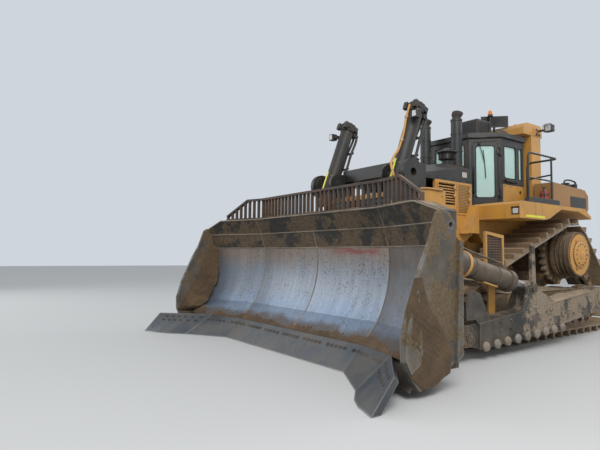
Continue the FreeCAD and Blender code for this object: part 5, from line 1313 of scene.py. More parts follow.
@dataclass
class Blade:
    """Blade details on the curved face, the bolted edge, the end bits and the side plates.

    Attributes:
        radius: Radius of the curved face.
        centre_y: Place of the curve's centre.
        centre_z: Height of the curve's centre.
        flat_top: Height under which the face is flat, at 45 degrees.
        wing_x: Where the wings begin.
        wing_end: Where the wings end.
        wing_angle: Angle of the wings in degrees.
    """

    radius: float = 1.48
    centre_y: float = -6.96
    centre_z: float = 1.485
    flat_top: float = 0.64
    top: float = 2.33
    wing_x: float = 1.74
    wing_end: float = 3.14
    wing_angle: float = 17.6
    edge_top: float = 0.36
    seams: tuple[float, ...] = (2.03, 1.74)
    side_thick: float = 0.06
    edge_sections: tuple[tuple[float, float, float], ...] = (
        (1.74, 0.0, 0.0), (2.51, 0.0, 0.25), (2.775, 0.181, 0.427), (3.0, 0.335, 0.505), (3.33, 0.561, 0.531),
    )

    def face(self, x: Array, z: Array, proud: Array | float = 0.0) -> Array:
        """Points on the face: the section's curve at a height, brought forward along the wings.

        Args:
            x: Places across the blade.
            z: Heights.
            proud: How far the points stand out of the face.

        Returns:
            Points (x, y, z).
        """
        x, z = np.broadcast_arrays(np.asarray(x, float), np.asarray(z, float))
        low = self.centre_y + math.sqrt(self.radius**2 - (self.flat_top - self.centre_z) ** 2)
        bow = self.centre_y + np.sqrt(np.maximum(self.radius**2 - (z - self.centre_z) ** 2, 0))
        knots = np.array([self.seams[1], self.seams[0], self.top])
        chords = np.interp(z, knots, self.centre_y + np.sqrt(self.radius**2 - (knots - self.centre_z) ** 2))
        bow = np.where(z > knots[0], chords, bow)
        on_curve = z > self.flat_top
        y = np.where(on_curve, bow, low - (self.flat_top - z))
        ny = np.where(on_curve, (self.centre_y - y) / self.radius, -math.sqrt(0.5))
        nz = np.where(on_curve, (self.centre_z - z) / self.radius, math.sqrt(0.5))
        forward = np.maximum(0, np.abs(x) - self.wing_x) * math.tan(math.radians(self.wing_angle))
        return np.stack([x, y - forward + ny * proud, z + nz * proud], axis=-1)

    def edge_face(self, x: Array, z: Array) -> Array:
        """Points on the bolted edge and the end bits: the face's line, brought forward as the sections say."""
        sections = np.array(self.edge_sections).T
        share = z / self.edge_top
        ahead = np.interp(np.abs(x), sections[0], sections[1]) * share + np.interp(np.abs(x), sections[0], sections[2]) * (1 - share)
        return self.face(x, z) - ahead[..., None] * (0.0, 1.0, 0.0)

    def top_line(self, x: Array) -> Array:
        """Height of the blade's top, which falls towards the wings' ends."""
        return np.interp(np.abs(x), [2.69, self.wing_end], [self.top, 2.171])

    def build(self) -> None:
        """Makes all blade details."""
        self.seam_welds()
        self.earth_band()
        self.top_earth()
        self.edge_bolts()
        self.end_bit_bolts()
        self.side_mud()
        self.heap()
        self.rear_bolts()

    def seam_welds(self) -> None:
        """Weld beads along the plates' seams: half-round strings that follow the face."""
        x = np.unique(np.concatenate([np.linspace(-self.wing_end, self.wing_end, 90), [-self.wing_x, self.wing_x]]))
        beads = [pipe(self.face(x, np.full_like(x, z), 0.001), 0.012, 8) for z in self.seams]
        beads.append(pipe(self.face(x, self.top_line(x) - 0.012, 0.001), 0.012, 8))
        for place, high in ((-self.wing_x, self.top), (self.wing_x, self.top), (0.0, self.seams[0])):
            z = np.linspace(self.edge_top + 0.02, high - 0.01, 60)
            beads.append(pipe(self.face(np.full_like(z, place), z, 0.0), 0.01, 8))
        Piece("blade_seam_welds", joined(beads), WELD, Body.BLADE, Slot.BLADE_STEEL).place()

    def earth_band(self) -> None:
        """Earth that sticks above the bolted edge, with a jagged upper line."""
        x = np.linspace(-3.05, 3.05, 420)
        share = np.linspace(0, 1, 14)
        line = np.stack([x, 0 * x, 0 * x], axis=1)
        reach = 0.075 + 0.05 * ripple(line, 0.9, 11) + 0.03 * ripple(line, 0.16, 12)
        reach = np.clip(reach, 0.015, 0.3) + 0.12 * np.exp(-(((np.abs(x) - 3.05) / 0.22) ** 2))
        z = self.edge_top - 0.02 + share[None] * reach[:, None]
        xx = np.repeat(x[:, None], len(share), axis=1)
        base = self.face(xx, z, -0.003)
        lumps = 0.6 + 0.4 * ripple(base.reshape(-1, 3), 0.07, 13).reshape(z.shape)
        proud = np.sin(math.pi * share)[None] ** 0.7 * (0.012 + 0.1 * reach[:, None]) * np.clip(lumps, 0.1, 1.4)
        crust = shell(self.face(xx, z, proud), base)
        Piece("blade_earth_band", crust, EARTH, Body.BLADE, Slot.BLADE_STEEL, sharp=80).place()

    def top_earth(self) -> None:
        """Loose earth on the ledge in front of the spill guard, thicker towards the right wing."""
        x = np.linspace(-2.62, 2.62, 360)
        share = np.linspace(0, 1, 9)
        xx = np.repeat(x[:, None], len(share), axis=1)
        base = self.face(xx, np.full_like(xx, self.top))
        base[..., 1] += 0.012 + 0.115 * share
        base[..., 2] -= 0.004
        spots = base.reshape(-1, 3)
        wave = np.clip(0.45 + 0.5 * ripple(spots, 0.5, 51).reshape(xx.shape) + 0.25 * ripple(spots, 0.09, 52).reshape(xx.shape), 0.06, 1.3)
        ends = np.clip((2.62 - np.abs(x)) * 6, 0, 1)[:, None]
        rise = np.sin(math.pi * share)[None] ** 0.6 * ends * wave * np.interp(x, [-2.6, -1.5, 0.5, 2.6], [0.055, 0.06, 0.035, 0.03])[:, None]
        crust = shell(base + np.stack([0 * rise, 0 * rise, rise + 0.004], axis=-1), base)
        Piece("blade_top_earth", crust, EARTH, Body.BLADE, Slot.BLADE_STEEL, sharp=80).place()

    def socket(self, long: float, high: float) -> Shape:
        """Sunk head of an edge bolt: a low rim round an oval hollow, standing along +Z."""
        profile = [(1.0, -0.004), (1.0, 0.0022), (0.8, 0.003), (0.66, 0.0008), (0.02, 0.0008)]
        round_one = revolved(profile, (0, 0, 0), (0, 0, 1), 18)
        return Shape(round_one.points * (high, long, 1), round_one.faces)

    def edge_bolts(self) -> None:
        """Groups of sunk bolt heads along the upper half of the bolted edge."""
        x = np.arange(-2.45, 2.46, 0.098)
        group = (np.arange(len(x)) % 6) != 5
        x = x[group]
        wing = np.abs(x) > self.wing_x
        for name, chosen in (("middle", ~wing), ("left", wing & (x > 0)), ("right", wing & (x < 0))):
            turn = np.sign(x[chosen][0]) * math.radians(self.wing_angle) if name != "middle" else 0.0
            normal = np.array([0, -math.sqrt(0.5), math.sqrt(0.5)])
            spin = np.array([[math.cos(turn), math.sin(turn), 0], [-math.sin(turn), math.cos(turn), 0], [0, 0, 1]])
            turned = basis(spin @ normal)
            places = self.edge_face(x[chosen], np.full(chosen.sum(), 0.262))
            heads = self.socket(0.031, 0.041).copies(places, np.repeat(turned[None], len(places), axis=0))
            Piece(f"edge_bolts_{name}", heads, SOCKET, Body.BLADE, Slot.EDGE).place()

    def end_bit_bolts(self) -> None:
        """Rows of paired slots on the end bits; each follows the twisted face at its own place."""
        x, z = np.meshgrid(np.array([2.62, 2.74, 2.86, 2.96, 3.06, 3.16]), np.array([0.30, 0.235]), indexing="ij")
        x, z = x.ravel(), z.ravel()
        spots = self.edge_face(x, z)
        across = self.edge_face(x + 0.01, z) - spots
        normals = np.cross(across, self.edge_face(x, z + 0.01) - spots)
        turns = np.stack([basis(normal * -np.sign(normal[1])) for normal in normals])
        heads = self.socket(0.024, 0.042).copies(spots, turns)
        Piece("end_bit_bolts", heads.both(), SOCKET, Body.BLADE, Slot.EDGE).place()

    def crust_on_side(self, side: int, x: float, out: float, y: Array, z: Array, thick: Array) -> Shape:
        """Lumpy crust on a side plate: a grid in its plane, moved out by the thickness.

        Args:
            side: 1 for the left plate and -1 for the right one.
            x: Distance of the plate's face from the middle.
            out: 1 where the crust lies on the outer face, -1 on the inner one.
            y: Grid of places.
            z: Grid of heights.
            thick: Thickness at each point of the grid.

        Returns:
            The crust.
        """
        base = np.stack([np.full_like(y, x - out * 0.004), y, z], axis=-1)
        top = base + np.stack([out * (thick + 0.004), 0 * y, 0 * y], axis=-1)
        crust = shell(top, base) if out > 0 else shell(base, top)
        return crust.on(side)

    def side_mud(self) -> None:
        """Caked mud on the outer foot of both side plates and in the lower corners behind them."""
        v = np.linspace(0, 1, 70)
        h = np.linspace(0, 1, 60)
        vv, hh = np.meshgrid(v, h, indexing="ij")
        front = np.interp(vv, [0, 0.12, 0.35, 0.75, 1], [-6.50, -6.70, -6.78, -6.74, -6.62])
        rear = np.interp(vv, [0, 0.1, 0.3, 0.5, 0.75, 1], [-6.33, -5.99, -5.98, -6.12, -6.38, -6.5])
        y = front + (rear - front) * hh
        z = 0.11 + vv * 1.25
        spots = np.stack([0 * y, y, z], axis=-1).reshape(-1, 3)
        rim = (np.sin(math.pi * hh) * np.sin(math.pi * np.clip(vv, 0.02, 0.98))) ** 0.35
        wave = 0.6 + 0.5 * ripple(spots, 0.55, 21).reshape(y.shape)
        fine = ripple(spots, 0.1, 22).reshape(y.shape)
        thick = rim * np.clip(0.052 * wave + 0.008 * fine, 0.002, 0.075)
        outer = self.wing_end + self.side_thick
        Piece("side_plate_mud_left", self.crust_on_side(1, outer, 1, y, z, thick), EARTH, Body.BLADE, Slot.BLADE_BLACK, sharp=80).place()
        Piece("side_plate_mud_right", self.crust_on_side(-1, outer, 1, y, z * 0.8, thick * 0.8), EARTH, Body.BLADE, Slot.BLADE_BLACK, sharp=80).place()

    def heap(self) -> None:
        """Earth heaped on the inner face of the right side plate and the wing beside it."""
        v = np.linspace(0, 1, 90)
        h = np.linspace(0, 1, 60)
        vv, hh = np.meshgrid(v, h, indexing="ij")
        z = 0.42 + vv * 1.42
        wing = self.face(np.full_like(z, self.wing_end), z)[..., 1]
        reach = np.interp(vv, [0, 0.2, 0.45, 0.75, 1], [0.42, 0.5, 0.42, 0.34, 0.1])
        y = wing + 0.03 - hh * reach
        spots = np.stack([0 * y, y, z], axis=-1).reshape(-1, 3)
        fade = np.clip(1 - hh, 0, 1) ** 0.6 * np.interp(vv, [0, 0.06, 0.5, 0.9, 1], [0.35, 1.0, 0.8, 0.45, 0.0])
        thick = np.clip(fade * (0.2 + 0.05 * ripple(spots, 0.4, 31).reshape(y.shape)), 0.001, 0.4)
        thick += np.where(hh < 0.99, 0.016 * fade * ripple(spots, 0.07, 32).reshape(y.shape), 0)
        Piece("blade_corner_heap", self.crust_on_side(-1, self.wing_end, -1, y, z, np.maximum(thick, 0.001)), EARTH, Body.BLADE,
              Slot.BLADE_BLACK, sharp=80).place()
        small = self.crust_on_side(1, self.wing_end, -1, y, 0.42 + vv * 0.5, np.maximum(thick * 0.5, 0.001))
        Piece("blade_corner_heap_left", small, EARTH, Body.BLADE, Slot.BLADE_BLACK, sharp=80).place()

    def rear_bolts(self) -> None:
        """Nuts of the edge bolts behind the lip, and keeper plates at the blade's pins."""
        x = np.arange(-2.45, 2.46, 0.098)
        x = x[(np.arange(len(x)) % 6) != 5]
        middle = np.abs(x) < self.wing_x
        places = self.face(x[middle], np.full(middle.sum(), 0.262), -0.0455)
        nuts = bolt_row(places, (0, math.sqrt(0.5), -math.sqrt(0.5)), 0.017, 0.02)
        keeper = plate([(-0.05, -0.05), (0.05, -0.05), (0.05, 0.05), (-0.05, 0.05)], "x", 0.0, 0.014)
        keeper += bolt_row([(0.014, -0.028, 0.0), (0.014, 0.028, 0.0)], (1, 0, 0), 0.011, 0.012)
        keepers = keeper.copies([(2.398, -4.45, 0.4), (2.375, -5.12, 1.65), (1.118, -5.25, 0.88)])
        Piece("blade_rear_bolts", nuts + keepers.both(), IRON, Body.BLADE, Slot.BLADE_BLACK).place()


# Arms and cylinders

@dataclass
class PushArms:
    """Details of the push arms: trunnion caps, wear knobs, earth and grease lines."""

    middle: float = 2.2
    half: float = 0.145
    trunnion_z: float = 0.78
    knob_first: float = -4.0
    knob_z: float = 0.211

    def build(self) -> None:
        """Makes both arms' details."""
        self.trunnion_caps()
        self.earth()
        self.bracket_bolts()
        self.knob_caps()

    def knob_caps(self) -> None:
        """Worn round lumps on the knobs along the arm's lower edge."""
        y = self.knob_first + np.arange(9) * 0.3
        z = self.knob_z + np.arange(9) * 0.015
        lump = revolved([(0.072, -0.02), (0.078, 0.006), (0.066, 0.03), (0.035, 0.044), (0.001, 0.048)], (0, 0, 0), (1, 0, 0), 20)
        lumps = lump.copies(np.stack([np.full(9, self.middle + self.half + 0.022), y, z], axis=1))
        Piece("arm_knob_caps", lumps.both(), KNOB_METAL, Body.ARMS, Slot.BLADE_BLACK).place()

    def trunnion_caps(self) -> None:
        """Bolted cap over the pivot at the rear end of the arm."""
        x = self.middle + self.half
        low, high = node_box("push_arm_left")
        cap = revolved([(0.205, -0.004), (0.205, 0.012), (0.13, 0.018), (0.12, 0.028), (0.001, 0.028)],
                       (x, 0.0, self.trunnion_z), (1, 0, 0), 40)
        bolts = bolt_ring((x + 0.013, 0.0, self.trunnion_z), (1, 0, 0), 0.17, 12, 0.016, 0.016)
        Piece("arm_trunnion_caps", (cap + bolts).both(), ARM_COAT, Body.TRACTOR, Slot.DIRTY, bevel=0.003).place()

    def earth(self) -> None:
        """Dry earth on the arm's rear top, a heap on a grid that thins towards its edges."""
        y = np.linspace(-2.2, -0.35, 110)
        across = np.linspace(-1, 1, 13)
        yy, aa = np.meshgrid(y, across, indexing="ij")
        top = np.interp(y, [-2.70, 0.06], [0.715, 0.98])[:, None] + 0 * aa
        x = self.middle + aa * (self.half + 0.012)
        base = np.stack([x, yy, top - 0.006], axis=-1)
        spots = base.reshape(-1, 3)
        wave = np.clip(0.5 + 0.5 * ripple(spots, 0.6, 41).reshape(x.shape), 0, 1)
        ends = np.clip(np.minimum(y - y[0], y[-1] - y) * 5, 0, 1)[:, None]
        rise = np.sqrt(np.clip(1 - aa**2, 0, 1)) * ends * (0.02 + 0.07 * wave + 0.01 * ripple(spots, 0.08, 42).reshape(x.shape))
        crust = shell(base + np.stack([0 * x, 0 * x, rise + 0.006], axis=-1), base)
        Piece("arm_top_earth", crust.both(), PALE_EARTH, Body.ARMS, Slot.BLADE_BLACK, sharp=80).place()

    def bracket_bolts(self) -> None:
        """Keeper of the tilt pin and bolts on the arm's outer face."""
        x = self.middle + self.half
        places = [(x, y, z) for y in (-3.55, -3.25, -1.1, -0.75) for z in (0.42, 0.56)]
        bolts = bolt_row(places, (1, 0, 0), 0.02, 0.022)
        pin = revolved([(0.075, 0.0), (0.075, 0.022), (0.05, 0.03), (0.001, 0.03)], (2.37, -2.55, 1.08), (1, 0, 0), 24)
        Piece("arm_bolts", (bolts + pin).both(), IRON, Body.ARMS, Slot.BLADE_BLACK).place()


@dataclass
class LiftCylinder:
    """One lift cylinder's head, bolts, lamp, tube and hoses.

    Attributes:
        side: 1 for the left cylinder and -1 for the right one.
        pivot: Its pivot on the crossbar.
        eye: Its eye on the blade.
        above: From the pivot up to the head.
        below: From the pivot down to the gland.
        radius: Radius of the barrel.
        head: Radius of the head.
    """

    side: int
    pivot: tuple[float, float, float] = (0.94, -4.42, 3.05)
    eye: tuple[float, float, float] = (0.94, -5.25, 0.88)
    above: float = 1.43
    below: float = 0.5
    radius: float = 0.135
    head: float = 0.155

    def at(self, along: float, out: float = 0.0, ahead: float = 0.0) -> Array:
        """Point by its distance up the axis, to the outside and forwards."""
        up = np.array(self.pivot) - self.eye
        up /= np.linalg.norm(up)
        front = np.array([0.0, -up[2], up[1]])
        return np.array(self.pivot) + up * along + np.array([1.0, 0, 0]) * out + front * ahead

    def build(self) -> None:
        """Makes the cylinder's details."""
        body = Body.LIFT_LEFT if self.side > 0 else Body.LIFT_RIGHT
        name = "left" if self.side > 0 else "right"
        up = self.at(1.0) - self.at(0.0)
        top = self.at(self.above)
        cap = revolved([(self.head - 0.03, 0.0), (self.head - 0.03, 0.02), (0.09, 0.028), (0.085, 0.05), (0.05, 0.058), (0.001, 0.058)],
                       top, up, 32)
        bolts = bolt_ring(top + up * 0.001, up, self.head - 0.028, 10, 0.017, 0.022)
        gland = bolt_ring(self.at(-self.below), -up, self.radius - 0.02, 12, 0.013, 0.018)
        for height in (self.above - 0.15, 0.17, -0.17):
            cap += revolved([(self.radius - 0.002, -0.012), (self.radius + 0.016, -0.008), (self.radius + 0.016, 0.008), (self.radius - 0.002, 0.012)],
                            self.at(height), up, 36, True)
        lug = plate([(-0.075, 0.0), (0.075, 0.0), (0.06, 0.11), (0.02, 0.15), (-0.02, 0.15), (-0.06, 0.11)], "x", -0.02, 0.02)
        turn = np.stack([[1, 0, 0], (self.at(0, 0, -1) - self.at(0)), up], axis=1)
        lugs = lug.copies([self.at(self.above - 0.17, x, -self.head + 0.0) for x in (-0.07, 0.07)], np.repeat(turn[None], 2, axis=0))
        block_low = self.port_block(self.above - 0.12)
        sides = [block((-0.155, -0.155, -0.05), (-0.128, 0.15, 0.05)), block((0.128, -0.155, -0.05), (0.155, 0.15, 0.05)),
                 block((-0.128, -0.155, -0.05), (0.128, -0.13, 0.05)), block((-0.128, 0.13, -0.05), (0.128, 0.15, 0.05))]
        square = joined(sides).copies([self.at(self.above - 0.065)], self.turn()[None])
        ears = [block((0.11 * s - 0.04, -0.195, -0.07), (0.11 * s + 0.04, -0.12, 0.07)).copies([self.at(self.above - 0.08)], self.turn()[None])
                for s in (-1, 1)]
        Piece(f"lift_head_{name}", (cap + lugs + block_low + square + joined(ears)).on(self.side), LIFT_COAT, body, Slot.BLACK, bevel=0.004).place()
        Piece(f"lift_bolts_{name}", (bolts + gland).on(self.side), IRON, body, Slot.BLACK).place()
        self.hoses(name, body)
        self.lamp(name, body)

    def port_block(self, along: float) -> Shape:
        """Square block behind the barrel where the hoses start."""
        up = self.at(1.0) - self.at(0.0)
        turn = np.stack([[1, 0, 0], (self.at(0, 0, -1) - self.at(0)), up], axis=1)
        body = block((-0.085, 0.0, -0.065), (0.085, 0.085, 0.065))
        return body.copies([self.at(along, 0.0, -self.radius - 0.0)], turn[None])

    def hoses(self, name: str, body: Body) -> None:
        """Two hoses that arch down behind the barrel, with fittings, and the tube in front."""
        tops = (-0.045, 0.045)
        routes = [
            [self.at(self.above - 0.12, x, -0.20), self.at(self.above - 0.14, x, -0.245), self.at(self.above - 0.28, x * 1.3, -0.255),
             self.at(0.85, x * 1.5, -0.225), self.at(0.55, x * 1.6, -0.225), self.at(0.35, x * 1.7, -0.21), self.at(0.24, x * 1.7, -0.15)]
            for x in tops
        ]
        runs = [pipe(flowing(route, 9), 0.026, 12) for route in routes]
        fittings = [
            revolved([(0.038, 0), (0.038, 0.06), (0.03, 0.075)], route[0], route[1] - route[0], 6) for route in routes
        ] + [revolved([(0.036, 0), (0.036, 0.07)], route[-1], route[-2] - route[-1], 6) for route in routes]
        Piece(f"lift_hoses_{name}", joined(runs).on(self.side), RUBBER, body, Slot.BLACK).place()
        Piece(f"lift_fittings_{name}", joined(fittings).on(self.side), IRON, body, Slot.BLACK).place()
        straps = [block((-0.11, -0.02, -0.022), (0.11, 0.0, 0.022)).copies([self.at(along, 0.0, -away)], self.turn()[None])
                  for along, away in ((0.88, 0.255), (0.5, 0.25))]
        straps += [pipe([self.at(along, x, -self.radius + 0.01), self.at(along, x, -away)], 0.012, 8)
                   for along, away in ((0.88, 0.25), (0.5, 0.245)) for x in (0.0,)]
        Piece(f"lift_hose_clips_{name}", joined(straps).on(self.side), IRON, body, Slot.BLACK).place()
        strip = block((-0.02, -0.004, -0.24), (0.02, 0.0, 0.24)).copies([self.at(0.0, 0.0, self.radius + 0.022)], self.turn()[None])
        Piece(f"lift_stripe_{name}", strip.on(self.side), STRIPE, body, Slot.BLACK).place()
        if self.side > 0:
            tube = [self.at(1.36, -0.02, 0.165), self.at(1.1, -0.02, 0.162), self.at(0.75, 0.02, 0.16), self.at(0.42, 0.02, 0.17),
                    self.at(0.22, 0.04, 0.25), self.at(0.05, 0.07, 0.29), self.at(-0.12, 0.15, 0.27), self.at(-0.24, 0.17, 0.2)]
            clips = [revolved([(0.034, -0.02), (0.034, 0.02)], self.at(along, out, 0.16), up_of(self), 10)
                     for along, out in ((1.1, -0.02), (0.6, 0.02))]
            Piece("lift_tube", pipe(flowing(tube, 12), 0.021, 12) + joined(clips), YELLOW, body, Slot.BLACK).place()

    def turn(self) -> Array:
        """Matrix from block directions to the cylinder: X outwards, Y behind it, Z up its axis."""
        return np.stack([[1, 0, 0], self.at(0, 0, -1) - self.at(0), up_of(self)], axis=1)

    def lamp(self, name: str, body: Body) -> None:
        """Lens and bezel of the work lamp on the barrel's front."""
        low, high = self.lamp_box()
        middle = (low + high) / 2
        half_x, half_z = (high[0] - low[0]) / 2, (high[2] - low[2]) / 2
        rim = frame_ring(half_x - 0.002, half_z - 0.002, 0.016).copies([(middle[0], low[1] - 0.006, middle[2])])
        pane = block((low[0] + 0.016, low[1] - 0.008, low[2] + 0.016), (high[0] - 0.016, low[1] - 0.002, high[2] - 0.016))
        fins = [block((low[0] + 0.004, high[1], z), (high[0] - 0.004, high[1] + 0.02, z + 0.007)) for z in np.linspace(low[2] + 0.01, high[2] - 0.02, 7)]
        Piece(f"lift_lamp_rim_{name}", (rim + joined(fins)).on(self.side), LAMP_COAT, body, Slot.BLACK, bevel=0.002).place()
        Piece(f"lift_lamp_lens_{name}", pane.on(self.side), LENS, body, Slot.BLACK).place()

    def lamp_box(self) -> tuple[Array, Array]:
        """Corners of the lamp on the left cylinder, from the barrel's own sizes."""
        down = np.array(self.eye) - self.pivot
        down /= np.linalg.norm(down)
        place = self.at(self.above) + down * 0.33 + (self.radius + 0.02, -0.15, 0.06)
        return place + (0, -0.06, -0.065), place + (0.11, 0.06, 0.065)


def up_of(cylinder: LiftCylinder) -> Array:
    """Direction up a lift cylinder."""
    return cylinder.at(1.0) - cylinder.at(0.0)


def frame_ring(half_x: float, half_z: float, width: float, deep: float = 0.012) -> Shape:
    """Rectangular frame in the XZ plane: an outer outline swept as a closed path."""
    corners = np.array([(-half_x, 0, -half_z), (half_x, 0, -half_z), (half_x, 0, half_z), (-half_x, 0, half_z)], float)
    inner = corners * (1 - width / half_x, 1, 1 - width / half_z)
    rings = np.stack([corners, inner, inner + (0, deep, 0), corners + (0, deep, 0)], axis=1)
    return lofted(rings, closed=True)


@dataclass
class TiltCylinder:
    """One tilt cylinder's bolts, pipe, clamps and hoses."""

    side: int
    pivot: tuple[float, float, float] = (2.2, -5.12, 1.65)
    eye: tuple[float, float, float] = (2.2, -2.55, 1.08)
    long: float = 2.08
    radius: float = 0.165
    collar: float = 0.205

    def at(self, along: float, out: float = 0.0, over: float = 0.0) -> Array:
        """Point by its distance down the axis, to the outside and upwards."""
        down = np.array(self.eye) - self.pivot
        down /= np.linalg.norm(down)
        above = np.array([0.0, -down[2], down[1]])
        return np.array(self.pivot) + down * along + np.array([1.0, 0, 0]) * out + above * over

    def build(self) -> None:
        """Makes the cylinder's details."""
        body = Body.TILT_LEFT if self.side > 0 else Body.TILT_RIGHT
        name = "left" if self.side > 0 else "right"
        down = self.at(1.0) - self.at(0.0)
        bolts = bolt_ring(self.at(self.long), down, self.radius - 0.012, 12, 0.015, 0.02)
        bolts += bolt_ring(self.at(0.22), -down, self.collar - 0.03, 12, 0.016, 0.02)
        bands = [
            revolved([(self.radius - 0.002, -0.02), (self.radius + 0.012, -0.02), (self.radius + 0.012, 0.02), (self.radius - 0.002, 0.02)],
                     self.at(along), down, 36, True)
            for along in (0.98, 1.62)
        ]
        ports = [block((-0.06, -0.06, 0.0), (0.06, 0.06, 0.07)).copies([self.at(along, 0.0, r - 0.01)], self.turn()[None])
                 for along, r in ((0.5, self.collar), (1.86, self.radius))]
        tube = bent([self.at(0.5, 0.0, 0.24), self.at(0.5, 0.0, 0.29), self.at(0.9, 0.0, 0.25), self.at(1.86, 0.0, 0.25), self.at(1.86, 0.0, 0.22)], 0.05)
        under = bent([self.at(0.35, -0.1, -0.18), self.at(0.35, -0.12, -0.24), self.at(0.95, -0.12, -0.21), self.at(1.5, -0.1, -0.19)], 0.08)
        dark = joined(bands) + joined(ports) + pipe(tube, 0.017, 10) + pipe(under, 0.022, 10)
        Piece(f"tilt_fittings_{name}", dark.on(self.side), BARREL_COAT, body, Slot.BLADE_BLACK, bevel=0.003).place()
        Piece(f"tilt_bolts_{name}", bolts.on(self.side), IRON, body, Slot.BLADE_BLACK).place()
        ring = revolved([(self.radius - 0.002, -0.03), (0.212, -0.03), (0.22, -0.02), (0.22, 0.02), (0.212, 0.03), (self.radius - 0.002, 0.03)],
                        self.at(0.74), down, 40, True)
        ring += bolt_ring(self.at(0.77), down, 0.194, 12, 0.013, 0.014)
        saddle = block((-0.035, -0.19, -0.014), (0.035, 0.19, 0.014)).copies([self.at(1.48, 0.05, -self.radius - 0.006)], self.turn()[None])
        Piece(f"tilt_ring_{name}", (ring + saddle).on(self.side), YELLOW, body, Slot.BLADE_BLACK).place()
        clamp = block((-0.1, -0.018, -0.03), (0.14, 0.018, 0.0)).copies([self.at(0.44, 0.0, 0.26)], self.turn()[None])
        clamp += pipe([self.at(0.44, 0.0, self.collar - 0.02), self.at(0.44, 0.0, 0.24)], 0.014, 8)
        Piece(f"tilt_hose_clip_{name}", clamp.on(self.side), IRON, body, Slot.BLADE_BLACK).place()
        loops = []
        for index, (out, reach) in enumerate(((-0.05, 0.20), (0.02, 0.24), (0.09, 0.21))):
            route = [self.at(0.5 + 0.02 * index, out, 0.25), self.at(0.42, out, 0.27 + reach * 0.3), self.at(0.26, out * 1.3, 0.25 + reach * 0.45),
                     self.at(0.1, out * 1.2, 0.22 + reach * 0.3), self.at(0.04, out, 0.15), self.at(0.02, out, 0.09)]
            loops.append(pipe(flowing(route, 8), 0.024, 10))
        Piece(f"tilt_hoses_{name}", joined(loops).on(self.side), RUBBER, body, Slot.BLADE_BLACK).place()

    def turn(self) -> Array:
        """Matrix from block directions to the cylinder: X outwards, Y along it, Z upwards."""
        return np.stack([[1, 0, 0], self.at(1.0) - self.at(0.0), self.at(0, 0, 1) - self.at(0)], axis=1)


# Engine house

@dataclass
class Stacks:
    """Exhaust stacks: sleeve, clamp, burnt collar and a flared mouth that turns to the side."""

    x: float = 0.42
    y: float = -2.03
    low: float = 3.5
    top: float = 4.74
    radius: float = 0.117

    def build(self) -> None:
        """Replaces both plain stacks."""
        foot = self.low + 0.001
        neck = self.top - 0.17
        sleeve = [(0.15, foot), (0.15, foot + 0.03), (self.radius + 0.012, foot + 0.045), (self.radius, foot + 0.06),
                  (self.radius, neck - 0.06), (self.radius + 0.008, neck - 0.05), (self.radius + 0.008, neck - 0.01), (self.radius - 0.02, neck)]
        body = revolved(sleeve, (self.x, self.y, 0), (0, 0, 1), 40)
        hoops = [
            revolved([(self.radius - 0.002, z), (self.radius + 0.009, z), (self.radius + 0.009, z + 0.03), (self.radius - 0.002, z + 0.03)],
                     (self.x, self.y, 0), (0, 0, 1), 40, True) for z in (foot + 0.34, foot + 0.72)
        ]
        guard_bolts = bolt_ring((self.x, self.y, foot + 0.03), (0, 0, 1), 0.134, 8, 0.011, 0.014)
        Piece("stack_sleeves", (body + joined(hoops) + guard_bolts).both(), STACK_COAT, slot=Slot.STACK,
              stands_for=("exhaust_stacks",)).place()
        t = np.linspace(0, 1, 14)
        lean = -0.045 * t**2
        centre = np.stack([0 * t, -lean, neck - 0.02 + t * (self.top - neck - 0.01)], axis=1)
        grow = np.interp(t, [0, 0.3, 0.45, 0.6, 1.0], [0.09, 0.09, 0.093, 0.112, 0.118])
        slope = np.radians(-16) * t**2
        angle = np.linspace(0, 2 * math.pi, 36, endpoint=False)
        ring = np.stack([np.cos(angle), np.sin(angle)], axis=1)
        def rings(scale: float) -> Array:
            """Circles about the bent centre line, tipped more and more towards the rear."""
            x = grow[:, None] * scale * ring[None, :, 0]
            s = grow[:, None] * scale * ring[None, :, 1]
            return np.stack([x + centre[:, None, 0], s * np.cos(slope)[:, None] + centre[:, None, 1],
                             s * np.sin(slope)[:, None] + centre[:, None, 2]], axis=-1)
        mouth = lofted(np.concatenate([rings(1.0), rings(0.9)[::-1]]), closed=True)
        sides = mouth.moved(self.x, self.y) + mouth.moved(-self.x, self.y)
        Piece("stack_mouths", sides, RUSTY, slot=Slot.STACK).place()


@dataclass
class PreCleaners:
    """Air pre-cleaners: bowl with fins under a cone-shaped lid."""

    x: float = 0.5
    y: float = -2.47
    low: float = 3.5

    def build(self) -> None:
        """Replaces both plain pre-cleaners."""
        z = self.low
        stem = revolved([(0.11, z + 0.001), (0.11, z + 0.02), (0.095, z + 0.03), (0.095, z + 0.09), (0.15, z + 0.12), (0.15, z + 0.25), (0.1, z + 0.25)],
                        (self.x, self.y, 0), (0, 0, 1), 40)
        lid = revolved([(0.1, z + 0.25), (0.205, z + 0.255), (0.21, z + 0.27), (0.19, z + 0.29), (0.06, z + 0.345), (0.05, z + 0.365), (0.001, z + 0.37)],
                       (self.x, self.y, 0), (0, 0, 1), 40)
        fin = block((0.145, -0.004, z + 0.13), (0.172, 0.004, z + 0.245))
        angle = np.linspace(0, 2 * math.pi, 36, endpoint=False)
        turns = np.zeros((36, 3, 3))
        turns[:, 0, 0], turns[:, 0, 1] = np.cos(angle), -np.sin(angle)
        turns[:, 1, 0], turns[:, 1, 1] = np.sin(angle), np.cos(angle)
        turns[:, 2, 2] = 1
        fins = fin.copies(np.repeat([[self.x, self.y, 0.0]], 36, axis=0), turns)
        clamp = revolved([(0.094, z + 0.05), (0.101, z + 0.05), (0.101, z + 0.07), (0.094, z + 0.07)], (self.x, self.y, 0), (0, 0, 1), 32, True)
        Piece("pre_cleaner_bowls", (stem + lid + fins + clamp).both(), BLACK, slot=Slot.BLACK, stands_for=("precleaners",)).place()


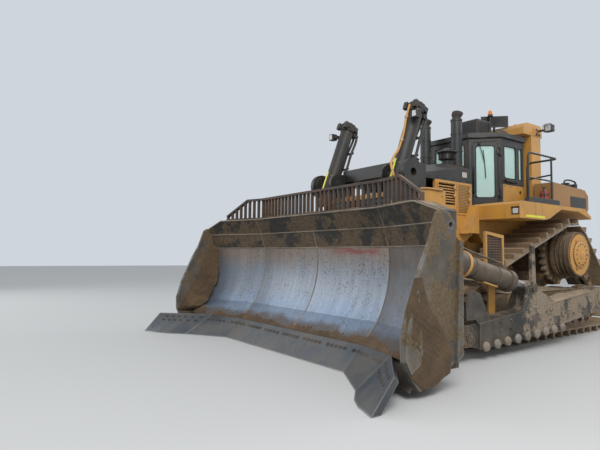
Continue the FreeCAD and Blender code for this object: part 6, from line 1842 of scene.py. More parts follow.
@dataclass
class EngineHouse:
    """Doors, grilles, latches and plates of the engine house."""

    half: float = 1.0
    hood_top: float = 3.5
    guard_half: float = 1.23
    guard_front: float = -4.25
    guard_rear: float = -3.48
    guard_high: float = 2.8

    def build(self) -> None:
        """Makes the house's details."""
        self.doors()
        self.hood_details()
        self.guard_details()

    def doors(self) -> None:
        """Frames, hinges and latches of the side doors, and the perforated sheet in the rear one."""
        x = self.half
        shapes = []
        for y0, y1, z0, z1 in ((-3.43, -2.87, 2.52, 3.04), (-2.83, -2.40, 2.42, 3.04)):
            ring = frame_ring((y1 - y0) / 2, (z1 - z0) / 2, 0.03, 0.014)
            turned = Shape(ring.points[:, [1, 0, 2]] * (-1, 1, 1) + (x + 0.012, (y0 + y1) / 2, (z0 + z1) / 2), ring.faces)
            shapes.append(turned)
            hinge = revolved([(0.014, -0.05), (0.014, 0.05)], (x + 0.012, y0 + 0.01, z0 + 0.1), (0, 0, 1), 12)
            shapes += [hinge, hinge.moved(z=(z1 - z0) - 0.2)]
            latch = revolved([(0.034, 0.0), (0.034, 0.01), (0.02, 0.016), (0.001, 0.016)], (x + 0.012, y1 - 0.05, (z0 + z1) / 2), (1, 0, 0), 20)
            shapes += [latch, latch.moved(z=0.16)]
        Piece("engine_door_frames", joined(shapes).both(), YELLOW, bevel=0.003).place()
        sheet = block((x, -2.79, 2.47), (x + 0.006, -2.44, 2.99))
        Piece("engine_door_mesh", sheet.both(), PERFORATED).place()

    def hood_details(self) -> None:
        """Seam strips, lifting eyes, latches and the bare plate on the hood."""
        def high(y: float) -> float:
            """Height of the hood's sloping top at a place."""
            return float(np.interp(y, [-3.99, -2.70], [3.27, self.hood_top]))

        seams = [plate([(y, high(y) - 0.004), (y + 0.03, high(y + 0.03) - 0.004), (y + 0.03, high(y + 0.03) + 0.008), (y, high(y) + 0.008)], "x", -0.6, 0.6)
                 for y in (-3.5, -2.95)]
        eye = revolved([(0.028, -0.012), (0.048, -0.012), (0.048, 0.012), (0.028, 0.012)], (0, 0, 0), (1, 0, 0), 20, True)
        eyes = eye.copies([(x, y, high(y) + 0.03) for x in (-0.5, 0.5) for y in (-3.8, -2.9)])
        rail = bent([(0.3, -3.3, high(-3.3)), (0.3, -3.3, high(-3.3) + 0.07), (0.3, -3.1, high(-3.1) + 0.07), (0.3, -3.1, high(-3.1))], 0.03)
        grips = pipe(rail, 0.009, 8).both()
        Piece("hood_fittings", joined(seams) + eyes + grips, BLACK, slot=Slot.BLACK, bevel=0.002).place()
        tag = block((self.half, -2.66, 3.17), (self.half + 0.006, -2.51, 3.275))
        bolts = bolt_row([(self.half, y, 3.10) for y in np.arange(-3.9, -2.4, 0.24)], (1, 0, 0), 0.012, 0.012)
        Piece("hood_blank_plate", tag, PALE_PLATE, slot=Slot.BLACK, bevel=0.002).place()
        Piece("hood_side_bolts", bolts.both(), BLACK, slot=Slot.BLACK).place()

    def guard_details(self) -> None:
        """Bolts on the radiator guard, the hinge line of its grille and the rail pipe on its top edge."""
        h, f = self.guard_half, self.guard_front
        places = [(x, f, z) for x in np.linspace(-1.18, 1.18, 12) for z in (self.guard_high - 0.045,)]
        places += [(s * (h - 0.045), f, z) for s in (-1, 1) for z in np.linspace(1.75, 2.65, 6)]
        bolts = bolt_row(places, (0, -1, 0), 0.015, 0.016)
        side = [(h, y, z) for y in (-4.15, -3.58) for z in np.linspace(1.8, 2.7, 5)]
        Piece("guard_bolts", bolts + bolt_row(side, (1, 0, 0), 0.015, 0.016).both(), YELLOW).place()
        rail = flowing([(h + 0.012, -4.2, 2.79), (h + 0.012, -3.95, 2.81), (h + 0.012, -3.6, 2.81), (1.1, -3.46, 2.84), (1.02, -3.35, 2.86)], 8)
        Piece("guard_rail_pipe", pipe(rail, 0.018, 10).both(), YELLOW).place()


@dataclass
class Handrails:
    """Bent tube rails on the platforms, with feet and brackets."""

    x: float = 2.0
    inner: float = 1.36
    deck: float = 2.65
    top: float = 3.6
    tube: float = 0.021

    def build(self) -> None:
        """Replaces the plain rails with tubes that have rounded corners."""
        x, z, t = self.x, self.deck, self.top
        outer = bent([(x, -2.02, z), (x, -2.02, t), (x, -0.9, t), (self.inner, -0.9, t), (self.inner, -0.9, z)], 0.12)
        runs = [
            pipe(outer, self.tube, 12),
            pipe([(x, -1.15, z), (x, -1.15, t - 0.01)], 0.019, 12),
            pipe([(x, -2.02, 3.12), (x, -1.15, 3.12)], 0.017, 12),
            pipe([(x, -1.15, 3.25), (self.inner, -0.9, 3.25)], 0.017, 12),
        ]
        foot = block((-0.05, -0.05, 0.0), (0.05, 0.05, 0.014)) + revolved([(0.03, 0.0), (0.03, 0.07)], (0, 0, 0.014), (0, 0, 1), 16)
        foot += bolt_row([(0.035 * s, 0.035 * r, 0.014) for s in (-1, 1) for r in (-1, 1)], (0, 0, 1), 0.008, 0.01)
        feet = foot.copies([(x - 0.03, -2.02, z), (x - 0.03, -1.15, z), (self.inner, -0.9, z)])
        shapes = joined(runs) + feet
        Piece("platform_rails", shapes.both(), BLACK, slot=Slot.BLACK, stands_for=("handrails",)).place()


@dataclass
class Platforms:
    """Details of the platforms: tread sheet, stripe, recessed lamps, kick rail and bottle."""

    outer: float = 2.03
    front: float = -2.37
    deck: float = 2.65

    def build(self) -> None:
        """Makes the platforms' details."""
        sheet = block((1.22, -2.30, self.deck - 0.001), (self.outer - 0.02, -0.55, self.deck + 0.006))
        Piece("platform_tread", sheet.both(), TREAD, slot=Slot.YELLOW).place()
        stripe = block((self.outer, -2.17, 2.355), (self.outer + 0.004, -1.50, 2.40))
        Piece("platform_stripes", stripe.both(), STRIPE).place()
        brace = plate([(-2.76, 2.06), (-2.37, 2.06), (-2.37, 2.62), (-2.43, 2.62)], "x", 1.16, 1.18)
        brace += plate([(-2.775, 2.05), (-2.76, 2.04), (-2.42, 2.62), (-2.44, 2.63)], "x", 1.0, 1.2)
        Piece("platform_braces", brace.both(), YELLOW, bevel=0.003).place()
        mesh = block((1.9645, -3.345, 1.42), (1.9685, -2.895, 1.985))
        Piece("hose_guard_mesh", mesh.both(), DARK_MESH, Body.ARMS, Slot.YELLOW).place()
        kick = block((self.outer - 0.006, -2.0, self.deck), (self.outer + 0.0, -0.9, self.deck + 0.1))
        Piece("platform_kick_rail", kick.both(), BLACK, slot=Slot.BLACK, bevel=0.003).place()
        rim = frame_ring(0.066, 0.06, 0.012).copies([(1.925, self.front + 0.022, 2.47)])
        lens = block((1.87, self.front + 0.022, 2.42), (1.98, self.front + 0.03, 2.52))
        Piece("platform_lamp_rims", rim.both(), LAMP_COAT, slot=Slot.LAMP).place()
        Piece("platform_lamp_lenses", lens.both(), LENS, slot=Slot.LAMP).place()
        self.bottle()

    def bottle(self) -> None:
        """Red extinguisher: domed bottle, valve, hose and clamp."""
        x, y, z = 1.42, -0.33, self.deck
        body = revolved([(0.06, z + 0.001), (0.08, z + 0.01), (0.085, z + 0.03), (0.085, z + 0.37), (0.075, z + 0.41), (0.04, z + 0.435), (0.02, z + 0.44)],
                        (x, y, 0), (0, 0, 1), 32)
        Piece("extinguisher_bottle", body, RED, slot=Slot.RED, stands_for=("extinguisher",)).place()
        valve = revolved([(0.02, z + 0.435), (0.02, z + 0.465), (0.026, z + 0.468), (0.026, z + 0.485), (0.01, z + 0.49)], (x, y, 0), (0, 0, 1), 16)
        lever = block((x - 0.012, y - 0.085, z + 0.468), (x + 0.012, y + 0.02, z + 0.478))
        hose = pipe(flowing([(x, y - 0.02, z + 0.46), (x + 0.03, y - 0.075, z + 0.44), (x + 0.05, y - 0.088, z + 0.36), (x + 0.05, y - 0.085, z + 0.2)], 8), 0.01, 8)
        hoops = [revolved([(0.0845, s), (0.0885, s), (0.0885, s + 0.025), (0.0845, s + 0.025)], (x, y, z), (0, 0, 1), 32, True) for s in (0.08, 0.3)]
        Piece("extinguisher_fittings", valve + lever + hose + joined(hoops), BLACK, slot=Slot.RED).place()


@dataclass
class Rear:
    """Details of the fuel tank, rear weight and drawbar."""

    def build(self) -> None:
        """Makes the tank's panel and cap, the weight's bolts and the hitch pin."""
        low, high = node_box("fuel_tank")
        x = high[0]
        panel = block((x, 0.55, 2.76), (x + 0.006, 1.3, 3.0))
        Piece("tank_dark_panel", panel.both(), BLACK, bevel=0.002).place()
        cap = revolved([(0.07, 0.0), (0.07, 0.05), (0.085, 0.055), (0.085, 0.085), (0.04, 0.095), (0.001, 0.095)], (0.9, 0.45, 3.215), (0, 0, 1), 28)
        Piece("tank_cap", cap, BLACK, bevel=0.003).place()
        base = block((1.22, 0.66, 3.18), (1.5, 1.24, 3.224))
        boxes = [block((1.27, y, 3.224), (1.43, y + 0.1, 3.34)) for y in (0.72, 1.08)]
        arch = bent([(1.36, 0.68, 3.22), (1.36, 0.70, 3.40), (1.36, 0.95, 3.43), (1.38, 1.21, 3.40), (1.38, 1.22, 3.22)], 0.08)
        runs = pipe(arch, 0.02, 10) + pipe(bent([(1.3, 0.84, 3.22), (1.3, 0.86, 3.33), (1.32, 1.04, 3.32), (1.32, 1.06, 3.22)], 0.05), 0.016, 10)
        Piece("tank_lamp_group", (base + joined(boxes) + runs).both(), LAMP_COAT, slot=Slot.LAMP, bevel=0.003).place()
        panes = [block((1.285, y + 0.1, 3.24), (1.415, y + 0.106, 3.325)) for y in (0.72, 1.08)]
        Piece("tank_lamp_lenses", joined(panes).both(), LENS, slot=Slot.LAMP).place()
        back = high[1]
        straps = [block((px - 0.03, back - 0.001, 2.755), (px + 0.03, back + 0.012, 3.05)) for px in (0.55, 1.15)]
        bars = [pipe(bent([(px - 0.14, back, z), (px - 0.14, back + 0.06, z), (px + 0.14, back + 0.06, z), (px + 0.14, back, z)], 0.03), 0.013, 10)
                for px, z in ((0.86, 2.84), (0.86, 2.98))]
        seam = pipe([(-1.5, back - 0.002, 3.057), (1.5, back - 0.002, 3.057)], 0.007, 8)
        nuts = bolt_row([(px, back + 0.012, z) for px in (0.55, 1.15) for z in (2.785, 2.9, 3.015)], (0, 1, 0), 0.015, 0.016)
        Piece("tank_rear_straps", (joined(straps) + nuts).both() + seam, SHADED_TANK_COAT, bevel=0.003).place()
        Piece("tank_rear_steps", joined(bars).both(), BLACK, slot=Slot.BLACK).place()
        housing = frame_ring(0.075, 0.045, 0.014, 0.02).copies([(0.3, 0, 0)])
        tail = Shape(housing.points * (1, -1, 1) + (0, back + 0.016, 2.83), [face[:, ::-1] for face in housing.faces])
        Piece("tail_lamp_rims", tail.both(), LAMP_COAT, slot=Slot.LAMP, bevel=0.002).place()
        Piece("tail_lamp_lenses", block((0.24, back - 0.001, 2.80), (0.36, back + 0.01, 2.86)).both(), RED_LENS, slot=Slot.LAMP).place()
        weight_low, weight_high = node_box("counterweight")
        y = weight_high[1]
        bolts = bolt_row([(s * a, y, z) for s in (-1, 1) for a in (0.25, 0.6) for z in (1.15, 1.67)], (0, 1, 0), 0.035, 0.03)
        lip = block((-0.7, y - 0.001, 1.38), (0.7, y + 0.02, 1.44))
        Piece("weight_bolts", bolts + lip, YELLOW, bevel=0.003).place()
        pin = revolved([(0.041, 0.62), (0.041, 0.93), (0.06, 0.935), (0.06, 0.96), (0.03, 0.965)], (0, 1.78, 0), (0, 0, 1), 24)
        Piece("hitch_pin", pin, CHROME, slot=Slot.IRON).place()


# Cab

def rounded(half_x: float, half_z: float, corner: float, steps: int = 6) -> Array:
    """Corners of a rounded rectangle in the XZ plane, anticlockwise seen from -Y: a quarter circle at each."""
    angle = np.linspace(0, math.pi / 2, steps)
    arcs = []
    for turn, (sx, sz) in enumerate(((1, 1), (-1, 1), (-1, -1), (1, -1))):
        a = angle + turn * math.pi / 2
        arcs.append(np.stack([sx * (half_x - corner) + corner * np.cos(a), 0 * a, sz * (half_z - corner) + corner * np.sin(a)], axis=1))
    return np.vstack(arcs)[::-1]


def window_seal(half_x: float, half_z: float, width: float = 0.02, proud: float = 0.008, deep: float = 0.03) -> Shape:
    """Rubber ring that fills a window's corners: square outside, round inside, standing proud of the wall."""
    outer = rounded(half_x, half_z, 0.004)
    inner = rounded(half_x - width, half_z - width, min(0.05, half_x * 0.4))
    lip = rounded(half_x - width * 0.4, half_z - width * 0.4, min(0.07, half_x * 0.4))
    rings = [outer, lip + (0, -proud, 0), inner + (0, -proud * 0.6, 0), inner + (0, deep, 0), outer + (0, deep, 0)]
    return lofted(np.stack(rings, axis=1)[::-1], closed=True)


def panel_turn(along: Point) -> Array:
    """Matrix from a panel's own directions (X along it, Y into it, Z up) to the machine's."""
    ax, ay = np.asarray(along[:2], float) / np.hypot(*along[:2])
    return np.array([[ax, -ay, 0.0], [ay, ax, 0.0], [0.0, 0.0, 1.0]])


def on_panel(shape: Shape, start: Point, along: Point) -> Shape:
    """A shape from a panel's own directions, put on the panel that starts at a point."""
    return shape.copies([start], panel_turn(along)[None])


@dataclass
class Cab:
    """Cab details: seals, gutter, sheet panels, wipers, vents and what shows through the panes."""

    front_half: float = 0.5
    front: float = -1.72
    half: float = 1.0
    post: float = -1.25
    rear: float = -0.4
    floor: float = 2.65
    top: float = 4.18

    def build(self) -> None:
        """Makes the cab's details."""
        self.seals()
        self.gutter()
        self.side_sheets()
        self.front_wiper()
        self.inside()
        for side in (1, -1):
            self.door(side)

    def seals(self) -> None:
        """Rings in the fixed windows."""
        front = window_seal(0.41, 0.55, 0.03).copies([(0.0, self.front, 3.53)])
        back = on_panel(window_seal(0.74, 0.375), (0.0, self.rear, 3.625), (-1, 0))
        sides = [on_panel(window_seal(long / 2, 0.365), (self.half, y, 3.665), (0, 1)) for y, long in ((-0.94, 0.48), (-0.545, 0.15))]
        Piece("cab_window_seals", front + back + joined(sides).both(), SEAL, slot=Slot.BLACK, sharp=50).place()

    def gutter(self) -> None:
        """Rain gutter below the roof's edge, roof bolts, grab rails and the corner posts' rounded strips."""
        plan = [(-0.52, -1.75), (0.52, -1.75), (1.03, -1.26), (1.03, -0.37), (-1.03, -0.37), (-1.03, -1.26)]
        path = np.array([(x, y, self.top + 0.012) for x, y in plan])
        dense = np.vstack([path[i] + (path[(i + 1) % 6] - path[i]) * t for i in range(6) for t in (0.04, 0.5, 0.96)])
        rim = pipe(dense, 0.016, 10, closed=True)
        bolts = bolt_row([(x, y, self.top + 0.11) for x, y in ((-0.45, -1.66), (0.45, -1.66), (0.9, -1.2), (-0.9, -1.2), (0.9, -0.5), (-0.9, -0.5))],
                         (0, 0, 1), 0.018, 0.018)
        strips = [revolved([(0.016, self.floor + 0.02), (0.016, self.top - 0.005)], (x, y, 0), (0, 0, 1), 14)
                  for x, y in ((self.front_half - 0.004, self.front + 0.008), (self.half - 0.01, self.post + 0.002))]
        rail = bent([(0.93, -1.33, 4.29), (0.93, -1.33, 4.36), (0.93, -0.95, 4.36), (0.93, -0.95, 4.29)], 0.05)
        Piece("cab_gutter", rim + bolts + joined(strips).both() + pipe(rail, 0.014, 10).both(), BLACK, slot=Slot.BLACK, bevel=0.002).place()

    def side_sheets(self) -> None:
        """Yellow sheets below the windows with their fixings, the black vent over them and the sill under the door."""
        x = self.half
        sheet = plate([(-1.235, 2.70), (-0.42, 2.70), (-0.42, 3.17), (-1.235, 3.17)], "x", x - 0.004, x + 0.012)
        along = (self.half - self.front_half, self.post - self.front)
        sill = on_panel(block((0.0, -0.008, 2.652), (0.686, 0.01, 2.715)), (self.front_half, self.front, 0.0), along)
        edge = on_panel(block((0.645, -0.01, 2.72), (0.686, 0.0, 3.17)), (self.front_half, self.front, 0.0), along)
        front = block((-0.5, self.front - 0.008, 2.655), (0.5, self.front + 0.002, 2.9))
        Piece("cab_yellow_sheets", (sheet + sill).both() + front, YELLOW, bevel=0.006).place()
        places = [(x + 0.012, y, z) for y in (-1.2, -0.95, -0.7, -0.46) for z in (2.735, 3.135)]
        bolts = bolt_row(places, (1, 0, 0), 0.009, 0.01)
        cover = revolved([(0.036, -0.002), (0.036, 0.006), (0.028, 0.009), (0.001, 0.009)], (x + 0.012, -0.574, 3.04), (1, 0, 0), 24)
        vent = plate([(-1.15, 3.225), (-0.72, 3.225), (-0.70, 3.25), (-0.72, 3.285), (-1.15, 3.285), (-1.17, 3.25)], "x", x - 0.004, x + 0.055)
        slats = [block((x + 0.05, -1.12, z), (x + 0.062, -0.75, z + 0.006)) for z in (3.236, 3.252, 3.268)]
        Piece("cab_side_fittings", (bolts + cover + vent + joined(slats) + edge).both(), BLACK, slot=Slot.BLACK, bevel=0.003).place()

    def wiper(self, foot: Point, tip: Point, blade: Sequence[Point]) -> Shape:
        """Wiper in a panel's own directions: motor cap, arm and rubber blade."""
        cap = revolved([(0.035, 0.0), (0.035, 0.02), (0.022, 0.032), (0.001, 0.032)], (foot[0], 0.0, foot[1]), (0, -1, 0), 18)
        arm = pipe([(foot[0], -0.026, foot[1]), ((foot[0] + tip[0]) / 2, -0.034, (foot[1] + tip[1]) / 2), (tip[0], -0.02, tip[1])], 0.007, 8)
        rubber = pipe([(x, -0.013, z) for x, z in blade], 0.008, 8)
        return cap + arm + rubber

    def front_wiper(self) -> None:
        """Wiper on the front window."""
        shape = self.wiper((0.0, 2.94), (0.16, 3.52), [(0.14, 3.22), (0.16, 3.52), (0.17, 3.84)]).copies([(0, self.front - 0.002, 0)])
        Piece("front_wiper", shape, SEAL, slot=Slot.BLACK).place()

    def door(self, side: int) -> None:
        """Seal, pressed frame, wiper, lock and round grab bar of a door, which swing with it."""
        body = Body.DOOR_LEFT if side > 0 else Body.DOOR_RIGHT
        name = "left" if side > 0 else "right"
        start, along = (self.front_half, self.front, 0.0), (self.half - self.front_half, self.post - self.front)
        middle, z = 0.3431, 3.45
        seal = window_seal(0.2, 0.572, 0.014).copies([(middle, 0, z)])
        Piece(f"door_seal_{name}", on_panel(seal, start, along).on(side), SEAL, body, Slot.BLACK, sharp=50).place()
        outer, inner = rounded(0.262, 0.678, 0.05), rounded(0.248, 0.664, 0.045)
        press = lofted(np.stack([outer, (outer + inner) / 2 + (0, -0.006, 0), inner, inner + (0, 0.01, 0), outer + (0, 0.01, 0)], axis=1)[::-1], closed=True)
        press = press.copies([(middle, -0.0005, 3.42)])
        kick = block((0.16, -0.006, 2.77), (0.53, 0.002, 2.85))
        lock = revolved([(0.024, 0.0), (0.024, 0.012), (0.015, 0.016), (0.001, 0.016)], (0.115, 0.0, 2.93), (0, -1, 0), 18)
        bolts = bolt_row([(x, 0.0, z) for x in (0.09, 0.6) for z in (2.8, 4.06)], (0, -1, 0), 0.009, 0.009)
        Piece(f"door_press_{name}", on_panel(press + kick + lock + bolts, start, along).on(side), BLACK, body, Slot.BLACK, sharp=45).place()
        bar = bent([(0.1, 0.0, 2.985), (0.1, -0.058, 2.985), (0.1, -0.058, 3.545), (0.1, 0.0, 3.545)], 0.035)
        Piece(f"door_bar_{name}", on_panel(pipe(bar, 0.017, 12), start, along).on(side), BLACK, body, Slot.BLACK).place()
        shape = self.wiper((0.22, 4.06), (0.33, 3.62), [(0.30, 3.92), (0.33, 3.62), (0.35, 3.3)])
        Piece(f"door_wiper_{name}", on_panel(shape, start, along).on(side), SEAL, body, Slot.BLACK).place()

    def inside(self) -> None:
        """Floor mat, dash, levers, screen and headliner."""
        mat = plate([(-0.42, -1.6), (0.42, -1.6), (0.86, -1.2), (0.86, -0.5), (-0.86, -0.5), (-0.86, -1.2)], "z", 2.711, 2.72)
        lining = plate([(-0.4, -1.58), (0.4, -1.58), (0.84, -1.18), (0.84, -0.5), (-0.84, -0.5), (-0.84, -1.18)], "z", 4.105, 4.125)
        dash = plate([(-1.655, 2.72), (-1.5, 2.72), (-1.5, 2.95), (-1.56, 3.12), (-1.655, 3.12)], "x", -0.3, 0.3)
        screen = plate([(-1.57, 3.13), (-1.55, 3.13), (-1.53, 3.33), (-1.55, 3.33)], "x", -0.14, 0.14)
        pedals = [block((x, -1.47, 2.72), (x + 0.09, -1.44, 2.9)) for x in (-0.2, 0.1)]
        rests = [plate([(-1.2, 3.255), (-0.72, 3.255), (-0.72, 3.31), (-1.2, 3.30)], "x", 0.45, 0.6), plate([(-1.2, 3.255), (-0.72, 3.255), (-0.72, 3.31), (-1.2, 3.30)], "x", -0.6, -0.45)]
        Piece("cab_lining", mat + lining, SEAL, slot=Slot.PLASTIC).place()
        Piece("cab_dash", dash + screen + joined(pedals) + joined(rests), PLASTIC, slot=Slot.PLASTIC, bevel=0.008).place()
        stick = revolved([(0.035, 0.0), (0.035, 0.01), (0.05, 0.02), (0.014, 0.05), (0.014, 0.11), (0.026, 0.12), (0.03, 0.2), (0.022, 0.235), (0.001, 0.24)],
                         (0.0, 0.0, 0.0), (0, -0.15, 1), 16)
        sticks = stick.copies([(0.52, -1.26, 3.235), (-0.52, -1.26, 3.235)])
        Piece("control_sticks", sticks, SEAL, slot=Slot.PLASTIC).place()


@dataclass
class OperatorSeat:
    """Padded seat: cushions swollen by cloth simulation, with channels, a base and a belt.

    Attributes:
        rear: Rear face of the back rest.
        low: Underside of the cushion.
        high: Top of the cushion.
    """

    rear: float = -0.57
    low: float = 3.06
    high: float = 3.18
    voxel: float = 0.007
    cap: float = 0.016

    def build(self) -> None:
        """Makes the cushions and the hard pieces around them."""
        self.cushion("seat_cushion", (0.0, self.rear - 0.41, (self.low + self.high) / 2), (0.235, 0.215, 0.045), 1, (-0.12, 0.12))
        self.cushion("seat_back", (0.0, self.rear - 0.125, self.high + 0.33), (0.225, 0.036, 0.30), 2, (-0.18, -0.06, 0.06, 0.18))
        self.hard_parts()

    def cushion(self, name: str, middle: Point, half: Point, thin: int, channels: Sequence[float]) -> None:
        """One cushion: a rounded pad, swollen, then pinched along its sewn channels.

        Args:
            name: Name of the piece.
            middle: Its middle.
            half: Half of its size along each axis, before it swells.
            thin: The axis that is nearly its thickness: 1 lays the pad flat, 2 stands it up.
            channels: Where the channels run, across a flat pad and up a standing one.
        """
        t = np.linspace(-1, 1, 9)
        grow = (1 - 0.55 * np.abs(t) ** 5) ** 0.5
        flat = rounded(1.0, 1.0, 0.35, 8)
        if thin == 1:
            rings = np.stack([np.stack([flat[:, 0] * g * half[0], flat[:, 2] * g * half[1], 0 * flat[:, 0] + h * half[2]], axis=1) for g, h in zip(grow, t)])
            rings = rings[:, ::-1]
        else:
            rings = np.stack([np.stack([flat[:, 0] * g * half[0], 0 * flat[:, 0] + h * half[1], flat[:, 2] * g * half[2]], axis=1) for g, h in zip(grow, t)])
        shape = lofted(rings)
        thing = Piece(name, shape.moved(*middle), SEAT, slot=Slot.FABRIC, sharp=180, stands_for=("operator_seat",)).place()
        self.swell(thing)
        self.sew(thing, np.array(middle), thin, channels)
        smooth = thing.modifiers.new("smooth_cover", "SUBSURF")
        smooth.levels = smooth.render_levels = 1

    def swell(self, thing: bpy.types.Object) -> None:
        """Remeshes the pad, lets inner pressure swell it as cloth, caps each point's travel and keeps the result."""
        scene = bpy.context.scene
        remesh = thing.modifiers.new("even_mesh", "REMESH")
        remesh.mode = "VOXEL"
        remesh.voxel_size = self.voxel
        self.keep_result(thing)
        start = self.points(thing)
        cloth = thing.modifiers.new("swelling", "CLOTH")
        cloth.settings.use_pressure = True
        cloth.settings.uniform_pressure_force = 4.0
        cloth.settings.effector_weights.gravity = 0.0
        cloth.point_cache.frame_start, cloth.point_cache.frame_end = 1, 20
        for number in range(1, 21):
            scene.frame_set(number)
        self.keep_result(thing)
        scene.frame_set(1)
        moved = self.points(thing) - start
        length = np.linalg.norm(moved, axis=1, keepdims=True)
        capped = start + moved * np.minimum(1.0, self.cap / np.maximum(length, 1e-9))
        thing.data.vertices.foreach_set("co", capped.ravel())
        thing.data.update()

    def keep_result(self, thing: bpy.types.Object) -> None:
        """Replaces the mesh by what its modifiers make of it, and removes them."""
        evaluated = thing.evaluated_get(bpy.context.evaluated_depsgraph_get())
        mesh = bpy.data.meshes.new_from_object(evaluated)
        thing.modifiers.clear()
        thing.data = mesh
        mesh.polygons.foreach_set("use_smooth", np.ones(len(mesh.polygons), bool))

    def points(self, thing: bpy.types.Object) -> Array:
        """Corners of a mesh, one row each."""
        flat = np.empty(len(thing.data.vertices) * 3)
        thing.data.vertices.foreach_get("co", flat)
        return flat.reshape(-1, 3)

    def sew(self, thing: bpy.types.Object, middle: Array, thin: int, channels: Sequence[float]) -> None:
        """Pinches narrow grooves into the pad: near each channel, points sink by a bell curve towards its middle plane."""
        points = self.points(thing)
        middle = middle + (0.0, AXLE_Y, 0.0)
        deep = 2 if thin == 1 else 1
        along = points[:, 0] - middle[0] if thin == 1 else points[:, 2] - middle[2]
        off = points[:, deep] - middle[deep]
        sink = sum(np.exp(-(((along - place) / 0.011) ** 2)) for place in channels)
        points[:, deep] = middle[deep] + off * (1 - 0.28 * np.clip(sink, 0, 1))
        thing.data.vertices.foreach_set("co", points.ravel())
        thing.data.update()

    def hard_parts(self) -> None:
        """Pan, back shell, bellows base, foot plate, belt and buckle."""
        y = self.rear - 0.41
        pan = plate([(-0.25, y - 0.2), (0.25, y - 0.2), (0.25, y + 0.26), (-0.25, y + 0.26)], "z", self.low - 0.02, self.low + 0.008)
        shell_back = plate([(self.rear - 0.085, self.high - 0.06), (self.rear - 0.07, self.high - 0.06), (self.rear - 0.015, self.high + 0.66), (self.rear - 0.03, self.high + 0.66)],
                           "x", -0.24, 0.24)
        folds = [(0.17 + 0.02 * (k % 2), 2.79 + 0.03 * k) for k in range(9)]
        bellows = revolved(folds, (0, y, 0), (0, 0, 1), 4)
        bellows = Shape((bellows.points - (0, y, 0)) @ np.array([[0.7071, 0.7071, 0], [-0.7071, 0.7071, 0], [0, 0, 1]]) + (0, y, 0), bellows.faces)
        foot = plate([(-0.2, y - 0.17), (0.2, y - 0.17), (0.2, y + 0.2), (-0.2, y + 0.2)], "z", 2.72, 2.79)
        Piece("seat_base", pan + shell_back + bellows + foot, PLASTIC, slot=Slot.PLASTIC, bevel=0.004, stands_for=("operator_seat",)).place()
        strap = np.array([(-0.024, 0.0), (0.024, 0.0), (0.024, 0.003), (-0.024, 0.003)])
        route = flowing([(-0.24, y + 0.12, self.high - 0.04), (-0.2, y + 0.08, self.high + 0.03), (-0.05, y + 0.02, self.high + 0.035), (0.08, y - 0.01, self.high + 0.033)], 8)
        buckle = block((0.06, y - 0.04, self.high + 0.026), (0.13, y + 0.02, self.high + 0.048))
        Piece("seat_belt", swept(strap[:, ::-1] * (1, -1), route), SEAL, slot=Slot.FABRIC).place()
        Piece("seat_buckle", buckle, RED, slot=Slot.RED, bevel=0.005).place()


